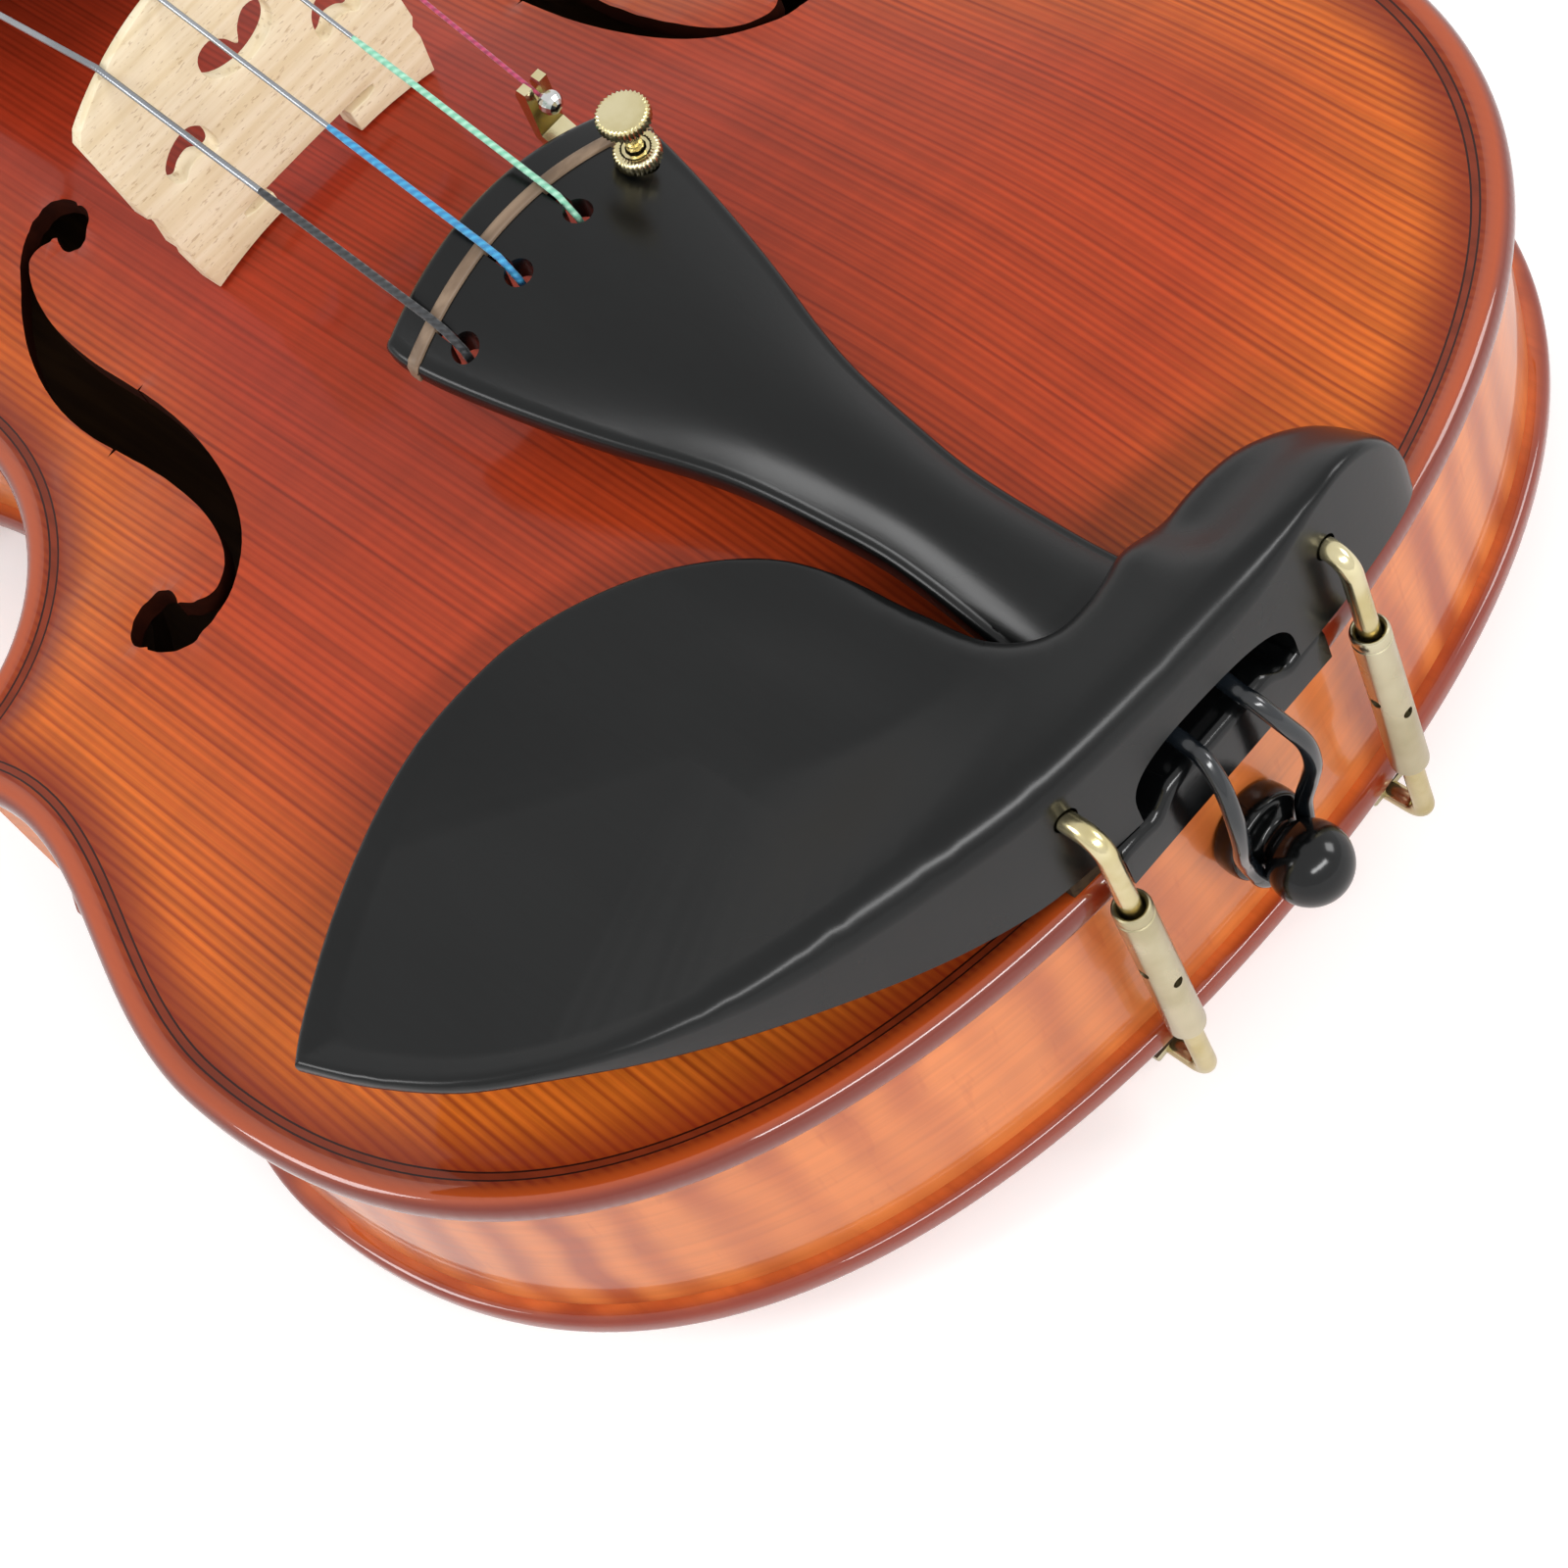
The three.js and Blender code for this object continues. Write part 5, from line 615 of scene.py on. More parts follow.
def silk_material(name, a, b):
    n = new_material(name)
    w = n.node("ShaderNodeTexWave", wave_type="BANDS", bands_direction="DIAGONAL")
    w.inputs["Scale"].default_value = 420.0
    w.inputs["Distortion"].default_value = 1.5
    n.link(n.position(), w.inputs["Vector"])
    twist = w.outputs["Fac"]
    fuzz = n.noise((1500, 1500, 1500), 3)
    body = n.shade(0.5, n.blend(twist, rgb(a), rgb(b)), fuzz, (0.3, 0.75), (0.7, 1.1))
    n.bump(twist, 0.6, 0.0002)
    return n.set(body, 0.62, sheen=0.3)


def string_material(name, a, b):
    n = new_material(name)
    turns = n.add(n.mul(n.math("SINE", n.mul(n.axes()[1], 15000.0)), 0.5), 0.5)
    cloud = n.noise((90, 90, 90), 2)
    body = n.shade(0.35, n.tones(cloud, a, b), turns, (0.0, 0.6), (1.0, 1.0))
    n.bump(turns, 0.15, 0.0001)
    return n.set(body, 0.32, metal=1.0)


def cork_material(name):
    n = new_material(name)
    v = n.node("ShaderNodeTexVoronoi")
    v.inputs["Scale"].default_value = 900.0
    n.link(n.position(), v.inputs["Vector"])
    spots = n.noise((600, 600, 600), 4, 0.7)
    # painted shade: the cork is darkened to a deep brown for its place under the chinrest and the clamp feet
    body = n.blend(v.outputs["Distance"], rgb("2A1C10"), rgb("40301E"))
    body = n.blend(n.ramp(spots, (0.6, 0.0), (0.7, 0.8)), body, rgb("1C120A"))
    n.bump(spots, 0.5, 0.0004)
    return n.set(body, 0.9, spec=0.2)


def cord_material(name, a, b):
    n = new_material(name)
    cloud = n.noise((120, 120, 120), 3)
    n.bump(cloud, 0.03, 0.0003)
    return n.set(n.tones(cloud, a, b), n.ramp(cloud, (0.3, 0.16), (0.7, 0.24)), coat=0.4)


SPRUCE = spruce_material("spruce_varnish", 0.3, 0.1)
SPRUCE_RIM = spruce_material("spruce_rim_varnish", 1.0, 0.04)
BACK_TONES = ("C8622A", "983A16", 0.75, "74200C")
BACK_MAPLE = maple_material("back_maple_varnish", *BACK_TONES)
BACK_EDGE = maple_material("back_rim_varnish", *BACK_TONES, coat=1.0)
NECK_MAPLE = maple_material("neck_maple_varnish", "C8642C", "9C4018", 0.6, period=8.0)
RIB_MAPLE = maple_material("rib_maple_varnish", "D0763A", "983E1C", 0.85, on_rib=True, coat=0.6, spec=0.2)
SHAFT_MAPLE = plain_wood("neck_bare_maple", "D9A468", "C98E52", rough=0.45, coat=0.2)
PURFLE_DARK = plain_wood("purfling_dark", "240A05", "300F07", rough=0.4, coat=0.3, spec=0.12)
PURFLE_PALE = plain_wood("purfling_pale", "803016", "6E2810", rough=0.4, coat=0.3, spec=0.12)
# painted shade: the inner wood is far darker than bare spruce and maple, for the dark inside of the body
SHADED_INNER_WOOD = plain_wood("inner_wood_painted_shade", "5A3C22", "4A301A", rough=0.75)
F_EDGE = plain_wood("f_hole_edge", "2C0F07", "200A05", rough=0.5, coat=0.1, spec=0.1)
BRIDGE_WOOD = plain_wood("bridge_maple", "F0E2C4", "E4D2AC", "A8855A", along_y=False)
FRET_WOOD = plain_wood("fret_wood", "8E7863", "6E5A48", rough=0.5, along_y=False)
EBONY = ebony_material("ebony_satin", "060707", "0E0F0F", (0.23, 0.31))
EBONY_GLOSS = ebony_material("ebony_polished", "050606", "090A0B", (0.12, 0.2), 0.35)
BOARD_EBONY = ebony_material("ebony_board", "101112", "181A1B", (0.34, 0.46))
BRASS = metal_material("brass_polished", "D8CDA6", "C4B684", (0.14, 0.28))
# the rougher satin is the brass's own; its darker tone is painted shade on the barrels' sides, the clamp feet
# and the tailgut nuts
BRASS_SATIN_SHADED = metal_material("brass_satin_shaded", "C9C1A4", "B0A684", (0.22, 0.36), 90.0, 0.1)
NICKEL = metal_material("nickel_polished", "D8D8D6", "BDBDBC", (0.08, 0.2))
STEEL = metal_material("steel_plain", "B9BABB", "94969A", (0.2, 0.34))
WOUND = string_material("wound_string", "A3A6AA", "8A8D92")
CORD = cord_material("tailgut_cord", "0A0D10", "12171C")
SHADED_CORK = cork_material("cork")
SILK = {
    "g": silk_material("silk_black", "17181A", "2C2E31"),
    "d": silk_material("silk_blue", "3FA0CF", "2A7FB5"),
    "a": silk_material("silk_green", "A8DFC4", "7CC4A4"),
    "e": silk_material("silk_pink", "C2436B", "9C2C52"),
}

# the plates

HALF_OUTLINE = chain(*OUTLINE)
OUT = np.vstack([HALF_OUTLINE, HALF_OUTLINE[1:-1][::-1] * [-1, 1]])
RINGS = [0.12, 0.38, 0.75, 1.2, 1.6, 2.3, 3.1, 3.75, 4.0, 4.85, 5.1, 5.7, 6.6, 8.0, 9.6, 12.0]
RIM_WIDTH = 3.1
SMOOTH_ROUNDS = 14
RELAXED_FROM = 6.5
BUTTON_RADIUS = 10.8  # the back's button under the heel


def rise(spots, arch, d):
    """Height of a plate's face over its edge; d is the distance from the outline."""
    y = spots[:, 1]
    channel = -CHANNEL_DEPTH * smooth((d - 1.2) / 4.3)
    waist = 0.53 * BODY
    away = smooth(np.abs(y - waist) / 100)
    reach = mix(46.0, np.where(y < waist, 74.0, 62.0), away)
    t = np.clip((d - CHANNEL_WIDTH) / (reach - CHANNEL_WIDTH), 0, 1)
    across = (smooth(t) + 1 - (1 - t) ** 2) / 2
    u = np.abs(2 * y / BODY - 1)
    along = np.sqrt(np.clip(1 - u ** 4, 0, 1))
    return np.where(d < CHANNEL_WIDTH, channel, -CHANNEL_DEPTH + (arch + CHANNEL_DEPTH) * across * along)


def ring_runs(ok):
    """Stretches of neighbours on a closed ring where a test holds."""
    n = len(ok)
    start = int(np.argmin(ok)) if not ok.all() else 0
    runs, run = [], []
    for i in range(n):
        i = (start + i) % n
        if ok[i]:
            run.append(i)
        elif run:
            runs.append(run)
            run = []
    return runs + [run] if run else runs


def grid_points(boundary, spacing):
    lo, hi = boundary.min(0), boundary.max(0)
    count = math.ceil(hi[0] / spacing)
    xs = np.arange(-count, count + 1) * spacing
    ys = np.arange(lo[1], hi[1], spacing * math.sqrt(0.75))
    return np.array([(x + (j % 2) * spacing / 2, y) for j, y in enumerate(ys) for x in xs])


def triangulate(pts, edges, boundary, holes):
    """Points and triangles inside a boundary and outside its holes."""
    out = delaunay_2d_cdt([Vector(p) for p in pts], edges, [], 0, 1e-4, False)
    spots = np.array([tuple(v) for v in out[0]])
    tris = np.array(out[2])
    c = spots[tris].mean(1)
    keep = inside(c, boundary)
    for loop in holes:
        keep &= ~inside(c, loop)
    return spots, tris[keep]


def plan_mesh(boundary, holes=(), spacing=3.0, rings=RINGS, ring_loop=None):
    """Triangles over a plan, with rings along its edge and cut-out holes."""
    pts, edges = [], []

    def add(points, closed):
        base, n = len(pts), len(points)
        pts.extend(map(tuple, points))
        edges.extend((base + i, base + i + 1) for i in range(n - 1))
        if closed:
            edges.append((base + n - 1, base))

    add(boundary, True)
    ring_loop = boundary if ring_loop is None else ring_loop
    for d in rings:
        ring = offset_ring(ring_loop, d)
        ok = inside(ring, ring_loop) & (distance(ring, ring_loop) > d * 0.985)
        for run in ring_runs(ok):
            add(ring[run], ok.all())
    for loop in holes:
        add(loop, True)
    grid = grid_points(boundary, spacing)
    grid = grid[inside(grid, ring_loop)]
    grid = grid[distance(grid, ring_loop) > rings[-1] + spacing * 0.6]
    for loop in holes:
        grid = grid[distance(grid, loop) > spacing * 0.35]
    pts.extend(map(tuple, grid))
    spots, tris = triangulate(pts, edges, boundary, holes)
    used = np.unique(tris)
    index = np.full(len(spots), -1)
    index[used] = np.arange(len(used))
    return spots[used], index[tris]


def relax(z, spots, tris, free):
    """Heights evened out over their neighbours, where they are free."""
    edges = np.vstack([tris[:, [0, 1]], tris[:, [1, 2]], tris[:, [2, 0]]])
    start, end = np.vstack([edges, edges[:, ::-1]]).T
    count = np.bincount(start, minlength=len(spots))
    for _ in range(SMOOTH_ROUNDS):
        mean = np.bincount(start, z[end], minlength=len(spots)) / np.maximum(count, 1)
        z = np.where(free, mix(z, mean, 0.5), z)
    return z


TOP, UNDER, SIDE = 0, 1, 2


def shell(spots, tris, top, bottom):
    """Closed skin between two heights over one triangulation. Gives a part and its faces' kinds."""
    n = len(spots)
    co = np.vstack([np.column_stack([spots, top]), np.column_stack([spots, bottom])])
    faces = [tuple(t) for t in tris] + [(c + n, b + n, a + n) for a, b, c in tris]
    edges = [e for a, b, c in tris for e in ((a, b), (b, c), (c, a))]
    known = set(edges)
    sides = [(b, a, a + n, b + n) for a, b in edges if (b, a) not in known]
    kind = [TOP] * len(tris) + [UNDER] * len(tris) + [SIDE] * len(sides)
    return (co, faces + sides), np.array(kind)


# an f-hole's Bezier curves (two handles and an end), in shares of the way from its upper to its lower eye
F_START = (0.361, 0.52)
F_CURVES = [
    [(0.375, 0.28), (0.386, 0.07), (0.201, -0.061)], [(0.16, -0.083), (0.09, -0.08), (0.066, -0.04)],
    [(0.03, 0.01), (-0.05, 0.02), (-0.083, -0.03)], [(-0.074, -0.097), (0.008, -0.141), (0.118, -0.131)],
    [(0.325, -0.105), (0.595, 0.09), (0.581, 0.412)], [(0.576, 0.53), (0.543, 0.649), (0.57, 0.819)],
    [(0.584, 0.937), (0.642, 1.073), (0.78, 1.103)], [(0.83, 1.11), (0.87, 1.09), (0.9, 1.045)],
    [(0.97, 1.01), (1.05, 1.01), (1.098, 1.045)], [(1.069, 1.141), (0.959, 1.168), (0.835, 1.168)],
    [(0.601, 1.164), (0.364, 0.954), (0.361, 0.52)],
]
UPPER_EYE, LOWER_EYE = (25.2, 188.3, 3.0), (61.5, 129.3, 4.1)  # x, y and radius


def f_hole_loops(side):
    """Outline of an f-hole, its two nicks and its two eyes."""

    def at(p):
        return np.array([side * mix(UPPER_EYE[0], LOWER_EYE[0], p[0]), mix(UPPER_EYE[1], LOWER_EYE[1], p[1])])

    path, here = [], at(F_START)
    for curve in F_CURVES:
        a, b, c = map(at, curve)
        path.append(bezier([here, a, b, c], 18)[:-1])
        here = c
    loops = [np.vstack(path)]
    for x, way in ((0.368, -1), (0.578, 1)):
        r = at((x, 0.5))
        o = side * way
        loops.append(arr((r[0] - o * 1.4, r[1] - 0.7), (r[0] + o * 1.2, r[1] - 0.12),
                         (r[0] + o * 1.2, r[1] + 0.12), (r[0] - o * 1.4, r[1] + 0.7)))
    a = np.linspace(0, 2 * PI, 48, endpoint=False)
    for x, y, r in (UPPER_EYE, LOWER_EYE):
        loops.append(np.column_stack([side * x + r * np.cos(a), y + r * np.sin(a)]))
    return loops


PLATE_DARK, PLATE_PALE, PLATE_INNER, PLATE_RIM, PLATE_SIDE = 1, 2, 3, 4, 5
PURFLING = ((3.75, 4.0, PLATE_DARK), (4.0, 4.85, PLATE_PALE), (4.85, 5.1, PLATE_DARK))  # from, to, material


def plate_finish(d, faces, kind, outer, inner_from):
    """Face materials of a plate: purfling strips on the outer face, bare wood inside darkened with painted
    shade, and its rim.
    """
    c = np.array([d[list(f)].mean() for f in faces])
    m = np.zeros(len(kind), int)
    for lo, hi, index in PURFLING:
        m[(kind == outer) & (c > lo) & (c < hi)] = index
    m[(kind == UNDER + TOP - outer) & (c > inner_from)] = PLATE_INNER
    m[(kind == SIDE) & (c > 1.0) & (outer == TOP)] = PLATE_SIDE
    m[c < RIM_WIDTH] = PLATE_RIM
    return m


def make_belly():
    holes = f_hole_loops(1) + f_hole_loops(-1)
    holes.append(arr((-17.8, -5), (17.8, -5), (17.8, 7.3), (-17.8, 7.3)))  # the saddle's seat
    holes.append(arr((-ROOT_HALF, 350.2), (ROOT_HALF, 350.2), (ROOT_HALF, 365), (-ROOT_HALF, 365)))
    spots, tris = plan_mesh(OUT, holes)
    d = distance(spots, OUT)
    z = relax(rise(spots, BELLY_ARCH, d), spots, tris, d > RELAXED_FROM)
    top = BELLY_RIM + z - rounding(d, 2.0)
    under = np.where(d < LIP, BELLY_GLUE, np.maximum(top - 3.0, BELLY_GLUE)) + rounding(d, 1.0)
    part, kind = shell(spots, tris, top, under)
    edge = np.concatenate([d, d])
    build("belly_fine", part, [SPRUCE, PURFLE_DARK, PURFLE_PALE, SHADED_INNER_WOOD, SPRUCE_RIM, F_EDGE],
          "belly", fmat=plate_finish(edge, part[1], kind, TOP, 3.0), attrs={"edge": edge})


def make_back():
    off_button = np.hypot(HALF_OUTLINE[:, 0], HALF_OUTLINE[:, 1] - BODY) > BUTTON_RADIUS
    half = HALF_OUTLINE[off_button]
    first = math.atan2(half[-1][1] - BODY, half[-1][0])
    button = [(BUTTON_RADIUS * math.cos(a), BODY + BUTTON_RADIUS * math.sin(a))
              for a in np.linspace(first, PI / 2, 26)][1:]
    half = np.vstack([half, button])
    loop = np.vstack([half, half[1:-1][::-1] * [-1, 1]])
    spots, tris = plan_mesh(loop, ring_loop=OUT)
    d = distance(spots, OUT) * inside(spots, OUT)
    e = distance(spots, loop)
    z = relax(rise(spots, BACK_RIM, d), spots, tris, d > RELAXED_FROM)
    outer = BACK_RIM - z + rounding(e, 1.5)
    inner = np.where(d < LIP, BACK_GLUE, np.minimum(outer + 3.6, BACK_GLUE)) - rounding(e, 1.2)
    part, kind = shell(spots, tris, inner, outer)
    fmat = plate_finish(np.concatenate([d, d]), part[1], kind, UNDER, 3.6)
    build("back_fine", part, [BACK_MAPLE, PURFLE_DARK, PURFLE_PALE, SHADED_INNER_WOOD, BACK_EDGE],
          "back_plate", fmat=fmat, attrs={"edge": np.concatenate([e, e])})


make_belly()
make_back()

# ribs

CUT_REACH = 30.0  # a corner's cut acts no farther than this
RIB_OUTER, RIB_INNER = 2.5, 3.5  # inwards of the outline
RIB_STEPS = 150
RIB_STRETCHES = {"lower": ("lowerBout", "lowerFlank"), "centre": ("lowerWaist", "upperWaist"),
                 "upper": ("upperFlank", "upperBout")}
RIB_TIPS = {"lower": [("lowerTip", -1)], "centre": [("lowerTip", 1), ("upperTip", -1)],
            "upper": [("upperTip", 1)]}


def corner_of(s, name):
    """Middle of a corner's tip, its direction inwards and its direction towards the scroll."""
    tip = stretch(name)
    a, b = tip[0], tip[-1]
    along = (b - a) / np.linalg.norm(b - a)
    flip = np.array([s, 1.0])
    return (a + b) / 2 * flip, np.array([-along[1], along[0]]) * flip, along * flip


def clip_path(path, point, normal):
    """Cuts a path off near a point, on the side that the normal shows."""
    h = (path - point) @ normal
    h[np.linalg.norm(path - point, axis=1) > CUT_REACH] = -1.0
    out = []
    for i in range(len(path)):
        if i and (h[i] <= 0) != (h[i - 1] <= 0):
            out.append(mix(path[i - 1], path[i], h[i - 1] / (h[i - 1] - h[i])))
        if h[i] <= 0:
            out.append(path[i])
    return np.array(out)


def resample(path, share):
    run = run_lengths(path)
    return np.column_stack([np.interp(share * run[-1], run, path[:, k]) for k in range(path.shape[1])])


def run_on(path, start, end):
    a = path[0] + (path[0] - path[1]) / np.linalg.norm(path[0] - path[1]) * start
    b = path[-1] + (path[-1] - path[-2]) / np.linalg.norm(path[-1] - path[-2]) * end
    return np.vstack([a, path, b])


def rib_cuts(name, s):
    cuts = []
    for tip, way in RIB_TIPS[name]:
        point, inward, scroll = corner_of(s, tip)
        cuts.append((point + scroll * way * GAP / 2, -scroll * way))
        cuts.append((point + inward * 2.0, -inward))
    if name == "lower":
        cuts.append((np.array([s * GAP / 2, 0]), np.array([-s, 0])))
    if name == "upper":
        cuts.append((np.array([s * ROOT_HALF, BODY - 3]), np.array([-s, 0])))
    return cuts


def make_rib(side, s, name):
    base = chain(*RIB_STRETCHES[name])
    if side == "bass":
        base = (base * [-1, 1])[::-1]
    share = np.linspace(0, 1, RIB_STEPS)
    near = np.minimum(share, 1 - share)
    lining = smooth((near - 0.08) / 0.1) * 2.0 if name == "centre" else smooth(near / 0.12) * 2.0
    walls = []
    for off in (RIB_OUTER, RIB_INNER):
        line = run_on(offset_path(base, off), 0 if name == "lower" and s > 0 else 3.0, 3.0)
        for point, normal in rib_cuts(name, s):
            line = clip_path(line, point, normal)
        walls.append(resample(line, share))
    outer, inner = walls
    n = outer - inner
    n /= np.linalg.norm(n, axis=1)[:, None]
    z0, z1 = BACK_GLUE, BELLY_GLUE
    heights = np.linspace(z0, z1, 9)
    rings = []
    for o, i, lin in zip(outer, inner, inner - n * lining[:, None]):
        rings.append([(*o, z) for z in heights] + [
            (*lin, z1), (*lin, z1 - 6.6), (*i, z1 - 7), (*i, z0 + 7), (*lin, z0 + 6.6), (*lin, z0)])
    part = loft(rings)
    c = len(rings[0])
    fmat = [int(max(i % c for i in f) >= len(heights)) for f in part[1][:-2]] + [0, 0]
    along = np.repeat(run_lengths(outer), c) + 37.0 * s
    build(f"{name}_rib_{side}_fine", part, [RIB_MAPLE, SHADED_INNER_WOOD], fmat=fmat,
          attrs={"along": along})


for rib_side, rib_way in (("bass", -1.0), ("treble", 1.0)):
    for rib_name in RIB_STRETCHES:
        make_rib(rib_side, rib_way, rib_name)

# neck, scroll, board and nut

NECK = sloped_frame((0, BODY, 56.0), NECK_SLOPE)
BOARD_NARROW, BOARD_WIDE, BOARD_SIDE = 24.0, 42.5, 5
HEEL_NARROW, HEEL_WIDE = 21.0, 33.5
PEGBOX_LENGTH, PEGBOX_DEPTH, PEGBOX_NARROW = 68.0, 27, 16.5
NUT_THICK = 5.5


def neck_point(x, run, height):
    return point_in(NECK, x, run, height)


def board_width(run):
    return mix(BOARD_NARROW, BOARD_WIDE, (NECK_LENGTH - run) / BOARD_LENGTH)


def crown(x):
    """Fall of the crowned board at x from its middle."""
    return CROWN - math.sqrt(CROWN * CROWN - x * x)


def board_height(run):
    return BOARD_SIDE + crown(board_width(run) / 2)


def string_x(k, span):
    return span * (k / 3 - 0.5)


def nut_top(x):
    return board_height(NECK_LENGTH) + 1 - x * x / (2 * CROWN)


def heel_part():
    loops = []
    for i in range(25):
        t = i / 24
        half = mix(HEEL_NARROW, HEEL_WIDE, math.sqrt(t) * t) / 2
        reach = 10 + 16 * t ** 5
        z = mix(BACK_GLUE, 52.75, t)
        loop = [(-half, 350.5, z), (half, 350.5, z)]
        loop += [(half * math.cos(a), BODY + reach * math.sin(a), z) for a in np.linspace(0, PI, 33)]
        loops.append(loop)
    return loft(loops)


def shaft_part():
    loops = []
    for run in np.concatenate([[BOARD_START], np.linspace(0, NECK_LENGTH, 30)]):
        w = board_width(run) - 0.3
        loop = []
        for a in np.linspace(0, PI, 33):
            drop = 12 * math.sin(a) ** 0.8
            loop.append((w / 2 * math.cos(a), run + (drop * NECK_SLOPE if run < 0 else 0), -drop))
        loops.append(loop)
    return moved(loft(loops), NECK)


def pegbox_half(run):
    share = np.clip((run - NECK_LENGTH) / PEGBOX_LENGTH, 0, 1)
    return mix(BOARD_NARROW, PEGBOX_NARROW, share) / 2


def slab(profile, half_at):
    """Side profile in the neck frame, swept across a width that changes along it."""
    return moved(loft([[(s * float(half_at(r)), r, h) for r, h in profile]
                       for s in (-1, -0.92, -0.5, 0, 0.5, 0.92, 1)]), NECK)


def pegbox_part():
    # in shares of its length and depth
    top = [(-0.04, 0.03), (0.12, 0.05), (0.35, 0.17), (0.65, 0.32), (0.9, 0.38)]
    back = [(1.18, 0.86), (1.1, 1.02), (0.93, 1.07), (0.75, 1.08), (0.5, 1.02), (0.25, 0.93), (0.08, 0.84),
            (-0.02, 0.72), (-0.1, 0.5)]
    sides = []
    for line in (top, back):
        sides.append(catmull([(NECK_LENGTH + r * PEGBOX_LENGTH, -d * PEGBOX_DEPTH) for r, d in line], 6))
    return slab(np.vstack(sides), pegbox_half)


def peg_run(k):
    return NECK_LENGTH + 15 + 13.6 * k


def peg_drop(run):
    return 9 + (run - peg_run(0)) * 0.12


SCROLL_TURNS, SCROLL_PER = 2.5, 60
SCROLL_RUN, SCROLL_HEIGHT = NECK_LENGTH + 84.0, -4.0
SCROLL_DISH = (0.0, 0.06, 0.25, 0.5, 0.75, 1.0)  # shares of the way from one turn out to the next


def scroll_radius(t):
    return 4.6 + 19.25 * (1 - min(t / SCROLL_TURNS, 1)) ** 1.25


def scroll_half(t):
    return mix(16.0, 41.0, float(smooth(min(t / (SCROLL_TURNS * 0.9), 1)))) / 2


def scroll_spot(t, r, x):
    a = -PI * 0.62 + t * 2 * PI
    return x, SCROLL_RUN + r * math.cos(a), SCROLL_HEIGHT + r * math.sin(a)


def scroll_part():
    """A volute with dished sides and an eye on each side, and two flutes over its back."""
    per = SCROLL_PER
    steps = int(per * SCROLL_TURNS)
    co, faces, rows = [], [], {}

    def add(p):
        co.append(p)
        return len(co) - 1

    def strip(near, far, count):
        faces.extend((near[k], far[k], far[k + 1], near[k + 1]) for k in range(count))

    for s in (-1, 1):
        row = []
        for i in range(steps + 1):
            t = i / per
            line = []
            for k in SCROLL_DISH:
                sink = 0.9 * math.sin(PI * min(k / 0.9, 1)) * (1 if k > 0.06 else 0.3)
                edge = 0.5 if k == 0 else 0
                r = mix(scroll_radius(t), scroll_radius(t + 1), k)
                line.append(add(scroll_spot(t, r, s * (scroll_half(t) - sink - edge))))
            row.append(line)
        rows[s] = row
        for i in range(steps):
            strip(row[i], row[i + 1], len(SCROLL_DISH) - 1)
        crest = [add(scroll_spot(i / per, scroll_radius(i / per), s * scroll_half(i / per)))
                 for i in range(steps + per + 1)]
        for i in range(steps):
            faces.append((row[i][-1], row[i + 1][-1], crest[i + 1 + per], crest[i + per]))
        last = scroll_half(SCROLL_TURNS + 1)
        eye = add((s * (last + 0.6), SCROLL_RUN, SCROLL_HEIGHT))
        ring = [add(scroll_spot(i / per, 2.6, s * (last + 0.45))) for i in range(steps, steps + per)]
        for j in range(per):
            i, after = steps + j, ring[(j + 1) % per]
            faces.append((crest[i], crest[i + 1], after, ring[j]))
            faces.append((ring[j], after, eye))
    across = np.linspace(-1, 1, 15)
    ridge = []
    for i in range(per + 1):
        t = i / per
        line = []
        for k in across[1:-1]:
            flute = 1.5 * math.sin(PI * min(max((abs(k) - 0.06) / 0.8, 0), 1))
            depth = 0.35 if abs(k) > 0.85 else flute
            line.append(add(scroll_spot(t, scroll_radius(t) - depth, k * scroll_half(t))))
        ridge.append([rows[-1][i][0], *line, rows[1][i][0]])
    for i in range(per):
        strip(ridge[i], ridge[i + 1], len(across) - 1)
    faces.append((*rows[-1][0][:0:-1], *ridge[0], *rows[1][0][1:]))
    low = [add(scroll_spot(1.0, scroll_radius(1.0) - 6, k * scroll_half(1.0) * 0.9)) for k in across]
    inner = ridge[per]
    faces += [(inner[k], inner[k + 1], low[k + 1], low[k]) for k in range(len(across) - 1)]
    return moved((np.array(co, float), faces), NECK)


def neck_piece(name, part, material=NECK_MAPLE, sharp=40):
    return build(f"neck_{name}_fine", part, [material], "neck", sharp=sharp)


def make_neck():
    ob = neck_piece("pegbox", pegbox_part(), sharp=30)
    start, end = NECK_LENGTH + 8, NECK_LENGTH + 63
    near, far = (-peg_drop(r) - 7.5 for r in (start, end))
    hollow = [(start, 6), (start, near + 5), (start + 1.5, near + 1.5), (start + 5, near), (end - 5, far),
              (end - 1.5, far + 1.5), (end, far + 5), (end, 6)]
    cavity = slab(hollow, lambda r: pegbox_half(r) - 5.0)
    holes = [drill(4.2, -20, 20, 32, axis_frame(neck_point(0, run, -peg_drop(run)), (1, 0, 0)))
             for run in map(peg_run, range(4))]
    carve(ob, cavity, *holes, sharp=30)
    bevel(ob, 0.6, 2, 50)
    neck_piece("shaft", shaft_part(), SHAFT_MAPLE)
    neck_piece("heel", heel_part())
    build("scroll_fine", scroll_part(), [NECK_MAPLE], "neck", sharp=32)


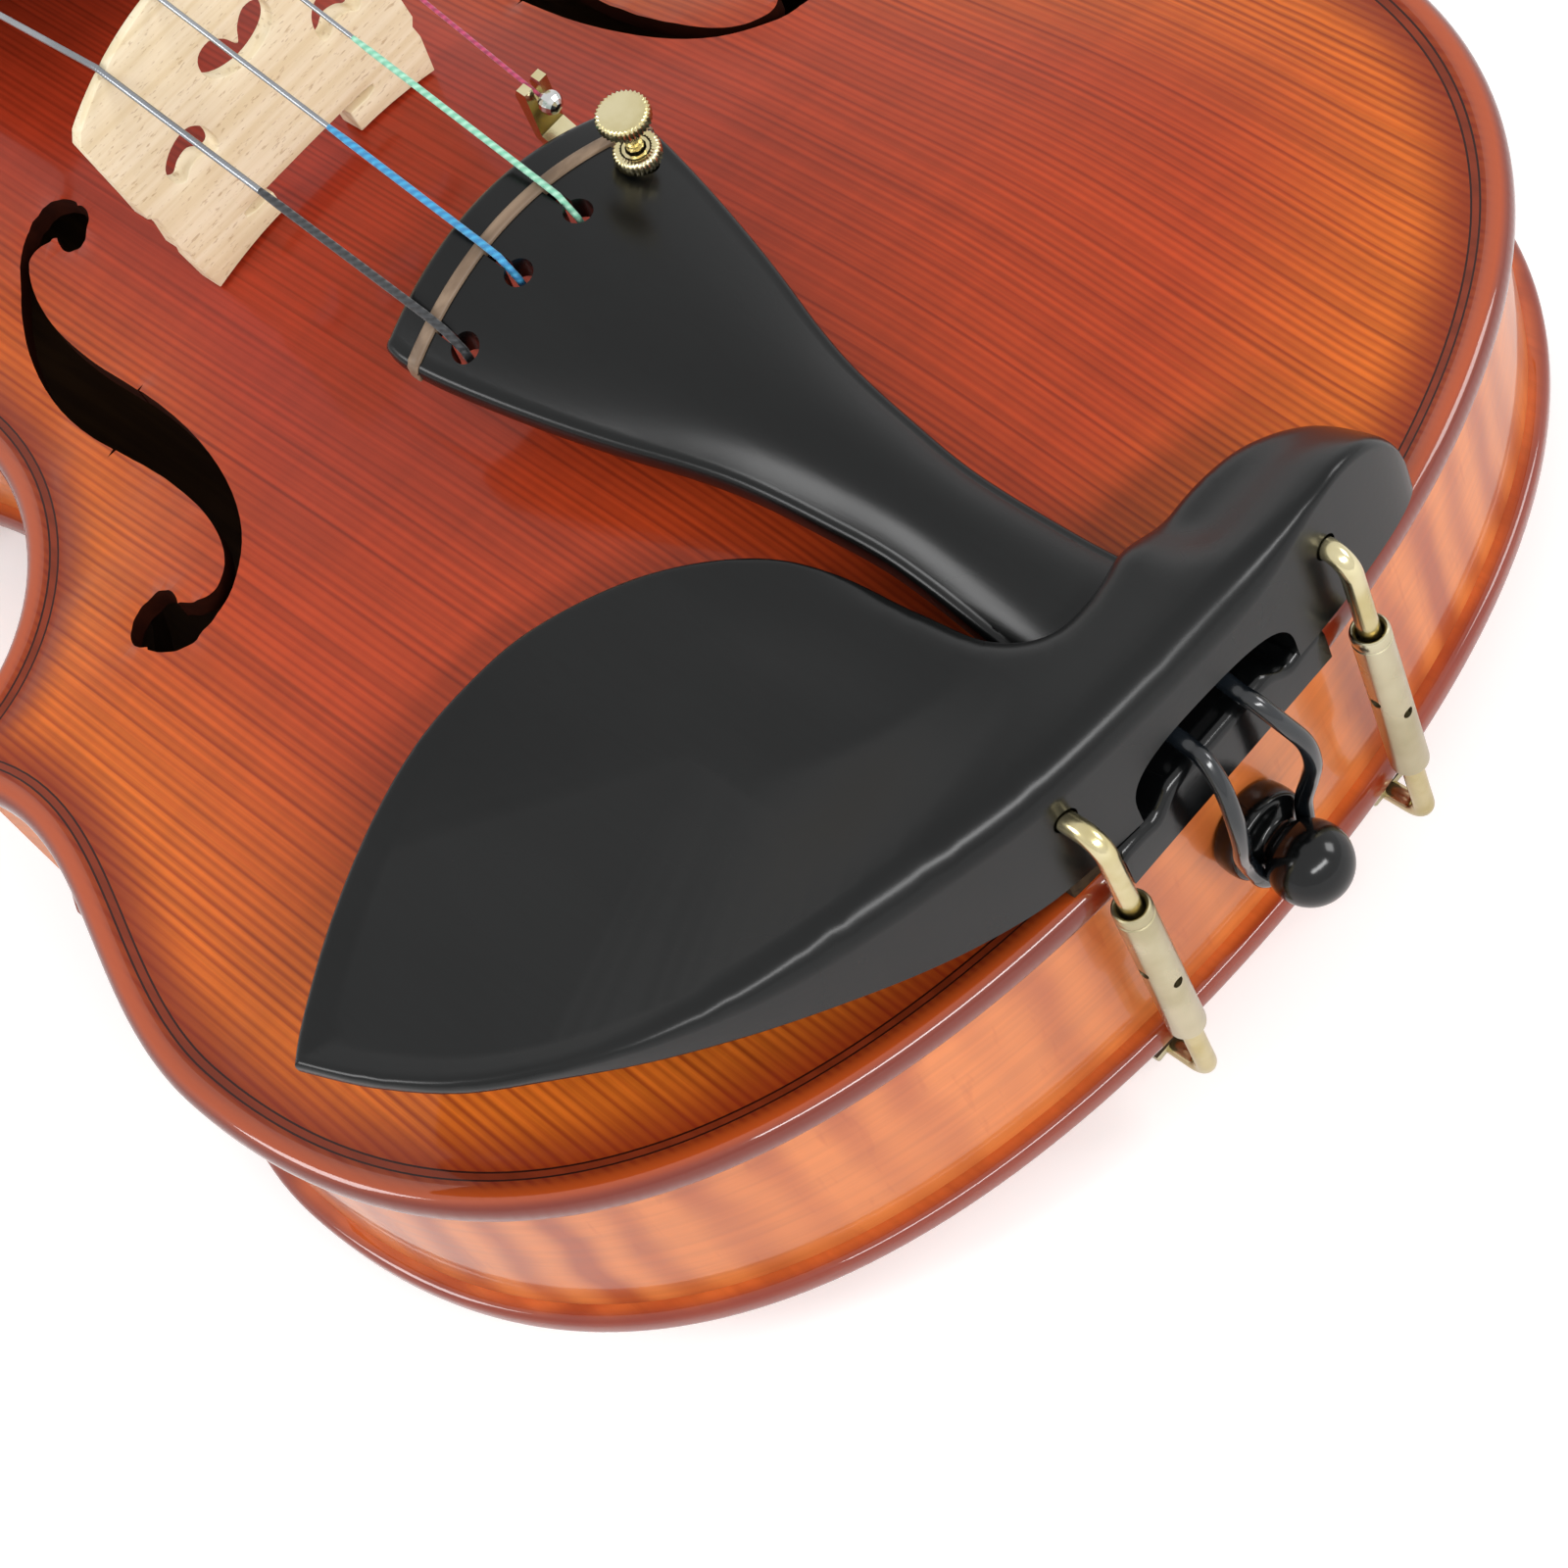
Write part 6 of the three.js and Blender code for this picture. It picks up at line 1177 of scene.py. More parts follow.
def make_fingerboard():
    loops = []
    far = NECK_LENGTH - BOARD_LENGTH
    runs = np.concatenate([np.linspace(NECK_LENGTH, BOARD_START, 40), np.linspace(BOARD_START - 1, far, 40)])
    for run in runs:
        w = board_width(run)
        end = min(NECK_LENGTH - run, run - far, 1.0)
        soft = 0.6 * (1 - end) if end < 1 else 0
        loop = []
        for k in range(33):
            s = 1 - 2 * k / 32
            edge = 0.5 * max(abs(s) - 0.97, 0) / 0.03
            loop.append((w / 2 * s, run, board_height(run) - crown(w / 2 * s) - edge - soft))
        deep = 2.2 * float(smooth((BOARD_START - run) / 6))
        for s in np.linspace(-1, 1, 9):
            loop.append((s * w / 2, run, 0.3 + deep * (1 - (s / 0.85) ** 2 if abs(s) < 0.85 else 0)))
        loops.append(loop)
    build("fingerboard_fine", moved(loft(loops), NECK), [BOARD_EBONY], sharp=35)


def make_nut():
    loops = []
    for t in np.linspace(0, 1, 13):
        run = NECK_LENGTH + GAP + NUT_THICK * t
        low = 1.4 * smooth((t - 0.35) / 0.65) + (0.5 * (1 - t / 0.12) if t < 0.12 else 0)
        loop = []
        for k in range(61):
            x = BOARD_NARROW / 2 * (1 - 2 * k / 60)
            notch = sum(0.35 * math.exp(-((x - string_x(i, NUT_SPAN)) / 0.5) ** 2) for i in range(4))
            edge = 0.6 * max(abs(x) - 11.4, 0) / 0.6
            loop.append((x, run, nut_top(x) - low - notch * 0.6 - edge))
        loops.append(loop + [(-12, run, 0.3), (12, run, 0.3)])
    build("nut_fine", moved(loft(loops), NECK), [EBONY], sharp=35)


make_neck()
make_fingerboard()
make_nut()

# bridge


def belly_z(x, y):
    p = arr((x, y))
    return float(BELLY_RIM + rise(p, BELLY_ARCH, distance(p, OUT))[0])


FOOT_MID, FOOT_HALF = 14.4, 6.8
FOOT_Z = belly_z(FOOT_MID, BRIDGE_Y) + GAP
FOOT_THICK = 4.9
BRIDGE_HALF = 25.0
# in shares of the bridge's half width and of its height
BRIDGE_SIDE = [(1, 0.79), (0.975, 0.6), (0.955, 0.47), (0.945, 0.385), (0.905, 0.36), (0.895, 0.29),
               (0.9, 0.2), (0.87, 0.17), (0.88, 0.12)]
BRIDGE_KIDNEY = [(0.39, 0.44), (0.42, 0.5), (0.5, 0.535), (0.62, 0.52), (0.71, 0.475), (0.715, 0.42),
                 (0.66, 0.385), (0.6, 0.41), (0.52, 0.42), (0.45, 0.39), (0.4, 0.395)]
BRIDGE_HEART = [(0, 0.63), (0.05, 0.68), (0.13, 0.715), (0.22, 0.7), (0.25, 0.65), (0.22, 0.6), (0.13, 0.565),
                (0, 0.55)]


def bridge_top(x):
    return FOOT_Z + BRIDGE_H - crown(x)


def bridge_loops():
    """The bridge's outline, its kidneys and its heart, in x and the height over its feet."""
    toe, heel = 21.2, 21.2 - 2 * FOOT_HALF

    def sized(shares, way=1):
        return [(way * x * BRIDGE_HALF, z * BRIDGE_H) for x, z in shares]

    top = []
    for x in np.linspace(-BRIDGE_HALF, BRIDGE_HALF, 49):
        notch = 0.35 * sum(math.exp(-((x - string_x(i, BRIDGE_SPAN)) / 0.35) ** 2) for i in range(4))
        top.append((x, bridge_top(x) - FOOT_Z - notch - 0.9 * max(abs(x) - 24.2, 0) / 0.8))
    sole = [(x, belly_z(x, BRIDGE_Y) + GAP - FOOT_Z) for x in np.linspace(toe, heel, 9)]
    arch_line = [(heel, 0.8), (heel + 3.2, 0.76), (heel + 4.9, 0.84), (heel + 5.0, 0.98), (heel + 3.0, 1.04),
                 (0, 1.06)]
    right = sized(BRIDGE_SIDE)[1:] + sole + [(x, FOOT_THICK * z) for x, z in arch_line]
    outline = np.array(top + right + [(-x, z) for x, z in right[:-1]][::-1])
    kidneys = [catmull(sized(BRIDGE_KIDNEY, way), 5, True) for way in (-1, 1)]
    heart = sized(BRIDGE_HEART)
    heart = catmull(heart + [(-x, z) for x, z in heart[1:-1]][::-1], 4, True)
    return [outline, *kidneys, heart]


def make_bridge():
    loops = bridge_loops()
    outline = loops[0]
    pts, edges = [], []
    for loop in loops:
        base = len(pts)
        pts += [tuple(p) for p in loop]
        edges += [(base + i, base + (i + 1) % len(loop)) for i in range(len(loop))]
    lo, hi = outline.min(0), outline.max(0)
    for x in np.arange(lo[0], hi[0], 2.5):
        for z in np.arange(lo[1] + 1, hi[1], 2.5):
            p = arr((x, z))
            if inside(p, outline)[0] and min(distance(p, loop)[0] for loop in loops) > 1.2:
                pts.append((x, z))
    spots, tris = triangulate(pts, edges, outline, loops[1:])
    thick = mix(4.3, 1.4, np.clip(spots[:, 1] / BRIDGE_H, 0, 1))
    co, faces = shell(spots, tris, thick / 2, -thick / 2)[0]
    co = np.column_stack([co[:, 0], BRIDGE_Y + co[:, 2], FOOT_Z + co[:, 1]])
    ob = build("bridge_fine", (co, faces), [BRIDGE_WOOD], sharp=35)
    bevel(ob, 0.28, 2, 50)


make_bridge()

# tailpiece and its fittings

TAIL = sloped_frame((0.0, 4.0, 55.5), -TAIL_SLOPE)
# the tailpiece's half width along its length, both in shares
TP_SHAPE = catmull([
    (0, 0.3), (0.03, 0.41), (0.1, 0.43), (0.2, 0.375), (0.33, 0.345), (0.43, 0.39), (0.52, 0.455),
    (0.59, 0.54), (0.68, 0.68), (0.76, 0.79), (0.84, 0.885), (0.92, 0.965), (0.97, 0.99), (1, 0.965)], 10)
TP_ROUND = 1.1  # radius along the tailpiece's sides
TP_BULGE = 1.6  # how far its wide end curves out
TP_SIDE, TP_CROWN = 3, 5.5  # height of its sides, and of its crown over them
TP_HOLLOW, TP_WALL = 4.6, 2.4
GUT_X, GUT_HEIGHT = 4.2, 2.2  # the tailgut's two strands in the tailpiece


def tail_point(x, run, height):
    return point_in(TAIL, x, run, height)


def tp_half(run):
    return float(np.interp(run / TP_LENGTH, TP_SHAPE[:, 0], TP_SHAPE[:, 1])) * TP_WIDTH / 2


def tp_top(x, run):
    t = run / TP_LENGTH
    return TP_SIDE * mix(1.25, 1, t) + TP_CROWN * mix(0.75, 1, t) * (1 - (x / tp_half(run)) ** 2)


def tp_under(s, run):
    depth = TP_HOLLOW * float(smooth((run / TP_LENGTH - 0.3) / 0.3))
    flat = 1 - TP_WALL / tp_half(run)
    return depth * max(1 - (s / flat) ** 2, 0)


def tailpiece_ring(run):
    """Section of the tailpiece: the crown, the rounded sides and the hollow underside."""
    r, half = TP_ROUND, tp_half(run)
    bulge = TP_BULGE * float(smooth(run / TP_LENGTH / 0.5 - 1))
    soft = float(rounding(np.array([min(run, TP_LENGTH - run)]), 1.3)[0])
    side_top = tp_top(half - r, run)

    def corner(a, way):
        return way * ((half - r) + r * math.sin(a)), side_top - soft - r * (1 - math.cos(a))

    ring = [(x, tp_top(x, run) - soft) for x in np.linspace(1, -1, 41) * (half - r)]
    ring += [corner(a, -1) for a in np.linspace(0, PI / 2, 6)[1:]]
    ring += [(-half, 1.4), (-half + 0.2, 0.6), (-half + 0.8, 0.1)]
    ring += [(s * half, tp_under(s, run)) for s in np.linspace(-0.9, 0.9, 25)]
    ring += [(half - 0.8, 0.1), (half - 0.2, 0.6), (half, 1.4)]
    ring += [corner(a, 1) for a in np.linspace(PI / 2, 0, 6)[:-1]]
    return [(x, run - bulge * (x / half) ** 2, z) for x, z in ring]


def make_tailpiece():
    runs = np.concatenate([np.linspace(0, 1, 5), np.linspace(2, 108, 90), np.linspace(108.4, 110, 8)])
    part = moved(loft([tailpiece_ring(run) for run in runs]), TAIL)
    ob = build("tailpiece_fine", part, [EBONY, FRET_WOOD], sharp=45)
    tools = []
    for k in range(4):
        x = string_x(k, TAIL_SPAN)
        radius, slot = (2.1, 6.4) if k == 3 else (1.9, 6.0)
        tools.append(drill(radius, -8, 16, 40, at_point(TAIL, x, HOLE_RUN, 0)))
        tools.append(moved(block(x - 0.6, x + 0.6, HOLE_RUN, HOLE_RUN + slot, -8, 16), TAIL))
    tools.append(moved(block(-6.9, 6.9, 13, 22, -8, 4.9), TAIL))
    tools += [drill(1.4, -16, 16, 24, axis_frame(tail_point(x, 0, GUT_HEIGHT), TAIL[:3, 1]))
              for x in (-GUT_X, GUT_X)]
    carve(ob, *tools, sharp=45)


FRET_SECTION = ((-0.9, -1.0), (-0.9, 0.25), (-0.7, 0.45), (-0.3, 0.52), (0.3, 0.52), (0.7, 0.45), (0.9, 0.25),
                (0.9, -1.0))


def make_fret():
    """The fret lies across the crown and turns down over both sides."""
    half = tp_half(FRET_RUN)
    path = [(s, s * half, tp_top(s * half, FRET_RUN)) for s in np.linspace(-0.97, 0.97, 61)]
    heights = np.linspace(1.0, tp_top(half * 0.97, FRET_RUN) - 0.7, 8)
    path = [(-1, -half - 0.02, z) for z in heights] + path + [(1, half + 0.02, z) for z in heights[::-1]]
    rings = []
    for i, (s, x, z) in enumerate(path):
        before, after = path[max(i - 1, 0)], path[min(i + 1, len(path) - 1)]
        dx, dz = after[1] - before[1], after[2] - before[2]
        k = math.hypot(dx, dz)
        taper = 1.0 if abs(s) < 1 else 0.35
        ring = []
        for w, h in FRET_SECTION:
            h = h * taper if h > 0 else h
            ring.append((x + -dz / k * h, FRET_RUN - TP_BULGE * s * s + w, z + dx / k * h))
        rings.append(ring)
    build("tailpiece_fret_fine", moved(loft(rings), TAIL), [FRET_WOOD], sharp=50)


make_tailpiece()
make_fret()

# saddle, end button and tailgut

SADDLE_TOP = BELLY_RIM + 4.6
BUTTON_TIP = -12.7
BUTTON_Z = BACK_GLUE + 16.5
GROOVE_Y = -3.15
GUT_RADIUS = 1.1


def make_saddle():
    rings = []
    r, low = 1.6, BELLY_GLUE + GAP
    for x in np.linspace(-17.5, 17.5, 71):
        a = abs(x)
        crest = smooth((12.2 - a) / 4.6)
        z = BELLY_RIM + 2.7 + 1.9 * crest - 0.5 * math.exp(-((a - 11.5) / 2.2) ** 2)
        z -= 0.5 * smooth((a - 17.0) / 0.5)
        ring = [(x, 0.0, low), (x, 0.0, z - r)]
        ring += [(x, r - r * math.cos(t), z - r + r * math.sin(t)) for t in np.linspace(0.2, PI / 2, 7)]
        ring += [(x, 7 - r + r * math.sin(t), z - 0.6 - r * 0.8 + r * 0.8 * math.cos(t))
                 for t in np.linspace(0, PI / 2, 6)]
        rings.append(ring + [(x, 7.0, low)])
    build("saddle_fine", loft(rings), [EBONY_GLOSS])


def make_end_button():
    ball, arc = 5.2, PI * 0.72
    drop = 8.5 / (1 - math.cos(arc))
    head = [(ball * math.sin(t), -(1 - math.cos(t)) * drop) for t in np.linspace(0, arc, 22)]
    neck = catmull([head[-1], (3.3, -8.9), (3.1, -9.6), (3.3, -10.3), (4.2, -10.85), (5.3, -11.0),
                    (5.8, -11.4), (6.0, -12.4), (5.95, -13.7), (5.65, -14.8), (4.4, -14.95),
                    (3.8, -14.95)], 4)
    profile = head + [tuple(q) for q in neck[1:]] + [(3.5, -30.8), (0, -30.8)]
    part = lathe([(max(r, 0), h) for r, h in profile], 64)
    frame_m = axis_frame((0, BUTTON_TIP, BUTTON_Z), (0, -1, 0))
    build("end_button_fine", moved(part, frame_m), [EBONY_GLOSS], sharp=45)


def tailgut_points():
    """One strand from the tailpiece over the saddle to the button, and the other one back."""
    wrap, r = 4.5, GUT_RADIUS
    over = SADDLE_TOP + r + GAP
    drop = over - BUTTON_Z
    half = [tail_point(GUT_X, 17.45, GUT_HEIGHT), tail_point(GUT_X, 5.2, GUT_HEIGHT),
            tail_point(GUT_X, -r, 1.98), (GUT_X, 0, over + r * 0.9), (4.41, -2.2, over + r * 0.1),
            (5.1, -4.35, over - drop * 0.12), (6.1, -5.75, over - drop * 0.3),
            (6.35, -5.6, over - drop * 0.5), (6.1, -4.4, over - drop * 0.68),
            (wrap * 1.15, GROOVE_Y, BUTTON_Z + wrap * 0.7)]
    half += [(wrap * math.cos(a), GROOVE_Y, BUTTON_Z - wrap * math.sin(a)) for a in np.linspace(0, PI / 2, 9)]
    half = np.array(half, float)
    return np.vstack([half, half[:-1][::-1] * [-1, 1, 1]])


def make_tailgut():
    part = tube(catmull(tailgut_points(), 8), GUT_RADIUS, 24)
    build("tailgut_fine", part, [CORD], sharp=60)
    nut = lathe([(1.4, 0), (2.2, 0), (2.4, 0.3), (2.4, 3.7), (2.2, 4), (1.4, 4), (1.4, 0)], 72,
                lambda a: 1 - 0.06 * (np.sin(a * 18) > 0))
    for side, x in (("bass", -GUT_X), ("treble", GUT_X)):
        frame_m = axis_frame(tail_point(x, 13.3, GUT_HEIGHT), TAIL[:3, 1])
        build(f"tailgut_nut_{side}_fine", moved(nut, frame_m), [BRASS_SATIN_SHADED], sharp=35)


make_saddle()
make_end_button()
make_tailgut()

# fine tuner

TUNER_X = string_x(3, TAIL_SPAN)
RING_Z = tp_top(TUNER_X - 3.1, HOLE_RUN) + GAP
DISC_Z = RING_Z + 2 + 5.4
SCREW_END = -(DISC_Z + 2.1)
HOOK_REACH, HOOK_HALF = 6.5, 0.75  # the lever's hook: past the tailpiece, and half its thickness
BALL_RADIUS, BALL_HEIGHT = 1.6, 5.4
BALL_RUN = TP_LENGTH + HOOK_REACH - HOOK_HALF - GAP - BALL_RADIUS


def tuner_part(profile, height, teeth):
    turned = lathe(profile, 144, lambda a: 1 - 0.08 * (0.5 + 0.5 * np.cos(a * teeth)))
    return moved(turned, at_point(TAIL, TUNER_X, HOLE_RUN, height))


def make_tuner():
    disc = [(0, 1.35), (1.2, 1.4), (2.2, 1.5), (2.75, 1.78), (3.1, 1.8), (3.4, 1.62), (3.5, 1.4), (3.5, 0.4),
            (3.38, 0.15), (3.1, 0.0), (1.9, 0.0), (1.76, -0.3), (1.76, -0.9), (1.1, -1.1), (1.1, SCREW_END),
            (0, SCREW_END)]
    build("tuner_screw_fine", tuner_part(disc, DISC_Z, 36), [BRASS], body="tuner_screw")
    ring = [(2.1, 0), (2.9, 0), (3.1, 0.25), (3.1, 1.5), (2.9, 1.8), (2.5, 2.0), (2.1, 2.0), (2.1, 0)]
    build("tuner_ring_fine", tuner_part(ring, RING_Z, 32), [BRASS], "tuner_ring_nut")


make_tuner()

# chinrest

CR_LEFT, CR_TAIL, CR_LEN, CR_DEPTH = -93.7, -0.4, 131.0, 72.5
CR_BASE, CR_RIM = 52.6, 72.3
# the chinrest's outline, in shares of its length and depth
CR_PLAN = [
    (0.993, 0.033), (1, 0.095), (0.981, 0.175), (0.933, 0.229), (0.868, 0.254), (0.784, 0.244),
    (0.719, 0.223), (0.673, 0.24), (0.644, 0.317), (0.634, 0.447), (0.619, 0.599), (0.583, 0.753),
    (0.517, 0.891), (0.427, 0.979), (0.347, 1), (0.273, 0.989), (0.189, 0.938), (0.103, 0.858),
    (0.032, 0.772), (0, 0.723), (0.031, 0.585), (0.081, 0.439), (0.163, 0.299), (0.248, 0.207),
    (0.341, 0.138), (0.45, 0.074), (0.56, 0.026), (0.73, 0), (0.883, 0.001)]
CR_KNOTS = [(CR_LEFT + x * CR_LEN, CR_TAIL + y * CR_DEPTH) for x, y in CR_PLAN]
CR_TIP = 19  # knot at the pointed end
CR_LOOP = catmull(CR_KNOTS[CR_TIP:] + CR_KNOTS[:CR_TIP + 1], 9)[:-1]
CR_RINGS = [0.12, 0.4, 0.8, 1.3, 1.9, 2.6, 3.4, 4.4]
# the dish's edge where it leaves the outline on the tail side
CR_CREST = [(-48.1, 11.0), (-41.5, 10.0), (-35.9, 9.5), (-30.5, 9.4), (-25.5, 9.8), (-20.5, 10.6),
            (-16, 12.0), (-12.6, 13.7), (-10.3, 15.6), (-9.0, 18.0)]
CUP_RIGHT = CR_LEFT + 0.634 * CR_LEN
LOBE_RIGHT = CR_LEFT + CR_LEN
POCKET_HALF = 0.43 * TP_WIDTH / 2 + 0.9
CLAMP_X, CLAMP_Y = 21.0, -3.4
ROD_Z, ROD_RADIUS = CR_BASE + 11.2, 1.35


def cup_loop():
    """Edge of the dish: the crest, then the outline of the cup on the bridge side."""
    tail = [k for k in CR_KNOTS[CR_TIP:] if k[0] < -55]
    return catmull(tail + CR_CREST + CR_KNOTS[8:CR_TIP + 1], 9)[:-1]


def chinrest_top(spots, dish):
    """Height of the dished cup and of the rounded lobe beyond it, before the edges are rounded."""
    x, y = spots[:, 0], spots[:, 1]
    fall = 4.3 * np.clip((y - CR_TAIL) / CR_DEPTH, 0, 1)
    t = np.clip(dish / 26, 0, 1)
    cup = CR_RIM - fall - 6 * mix(smooth(t), 1 - (1 - t) ** 2, 0.45)
    beyond = smooth((x - POCKET_HALF / 2) / POCKET_HALF)
    lobe = CR_RIM - mix(2.3, 6.5, beyond) * smooth((y - CR_TAIL) / 16)
    end = np.clip((x - LOBE_RIGHT) / 13 + 1, 0, 1)
    lowest = CR_BASE + 4
    rounded = lowest + (lobe - lowest) * np.sqrt(np.maximum(1 - end * end, 0))
    return mix(cup, rounded, smooth((x - CUP_RIGHT) / 26 + 0.7))


def arch(w, h, foot):
    """Outline of a tunnel's mouth: half width, height, and depth of its straight legs."""
    left = bezier([(-w, h * 0.3), (-w, h * 0.85), (-w * 0.6, h), (0, h)], 14)
    right = bezier([(0, h), (w * 0.6, h), (w, h * 0.85), (w, h * 0.3)], 14)[1:]
    return [(-w, -foot), *map(tuple, left), *map(tuple, right), (w, -foot)]


def make_chinrest():
    spots, tris = plan_mesh(CR_LOOP, spacing=1.5, rings=CR_RINGS)
    x, y = spots[:, 0], spots[:, 1]
    d = distance(spots, CR_LOOP)
    rim = cup_loop()
    top = chinrest_top(spots, distance(spots, rim) * inside(spots, rim))
    beside = np.maximum(np.maximum(-25 - x, x - 33), 0)
    away = smooth(np.hypot(beside, np.maximum(y - 14, 0) * 1.5) / 60)
    thick = mix(3.0, 4.0, smooth(d / 26))
    under = mix(CR_BASE, np.maximum(top - thick, CR_BASE), away)
    # the tail side's edge is a wide crest, where the wood under it is thick
    beyond = smooth((x + 12) / 14) * smooth((y - 3) / 4)
    side = 1 - smooth((y - 30) / 20)
    crest = mix(1.4, 5.0, smooth((x + 78) / 30) * (1 - smooth((x - 8) / 16)))
    plain = rounding(d, 1.0)
    top = top - plain - side * (rounding(d, crest) - plain) * (1 - beyond)
    top = top - beyond * (rounding(d, 4.0) - plain)
    under = under + rounding(d, 1.2) * away
    ob = build("chinrest_fine", shell(spots, tris, top, under)[0], [EBONY])
    tunnel = extrude(arch(13, 9.6, 6), lambda u, v, q: (u, q, CR_BASE + v), CR_DEPTH * 0.75, -CR_DEPTH * 0.25)
    pocket = extrude(arch(POCKET_HALF, tp_top(0, TP_WIDTH / 2) + 1.8, 8.9), lambda u, v, q: (u, q, v),
                     CR_DEPTH - 0.9, -0.9)
    holes = [drill(1.65, -20, 7.3, 32, axis_frame((x, CR_TAIL, ROD_Z), (0, 1, 0)))
             for x in (-CLAMP_X, CLAMP_X)]
    carve(ob, tunnel, moved(pocket, TAIL), *holes, sharp=40)
    even = ob.modifiers.new("even", "WEIGHTED_NORMAL")
    even.keep_sharp, even.weight = True, 80


make_chinrest()

# chinrest clamps

BARREL_LOW, BARREL_TOP = 20.8, 49.8
BARREL_PROFILE = [
    (1.65, BARREL_LOW), (2.15, BARREL_LOW), (2.35, BARREL_LOW + 0.2), (2.4, BARREL_LOW + 0.6),
    (2.4, BARREL_TOP - 1.9), (2.28, BARREL_TOP - 1.75), (2.28, BARREL_TOP - 1.5), (2.4, BARREL_TOP - 1.35),
    (2.4, BARREL_TOP - 0.5), (2.25, BARREL_TOP - 0.1), (2.05, BARREL_TOP), (1.85, BARREL_TOP - 0.1),
    (1.65, BARREL_TOP - 0.4), (1.65, BARREL_LOW)]
HOOK_FOOT = BACK_RIM - 1 - GAP  # top of the foot under the back
HOOK_Z = HOOK_FOOT - ROD_RADIUS


def make_clamp(side, x):
    y, z = CLAMP_Y, ROD_Z
    bend = np.linspace(0, PI / 2, 12)
    pts = [(x, 6.6, z), (x, 2.0, z)]
    pts += [(x, y + 3 - 3 * math.sin(a), z - 3 + 3 * math.cos(a)) for a in bend]
    pts += [(x, y, 52.0), (x, y, BARREL_TOP - 6)]
    build(f"clamp_rod_{side}_fine", tube(pts, ROD_RADIUS, 28), [BRASS], sharp=50)
    barrel = moved(lathe(BARREL_PROFILE, 48), axis_frame((x, y, 0), (0, 0, 1)))
    name = f"clamp_barrel_{side}"
    ob = build(f"{name}_fine", barrel, [BRASS_SATIN_SHADED], body=name, sharp=35)
    mid = (BARREL_TOP + BARREL_LOW) / 2
    carve(ob, *[drill(0.75, -6, 6, 24, axis_frame((x, y, mid + off), way))
                for off, way in ((-1.6, (0, 1, 0)), (1.6, (1, 0, 0)))])
    hook = f"clamp_hook_{side}"
    pts = [(x, y, BARREL_LOW + 9), (x, y, HOOK_Z + 4)]
    pts += [(x, y + 2.4 - 2.4 * math.cos(a), HOOK_Z + 2.4 - 2.4 * math.sin(a)) for a in bend]
    pts += [(x, 3, HOOK_Z), (x, 7.6, HOOK_Z)]
    build(f"{hook}_fine", tube(pts, ROD_RADIUS, 28), [BRASS], body=hook, sharp=50)
    foot = block(x - 3, x + 3, 2, 8, HOOK_FOOT - 1.4, HOOK_FOOT)
    ob = build(f"clamp_foot_{side}_fine", foot, [BRASS_SATIN_SHADED], hook, body=hook)
    bevel(ob, 0.4, 3)


make_clamp("bass", -CLAMP_X)
make_clamp("treble", CLAMP_X)

# pegs, windings and strings

# string, the side its peg's head is on, the peg's place along the box, and the string's place across
PEGS = [("g", -1, 0, 0), ("e", 1, 1, 3), ("d", -1, 2, 1), ("a", 1, 3, 2)]
TURN_STEPS = 24
SILK_FROM = {"g": 30.0, "d": 27.0, "a": 33.0, "e": 60.0}  # silk length from the tail end, along Y
PEG_RADIUS, PEG_TAPER, COLLAR = 3.9, 60, 9  # at the collar, which is this far outside the box
HEAD_HALF = 11
LOOP_GAP = 0.55
STRING_SIDES = 14


def winding(side, order, k):
    """A winding's place across the box, its pitch and its radius."""
    d = STRING_D[k]
    half = float(pegbox_half(peg_run(order)))
    start = -side * (half - 5.0) * 0.1
    radius = PEG_RADIUS - (half + COLLAR - side * start) / PEG_TAPER + d / 2 + GAP
    return start, d + LOOP_GAP, radius


def thumb_ring(i, mid):
    """Section of a peg's flat, waisted and dished head."""
    lat = PI * (i / 40) - PI / 2
    ring = []
    for k in range(64):
        a = 2 * PI * k / 64
        u, v, w = math.cos(lat) * math.cos(a), math.cos(lat) * math.sin(a), math.sin(lat)
        waist = 1 - 0.12 * math.exp(-((w + 0.15) / 0.35) ** 2) * abs(math.cos(a))
        dish = 1 - 0.3 * math.exp(-((u ** 2 + (w - 0.05) ** 2) / 0.4))
        ring.append((10.5 * u * waist, 4.0 * v * dish, mid + HEAD_HALF * w))
    return ring


def peg_part(half):
    collar, tip = half + COLLAR, -half - 1.2
    thin = PEG_RADIUS - (collar - tip) / PEG_TAPER
    shank = [(0, tip), (thin * 0.55, tip + 0.05), (thin * 0.85, tip + 0.25), (thin, tip + 0.8),
             (PEG_RADIUS, collar)]
    shank += [(r, collar + h) for r, h in (
        (5.3, 0), (5.75, 0.25), (6.0, 0.9), (6.0, 1.5), (5.7, 2.1), (5.2, 2.6), (5.15, 3.0), (5.1, 3.5),
        (4.6, 4.0), (3.6, 4.8), (3.2, 6.0), (3.1, 7.4), (3.2, 9.0), (0, 11.5))]
    mid = collar + 4 + 3.5 + HEAD_HALF
    high = mid + HEAD_HALF
    pip = lathe([(r, high + h) for r, h in (
        (0, -1.6), (0.8, -1.4), (1.4, -0.8), (1.6, 0), (1.4, 0.8), (0.8, 1.4), (0, 1.6))], 24)
    return merge(lathe(shank, 56), loft([thumb_ring(i, mid) for i in range(41)]), pip)


def winding_part(side, order, k):
    d = STRING_D[k]
    start, pitch, radius = winding(side, order, k)
    pts = []
    for i in range(4 * TURN_STEPS + 1):
        turn = i / TURN_STEPS
        a = 2 * PI * turn
        pts.append((start + side * pitch * (turn - 2), radius * math.sin(a), radius * math.cos(a)))
    first = np.array(pts[0]) + [0, -d, 0]
    last = np.array(pts[-1]) + [0, d, 0]
    return tube([first, *pts, last], d / 2 * 1.04, 12)


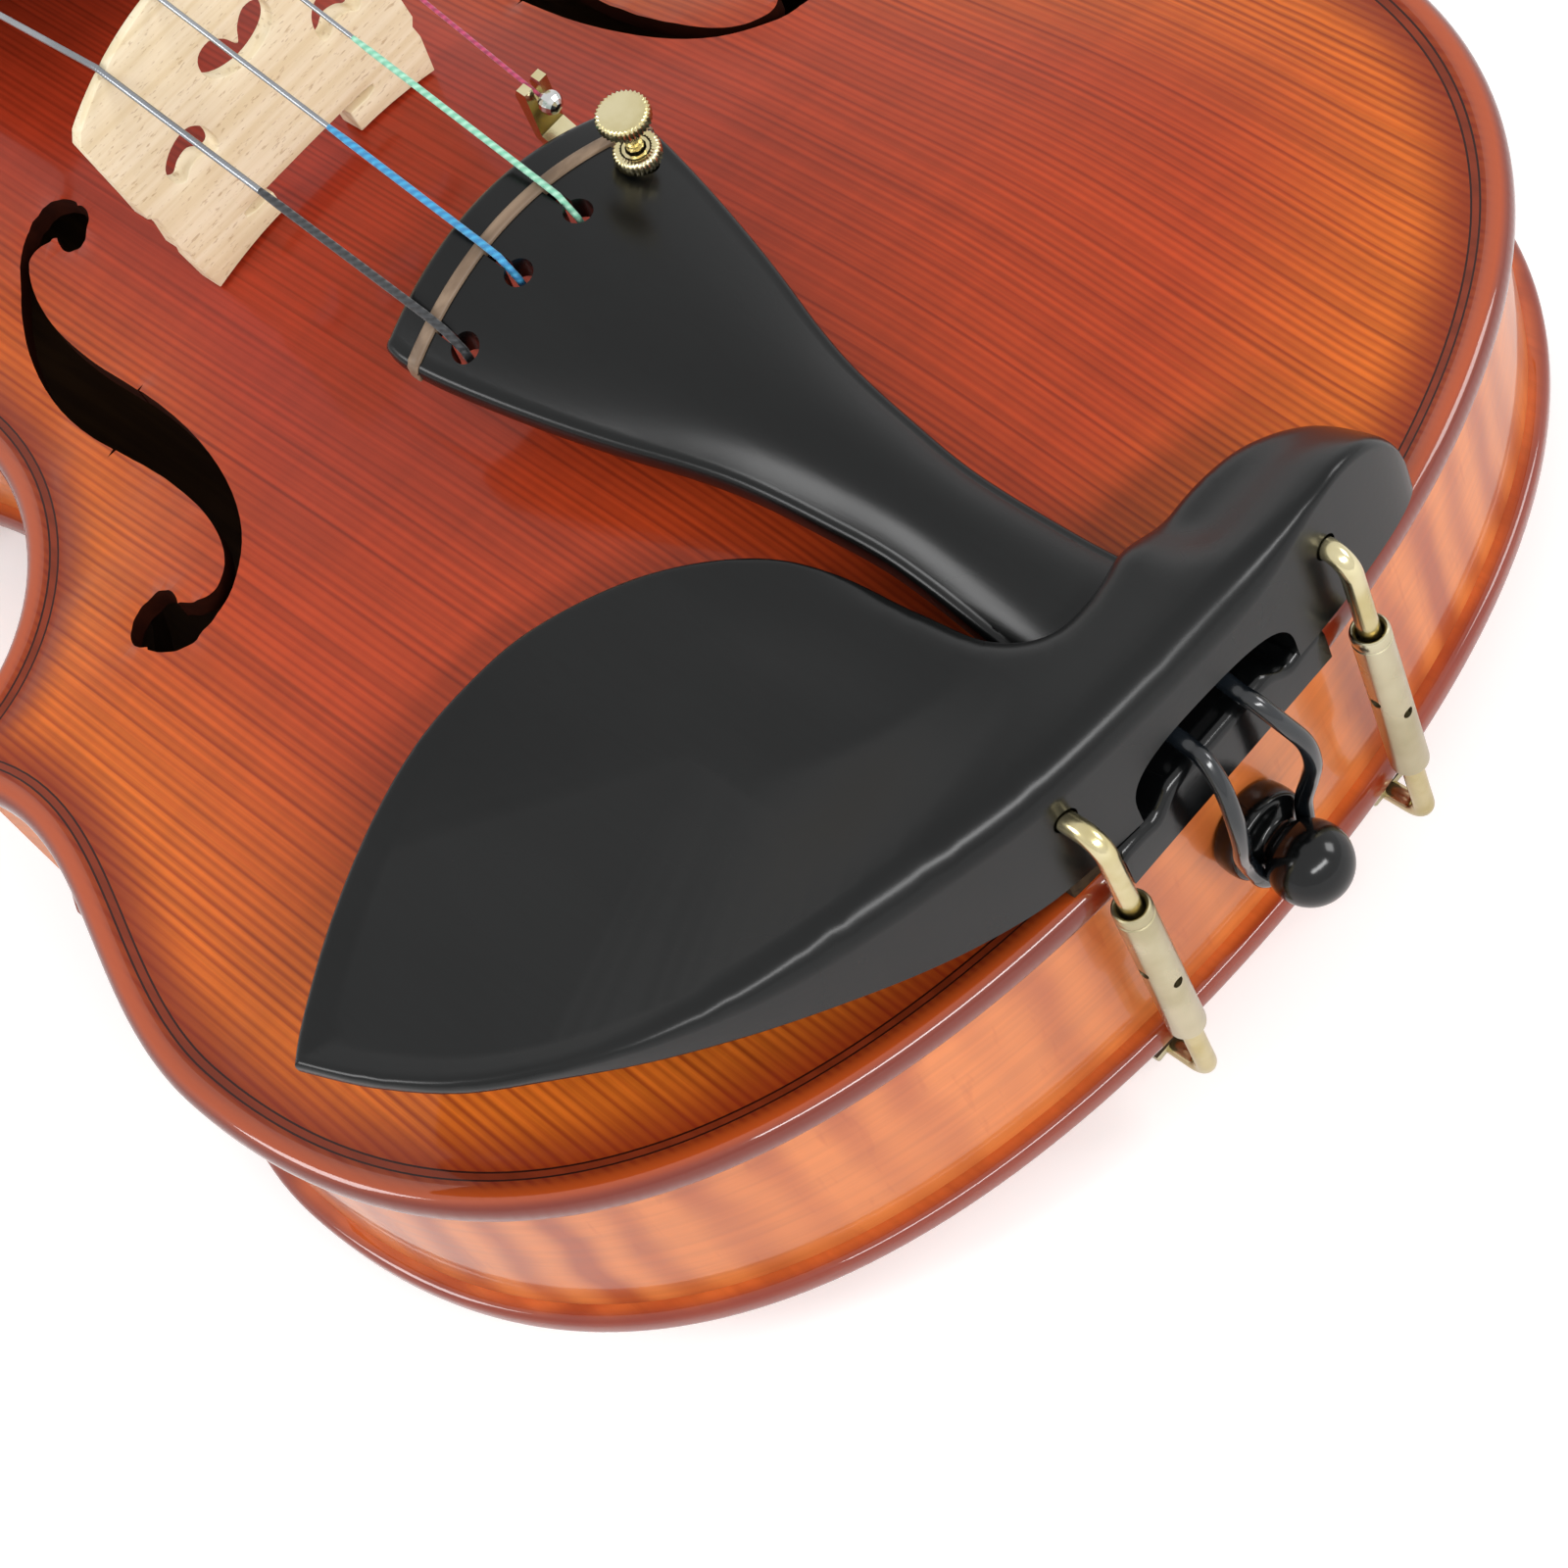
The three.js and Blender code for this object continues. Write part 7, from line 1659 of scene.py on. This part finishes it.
def make_peg(name, side, order, k):
    run = peg_run(order)
    middle = neck_point(0, run, -peg_drop(run))
    frame_m = axis_frame(middle, (side, 0, 0), NECK[:3, 1])
    body = f"{name}_peg"
    build(f"{body}_fine", moved(peg_part(float(pegbox_half(run))), frame_m), [EBONY], body=body)
    frame_m = at_point(NECK, 0, run, -peg_drop(run))
    build(f"{name}_winding_fine", moved(winding_part(side, order, k), frame_m), [SILK[name]],
          f"{name}_string_winding", body=body, sharp=60)


def string_path(name, side, order, k):
    """The string's corners: its winding, the nut, the bridge and the tailpiece or the tuner's hook."""
    r = STRING_D[k] / 2
    start, pitch, radius = winding(side, order, k)
    nut_x, bridge_x, tail_x = (string_x(k, span) for span in (NUT_SPAN, BRIDGE_SPAN, TAIL_SPAN))
    end_x = start + side * pitch * -2
    nut_z = nut_top(nut_x) + r + GAP
    run = peg_run(order)
    peg = np.array([run, -peg_drop(run) + radius])
    nut = np.array([NECK_LENGTH + 5.8, nut_z - 1])
    way = (nut - peg) / np.linalg.norm(nut - peg)
    leave = peg + way * (4.2 + radius / 2)
    pts = [neck_point(end_x, *leave), neck_point(nut_x, *nut),
           neck_point(nut_x, NECK_LENGTH + GAP + NUT_THICK / 2, nut_z),
           np.array([bridge_x, BRIDGE_Y, bridge_top(bridge_x) + r + GAP])]
    if name == "e":
        return pts + [tail_point(TUNER_X, BALL_RUN + BALL_RADIUS + GAP, BALL_HEIGHT)]
    fret_top = tp_top(tail_x, FRET_RUN) + 0.5 + r + GAP
    bulge = TP_BULGE * (tail_x / tp_half(FRET_RUN)) ** 2
    return pts + [tail_point(tail_x, FRET_RUN - bulge, fret_top),
                  tail_point(tail_x, 101.2, fret_top - GAP - r),
                  tail_point(tail_x, 98.76, tp_top(tail_x, HOLE_RUN) * 0.75),
                  tail_point(tail_x, HOLE_RUN, tp_under(tail_x / tp_half(HOLE_RUN), HOLE_RUN))]


def make_string(name, side, order, k):
    r = STRING_D[k] / 2
    pts = string_path(name, side, order, k)
    dense = []
    for a, b in zip(pts, pts[1:]):
        n = max(2, int(np.linalg.norm(b - a) / 3))
        dense += [mix(a, b, i / n) for i in range(n)]
    dense = np.array([*dense, pts[-1]])
    silk = dense[:, 1] < pts[-1][1] + SILK_FROM[name]
    peg_silk = dense[:, 1] > BODY + NECK_LENGTH + 4
    part = tube(dense, np.where(silk | peg_silk, r + 0.1, r), STRING_SIDES, round_ends=False)
    fmat = []
    for face in part[1][:-2]:
        i = min(face) // STRING_SIDES
        fmat.append(int(silk[min(i + 1, len(silk) - 1)] or peg_silk[i]))
    build(f"{name}_string_fine", part, [STEEL if name == "e" else WOUND, SILK[name]],
          fmat=fmat + [1, 1], sharp=60)


for maker in (make_peg, make_string):
    for peg in PEGS:
        maker(*peg)

# nodes carried over from the frame

CARRIED = {
    "sound_post": SHADED_INNER_WOOD, "bass_bar": SHADED_INNER_WOOD, "lower_block": SHADED_INNER_WOOD, "upper_block": NECK_MAPLE,
    "tuner_frame": BRASS, "tuner_lever": BRASS, "e_string_ball": NICKEL,
}
for carried_side in ("bass", "treble"):
    CARRIED[f"lower_corner_block_{carried_side}"] = SHADED_INNER_WOOD
    CARRIED[f"upper_corner_block_{carried_side}"] = SHADED_INNER_WOOD
    CARRIED[f"chinrest_cork_{carried_side}"] = SHADED_CORK
    CARRIED[f"clamp_cork_{carried_side}"] = SHADED_CORK
for node_name, material in CARRIED.items():
    node_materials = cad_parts[node_name].data.materials
    node_materials.clear()
    node_materials.append(material)

# floor, light and camera, in metres

FLOOR_HALF = 6.0
WORLD_LIGHT = 0.55
FLOOR_GLOW_NEAR, FLOOR_GLOW_FAR = 0.22, 0.6
LAMPS = {  # place, target, size, power and, for a strip, its height
    "key": ((-0.2, -1.45, 0.95), (0, -0.2, 0.03), 1.3, 15.0, 0.22),
    "fill": ((1.1, -0.95, 0.8), (0, -0.2, 0.03), 0.5, 6.0, None),
    "side": ((-1.25, 0.4, 1.1), (0, -0.1, 0.03), 0.6, 11.0, None),
}


# the photo's camera, solved from the outline and the fittings: azimuth, elevation and roll in
# degrees, its target and distance in millimetres of the body, its focal length in pixels
CAMERA_TURN = (19.461, 53.895, -32.106)
CAMERA_TARGET, CAMERA_REACH = (-31.728, 41.383, 50.0), 379.684
FOCAL, PHOTO_HALF = 3334.482, 800


def make_floor():
    me = bpy.data.meshes.new("floor")
    s = FLOOR_HALF
    me.from_pydata([(-s, -s, 0), (s, -s, 0), (s, s, 0), (-s, s, 0)], [], [(0, 1, 2, 3)])
    floor = add_object("floor", me)
    n = new_material("floor_white")
    n.set(n.blend(n.noise((3, 3, 3), 2), (0.93, 0.93, 0.93, 1), (0.96, 0.96, 0.96, 1)), 0.9, spec=0.1)
    glow = n.node("ShaderNodeEmission")
    glow.inputs[0].default_value = (1, 1, 1, 1)
    # the lamps fall off away from the object, so the far floor glows more
    away = n.node("ShaderNodeVectorMath", operation="LENGTH")
    n.link(n.position(), away.inputs[0])
    level = n.span(away.outputs["Value"], 0.6, 2.0, FLOOR_GLOW_NEAR, FLOOR_GLOW_FAR)
    n.link(n.mul(n.node("ShaderNodeLightPath").outputs["Is Camera Ray"], level), glow.inputs[1])
    both = n.node("ShaderNodeAddShader")
    n.link(n.shader.outputs[0], both.inputs[0])
    n.link(glow.outputs[0], both.inputs[1])
    n.link(both.outputs[0], n.t.nodes["Material Output"].inputs[0])
    me.materials.append(n.mat)


def make_world():
    """White for the camera, in reflections and through glass; softer as light."""
    world = bpy.data.worlds.new("studio")
    bpy.context.scene.world = world
    n = Nodes(world)
    rays = n.node("ShaderNodeLightPath").outputs
    seen = n.math("MAXIMUM", rays["Is Camera Ray"], rays["Is Glossy Ray"])
    seen = n.math("MAXIMUM", seen, rays["Is Transmission Ray"])
    level = n.node("ShaderNodeMapRange")
    level.inputs[3].default_value = WORLD_LIGHT
    level.inputs[4].default_value = 1.0
    n.link(seen, level.inputs[0])
    background = n.t.nodes["Background"]
    n.link(level.outputs[0], background.inputs["Strength"])
    background.inputs["Color"].default_value = (1, 1, 1, 1)


def make_lamps():
    for name, (place_m, target, size, power, height) in LAMPS.items():
        data = bpy.data.lights.new(name, "AREA")
        data.energy, data.size = power, size
        if height:
            data.shape, data.size_y = "RECTANGLE", height
        ob = add_object(name, data)
        ob.location = place_m
        ob.rotation_euler = (Vector(target) - Vector(place_m)).to_track_quat("-Z", "Y").to_euler()


def make_camera():
    az, el, roll = map(math.radians, CAMERA_TURN)
    fwd = np.array([math.sin(az) * math.cos(el), math.cos(az) * math.cos(el), -math.sin(el)])
    level = np.array([math.cos(az), -math.sin(az), 0])
    up = np.cross(level, fwd)
    eye = place([np.array(CAMERA_TARGET) - fwd * CAMERA_REACH])[0]
    m = Matrix.Identity(4)
    columns = (math.cos(roll) * level + math.sin(roll) * up, -math.sin(roll) * level + math.cos(roll) * up,
               -fwd, eye)
    for k, column in enumerate(columns):
        for i in range(3):
            m[i][k] = column[i]
    cam = bpy.data.cameras.new("camera")
    cam.sensor_fit = "HORIZONTAL"
    cam.angle = 2 * math.atan(PHOTO_HALF / FOCAL)
    cam.clip_start, cam.clip_end = 0.01, 50
    ob = add_object("camera", cam)
    ob.matrix_world = m
    bpy.context.scene.camera = ob


make_floor()
make_world()
make_lamps()
make_camera()
bpy.context.scene.view_settings.view_transform = "Standard"
